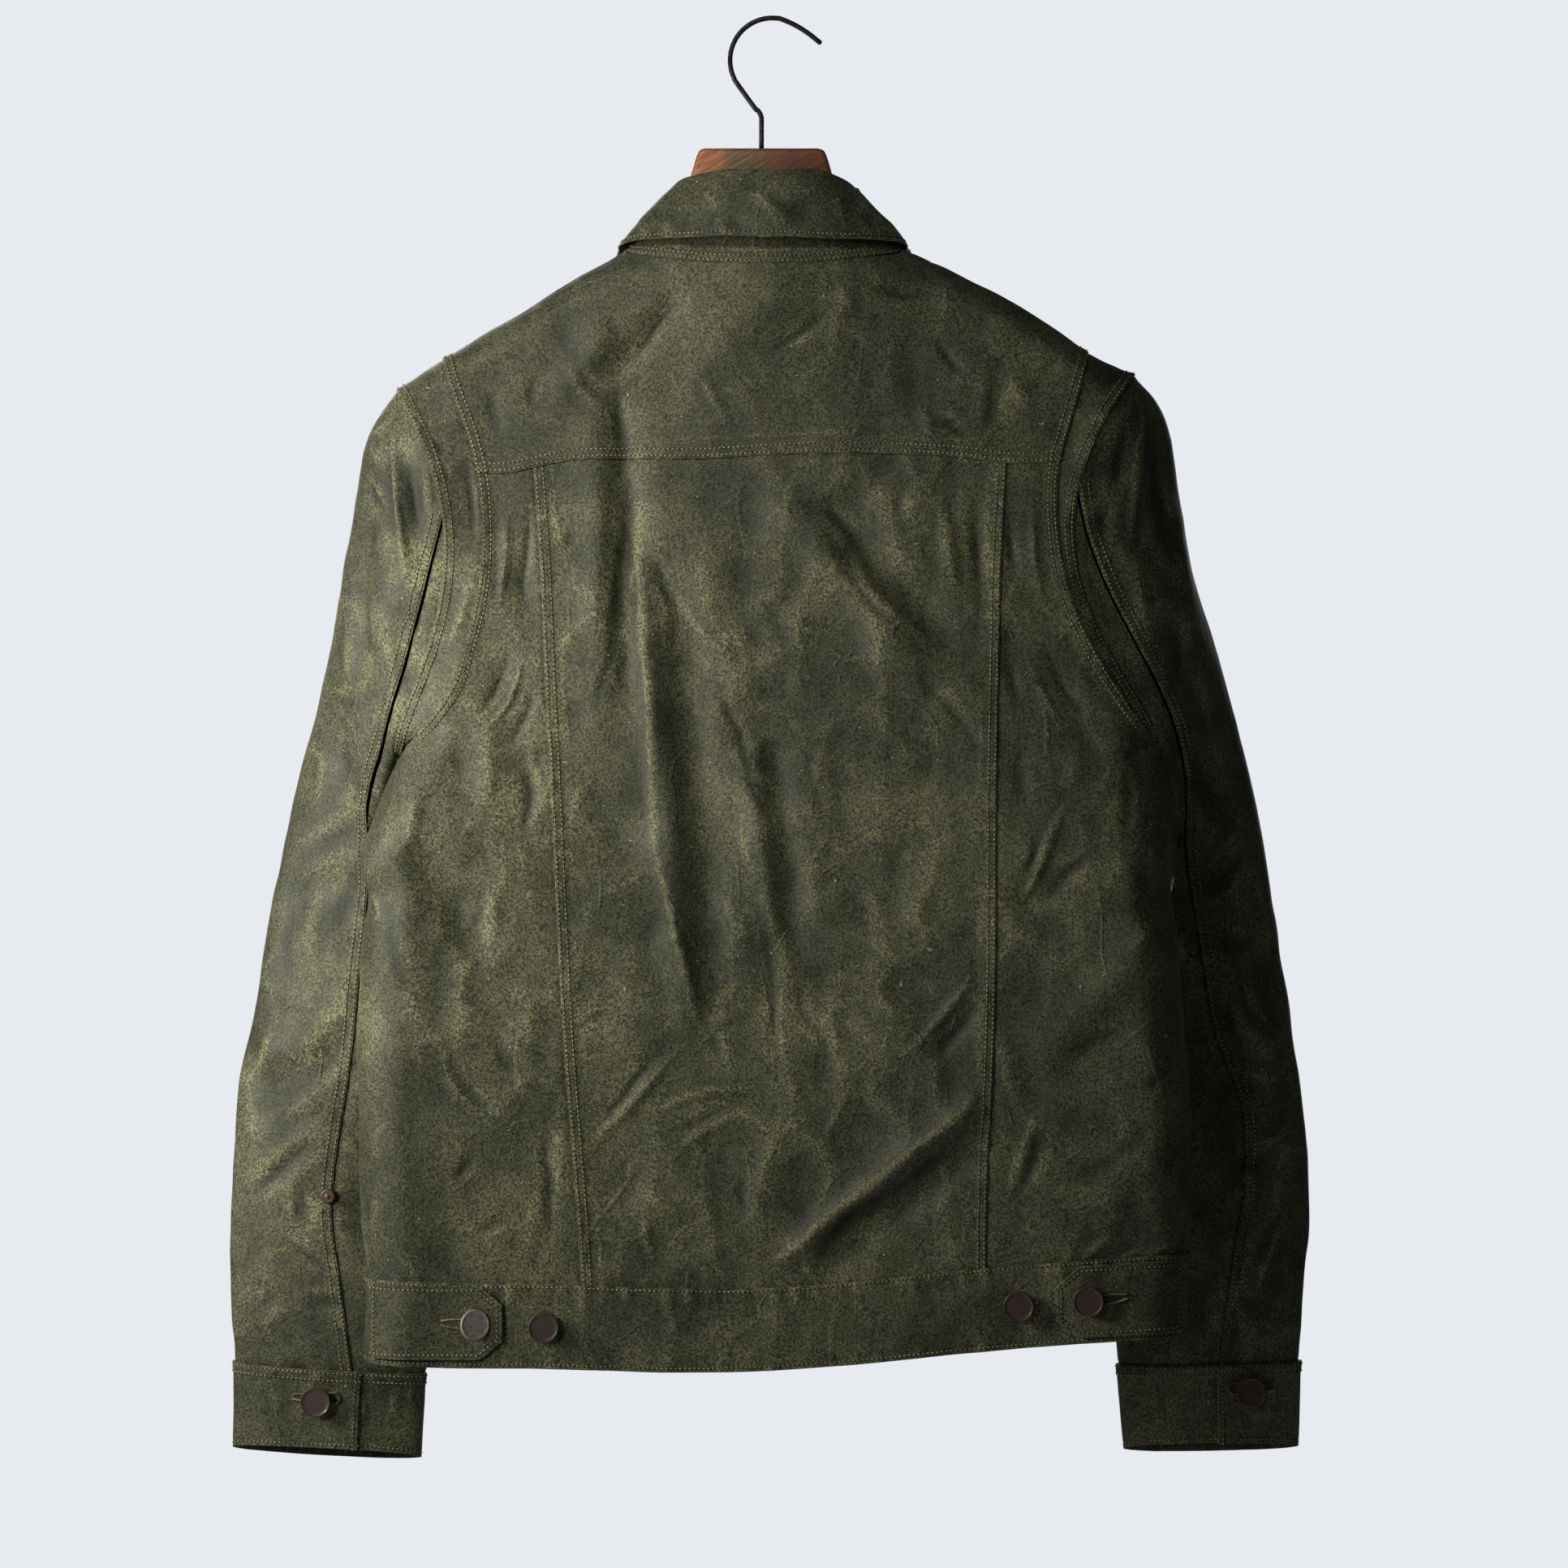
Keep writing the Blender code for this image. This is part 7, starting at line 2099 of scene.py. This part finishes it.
def waxed_cloth_group():
    """Waxed cotton: dull bloom in clouds, dark wax in patches, painted shade in creases and
    hollows, pale rubbed ridges and crackle.
    """
    if "waxed_cloth" in bpy.data.node_groups:
        return bpy.data.node_groups["waxed_cloth"]
    tree, given, out = group_tree(
        "waxed_cloth",
        (("Vector", "Vector", None), ("Wear", "Float", 0.0), ("Base", "Color", None),
         ("Bloom", "Color", None), ("Scuff", "Color", None), ("Dark", "Color", None)),
        (("Color", "Color"), ("Roughness", "Float"), ("Height", "Float")))
    t = Tree(tree)
    place, wear = given["Vector"], given["Wear"]
    clouds = t.noise(place, 18.0, 5.0, 0.66, 0.6)
    patches = t.noise(place, 75.0, 5.0, 0.68)
    grain = t.noise(place, 760.0, 3.0, 0.7)
    speck = t.noise(place, 1700.0, 2.0, 0.6)
    bloom = t.math("ADD", t.spread(clouds, 0.36, 0.66), t.spread(patches, 0.30, 0.70, -0.20, 0.20))
    # Rubbed ridges bloom more; hollows bloom less, which paints them darker as shade.
    bloom = t.math("ADD", bloom, t.math("MULTIPLY", wear, 0.30), clamp=True)
    cloth = t.mix(bloom, given["Base"], given["Bloom"])
    # Dark: random patches of thick wax, and painted shade in crease bottoms and hollows.
    hollow = t.spread(patches, 0.25, 0.55, 0.12, -0.1)
    hollow = t.math("ADD", t.math("MULTIPLY", wear, -0.9), hollow, clamp=True)
    cloth = t.mix(hollow, cloth, given["Dark"])
    lines = t.math("ADD", old_crease(t, place, (15.0, 15.0, 8.0), 3.0, 0.013),
                   old_crease(t, place, (17.0, 17.0, 27.0), 11.0, 0.015), clamp=True)
    thread_tops = t.spread(grain, 0.42, 0.66, -0.24, 0.24)
    rubbed = t.spread(t.math("ADD", wear, thread_tops), 0.20, 1.05)
    cracked = t.math("MULTIPLY", lines, t.spread(grain, 0.3, 0.6, 0.06, 0.34))
    rubbed = t.math("ADD", rubbed, cracked, clamp=True)
    rubbed = t.math("MULTIPLY", rubbed, t.spread(patches, 0.25, 0.55, 0.6, 1.0))
    cloth = t.mix(t.math("MULTIPLY", rubbed, 0.50), cloth, given["Scuff"])
    smoke = t.spread(t.noise(place, 9.0, 4.0, 0.6, 0.5), 0.40, 0.60, 0.70, 1.18)
    cloth = t.mix(t.spread(speck, 0.56, 0.72, 0.0, 0.30), cloth, given["Scuff"])
    mottle = t.math("MULTIPLY", smoke, t.spread(grain, 0.36, 0.64, 0.26, 1.74))
    grey = t.node("ShaderNodeCombineColor", Red=mottle, Green=mottle, Blue=mottle)
    cloth = t.mix(1.0, cloth, grey.outputs["Color"], "MULTIPLY")
    lint = t.spread(t.noise(place, 420.0, 1.0, 0.4), 0.785, 0.80)
    cloth = t.mix(t.math("MULTIPLY", lint, 0.8), cloth, (0.50, 0.51, 0.47, 1.0))
    t.link(cloth, out["Color"])
    rough = t.math("ADD", t.spread(grain, 0.25, 0.75, 0.54, 0.74), t.math("MULTIPLY", rubbed, 0.10))
    t.link(rough, out["Roughness"])
    height = t.math("ADD", t.math("MULTIPLY", grain, 0.50), t.math("MULTIPLY", speck, 0.22))
    height = t.math("ADD", height, t.math("MULTIPLY", patches, 1.5))
    height = t.math("ADD", height, t.math("MULTIPLY", lines, 0.9))
    t.link(height, out["Height"])
    return tree


def old_crease(t, place, scale, offset, width):
    """Long thin curved lines where the wax broke along an old fold, in scattered stretches."""
    moved = t.mapped(place, Location=(offset, offset * 0.37, offset * 0.71), Scale=scale)
    field = t.noise(moved, 1.0, 1.0, 0.35, 0.25)
    away = t.math("ABSOLUTE", t.math("SUBTRACT", field, 0.5))
    line = t.spread(away, width * 0.2, width, 1.0, 0.0)
    return t.math("MULTIPLY", line, t.spread(t.noise(moved, 2.1, 2.0), 0.50, 0.62))


def worn_metal_group():
    """Old metal: tarnish and bright metal in random blotches, fine scratches."""
    if "worn_metal" in bpy.data.node_groups:
        return bpy.data.node_groups["worn_metal"]
    tree, given, out = group_tree(
        "worn_metal",
        (("Vector", "Vector", None), ("Metal", "Color", None), ("Tarnish", "Color", None),
         ("Amount", "Float", 0.5)),
        (("Color", "Color"), ("Roughness", "Float"), ("Height", "Float")))
    t = Tree(tree)
    place = given["Vector"]
    blotch = t.noise(place, 420.0, 4.0, 0.6)
    fine = t.noise(place, 2600.0, 2.0, 0.6)
    dirt = t.spread(t.math("ADD", blotch, t.math("MULTIPLY", given["Amount"], 0.25)), 0.42, 0.78)
    t.link(t.mix(dirt, given["Metal"], given["Tarnish"]), out["Color"])
    t.link(t.math("ADD", t.spread(dirt, 0.0, 1.0, 0.26, 0.55), t.spread(fine, 0.3, 0.7, 0.0, 0.10)),
           out["Roughness"])
    t.link(t.math("ADD", blotch, t.math("MULTIPLY", fine, 0.4)), out["Height"])
    return tree


def bare_material(name):
    """A new material with its tree, its shader and the place on the object."""
    made = bpy.data.materials.new(name)
    made.use_nodes = True
    t = Tree(made.node_tree)
    shader = made.node_tree.nodes["Principled BSDF"]
    place = t.new("ShaderNodeTexCoord").outputs["Object"]
    return made, t, shader, place


def waxed_cotton():
    made, t, shader, place = bare_material("waxed_cloth")
    settings = cloth_settings()
    # How worn each place is, and the painted shade of its creases and hollows.
    wear = t.node("ShaderNodeAttribute", {"attribute_name": "wear"}).outputs["Fac"]
    cloth = t.group(waxed_cloth_group(), Vector=place, Wear=wear, Base=rgba(settings.base),
                    Bloom=rgba(settings.bloom), Scuff=rgba(settings.scuff),
                    Dark=rgba(settings.dark))
    t.fill(shader, Base_Color=cloth["Color"], Roughness=cloth["Roughness"],
           Specular_IOR_Level=0.38, Sheen_Weight=0.06, Sheen_Roughness=0.45)
    t.bump(shader, cloth["Height"], 0.9, 0.00035)
    return made


def thread_material():
    made, t, shader, place = bare_material("seam_thread")
    sewing = bpy.context.scene.jacket_sewing
    twist = t.noise(place, 900.0, 3.0, 0.6)
    soil = t.noise(place, 45.0, 3.0, 0.6)
    shade = rgba(tuple(c * 0.38 for c in sewing.colour))
    toned = t.mix(t.spread(soil, 0.34, 0.66), shade, rgba(sewing.colour))
    toned = t.mix(t.spread(twist, 0.35, 0.65, 0.0, 0.45), toned, shade)
    t.fill(shader, Base_Color=toned, Roughness=t.spread(twist, 0.3, 0.7, 0.6, 0.8))
    t.bump(shader, twist, 0.5, 0.0001)
    return made


def hole_shade_material():
    # Near black, the painted shade inside a needle hole.
    made, t, shader, place = bare_material("needle_hole")
    dark = bpy.context.scene.jacket_sewing.hole_colour
    toned = t.mix(t.noise(place, 700.0, 1.0), rgba(dark), rgba(tuple(c * 1.8 for c in dark)))
    t.fill(shader, Base_Color=toned, Roughness=0.9)
    return made


def metal_material(name, metal, tarnish, amount, metallic=0.5):
    made, t, shader, place = bare_material(name)
    worn = t.group(worn_metal_group(), Vector=place, Metal=rgba(metal), Tarnish=rgba(tarnish),
                   Amount=amount)
    t.fill(shader, Base_Color=worn["Color"], Roughness=worn["Roughness"], Metallic=metallic)
    t.bump(shader, worn["Height"], 0.35, 0.00006)
    return made


def wood_material():
    """Three lengths of stained wood side by side, with slanting grain and small dark specks."""
    made, t, shader, place = bare_material("stained_wood")
    tones = bpy.context.scene.jacket_fittings
    x = t.node("ShaderNodeSeparateXYZ", Vector=place).outputs["X"]
    wobble = t.math("MULTIPLY", t.math("SUBTRACT", t.noise(place, 90.0, 2.0), 0.5), 0.006)
    x = t.math("ADD", x, wobble)
    slanted = t.mapped(place, Rotation=(0, 0.55, 0))
    long_grain = t.noise(t.mapped(slanted, Scale=(55.0, 420.0, 620.0)), 1.0, 5.0, 0.65, 0.4)
    fine_grain = t.noise(t.mapped(slanted, Scale=(160.0, 900.0, 2400.0)), 1.0, 3.0, 0.6)
    toned = t.mix(t.spread(x, WOOD_JOINTS[0] - 0.004, WOOD_JOINTS[0] + 0.005),
                  rgba(tones.wood_light), rgba(tones.wood_mid))
    toned = t.mix(t.spread(x, WOOD_JOINTS[1] - 0.0006, WOOD_JOINTS[1] + 0.0006),
                  toned, rgba(tones.wood_red))
    darker = t.mix(1.0, toned, (0.42, 0.38, 0.36, 1.0), "MULTIPLY")
    toned = t.mix(t.spread(long_grain, 0.38, 0.66, 0.0, 0.85), toned, darker)
    toned = t.mix(t.spread(fine_grain, 0.45, 0.70, 0.0, 0.45), toned, darker)
    specks = t.spread(t.noise(place, 650.0, 1.0, 0.4), 0.70, 0.74)
    toned = t.mix(specks, toned, (0.02, 0.012, 0.008, 1.0))
    t.fill(shader, Base_Color=toned, Roughness=t.spread(long_grain, 0.3, 0.7, 0.34, 0.52),
           Coat_Weight=0.25, Coat_Roughness=0.3)
    t.bump(shader, t.math("ADD", long_grain, fine_grain), 0.4, 0.00025)
    return made


def finish(name):
    """A named finish, made when it is first asked for."""
    if name in bpy.data.materials:
        return bpy.data.materials[name]
    tones = bpy.context.scene.jacket_fittings
    makers = {
        "waxed_cloth": waxed_cotton,
        "seam_thread": thread_material,
        "needle_hole": hole_shade_material,
        "aged_bronze": lambda: metal_material("aged_bronze", tones.bronze, tones.tarnish, 0.4, 0.3),
        "silvered_bronze": lambda: metal_material("silvered_bronze", tones.silvered,
                                                  (0.20, 0.17, 0.155), 0.1, 0.2),
        "rivet_brass": lambda: metal_material("rivet_brass", tones.brass, tones.tarnish, 0.3),
        "stained_wood": wood_material,
        "dark_steel": lambda: metal_material("dark_steel", tones.steel, (0.02, 0.014, 0.012), 0.5),
    }
    return makers[name]()


# ---- stage -------------------------------------------------------------------------------------
def aimed(obj, place, target):
    obj.location = place
    obj.rotation_euler = (Vector(target) - Vector(place)).to_track_quat("-Z", "Y").to_euler()


def studio_lamp(name, place, target, watts, size, tint=(1, 1, 1), beam=None):
    """A soft panel, or with a beam angle a soft spot whose light fades towards its edge."""
    lamp = bpy.data.lights.new(name, "SPOT" if beam else "AREA")
    lamp.energy, lamp.color = watts, tint
    if beam:
        lamp.shadow_soft_size, lamp.spot_size, lamp.spot_blend = size / 2, beam, 1.0
    else:
        lamp.size = size
    made = add_object(name, lamp)
    made.visible_camera = False
    aimed(made, place, target)


class JACKET_OT_stage(bpy.types.Operator):
    """The camera, the lights, the pale room and the floor"""
    bl_idname = "jacket.stage"
    bl_label = "Stage"

    def execute(self, context):
        scene, stage = context.scene, context.scene.jacket_stage
        scene.view_settings.view_transform = "Standard"
        lens = bpy.data.cameras.new("camera")
        lens.lens, lens.sensor_width = stage.lens, 36.0
        camera = add_object("camera", lens)
        aimed(camera, (0.0067, -stage.distance, -0.454), (0.0067, 0.0, -0.454))
        scene.camera = camera
        middle, warm = (0.0, 0.0, -0.45), (1.0, 0.99, 0.96)
        studio_lamp("key", (-1.05, -0.420, -0.340), (-0.05, 0, -0.47), stage.key, 0.35, warm)
        studio_lamp("beam", (-1.20, -1.46, -0.08), (-0.31, 0, -0.45), stage.beam, 0.5, warm,
                    stage.beam_angle)
        studio_lamp("neck", (-0.55, -1.20, 0.62), (-0.13, 0, -0.15), stage.neck, 0.4, warm,
                    math.radians(22))
        studio_lamp("rear_key", (-0.9, 2.5, 0.6), middle, stage.rear, 1.0, (1.0, 0.99, 0.97))
        studio_lamp("rear_fill", (1.0, 2.5, -0.2), middle, stage.rear * 0.4, 1.4)
        world = bpy.data.worlds.new("room")
        scene.world = world
        world.use_nodes = True
        t = Tree(world.node_tree)
        nodes = world.node_tree.nodes
        seen = nodes["Background"]
        t.fill(seen, Color=rgba(stage.backdrop))
        lit = t.node("ShaderNodeBackground", Color=(0.80, 0.88, 1.0, 1.0), Strength=stage.sky)
        mixed, path = t.new("ShaderNodeMixShader"), t.new("ShaderNodeLightPath")
        sources = (path.outputs["Is Camera Ray"], lit.outputs[0], seen.outputs[0])
        for socket, source in zip(mixed.inputs, sources):
            t.link(source, socket)
        t.fill(nodes["World Output"], Surface=mixed.outputs[0])
        ring = [(2.5 * math.cos(a), 2.5 * math.sin(a), stage.floor_z)
                for a in np.linspace(0, 2 * math.pi, 64, endpoint=False)]
        floor = plain_mesh("floor", [(0, 0, stage.floor_z), *ring],
                           [(0, 1 + i, 1 + (i + 1) % 64) for i in range(64)])
        made = add_object("floor", floor)
        pale, t, shader, place = bare_material("pale_floor")
        soft = t.noise(place, 3.0, 2.0)
        t.fill(shader, Base_Color=t.mix(soft, (0.66, 0.67, 0.68, 1.0), (0.72, 0.73, 0.74, 1.0)),
               Roughness=0.8)
        floor.materials.append(pale)
        return {"FINISHED"}


# ---- panel, registration and the whole jacket --------------------------------------------------
SETTINGS = (("jacket_cloth", JacketCloth), ("jacket_sewing", JacketSewing),
            ("jacket_fittings", JacketFittings), ("jacket_stage", JacketStage))
STEPS = (JACKET_OT_yoke, JACKET_OT_back, JACKET_OT_fronts, JACKET_OT_waist, JACKET_OT_collar,
         JACKET_OT_sleeves, JACKET_OT_cuffs, JACKET_OT_stitching, JACKET_OT_buttonholes,
         JACKET_OT_buttons, JACKET_OT_rivets, JACKET_OT_hanger, JACKET_OT_stage)


class JACKET_PT_steps(bpy.types.Panel):
    """Lists the jacket's settings and the steps that make it"""
    bl_idname = "JACKET_PT_steps"
    bl_label = "Waxed cotton jacket"
    bl_space_type = "VIEW_3D"
    bl_region_type = "UI"
    bl_category = "Jacket"

    def draw(self, context):
        for name, group in SETTINGS:
            box = self.layout.box()
            for label in group.__annotations__:
                box.prop(getattr(context.scene, name), label)
        for step in STEPS:
            self.layout.operator(step.bl_idname)


def register():
    for _, group in SETTINGS:
        bpy.utils.register_class(group)
    for name, group in SETTINGS:
        setattr(bpy.types.Scene, name, bpy.props.PointerProperty(type=group))
    for step in STEPS:
        bpy.utils.register_class(step)
    bpy.utils.register_class(JACKET_PT_steps)


def unregister():
    bpy.utils.unregister_class(JACKET_PT_steps)
    for step in reversed(STEPS):
        bpy.utils.unregister_class(step)
    for name, group in reversed(SETTINGS):
        delattr(bpy.types.Scene, name)
        bpy.utils.unregister_class(group)


def main():
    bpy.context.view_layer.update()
    register()
    for step in STEPS:
        place, name = step.bl_idname.split(".")
        getattr(getattr(bpy.ops, place), name)()


if __name__ == "__main__":
    main()
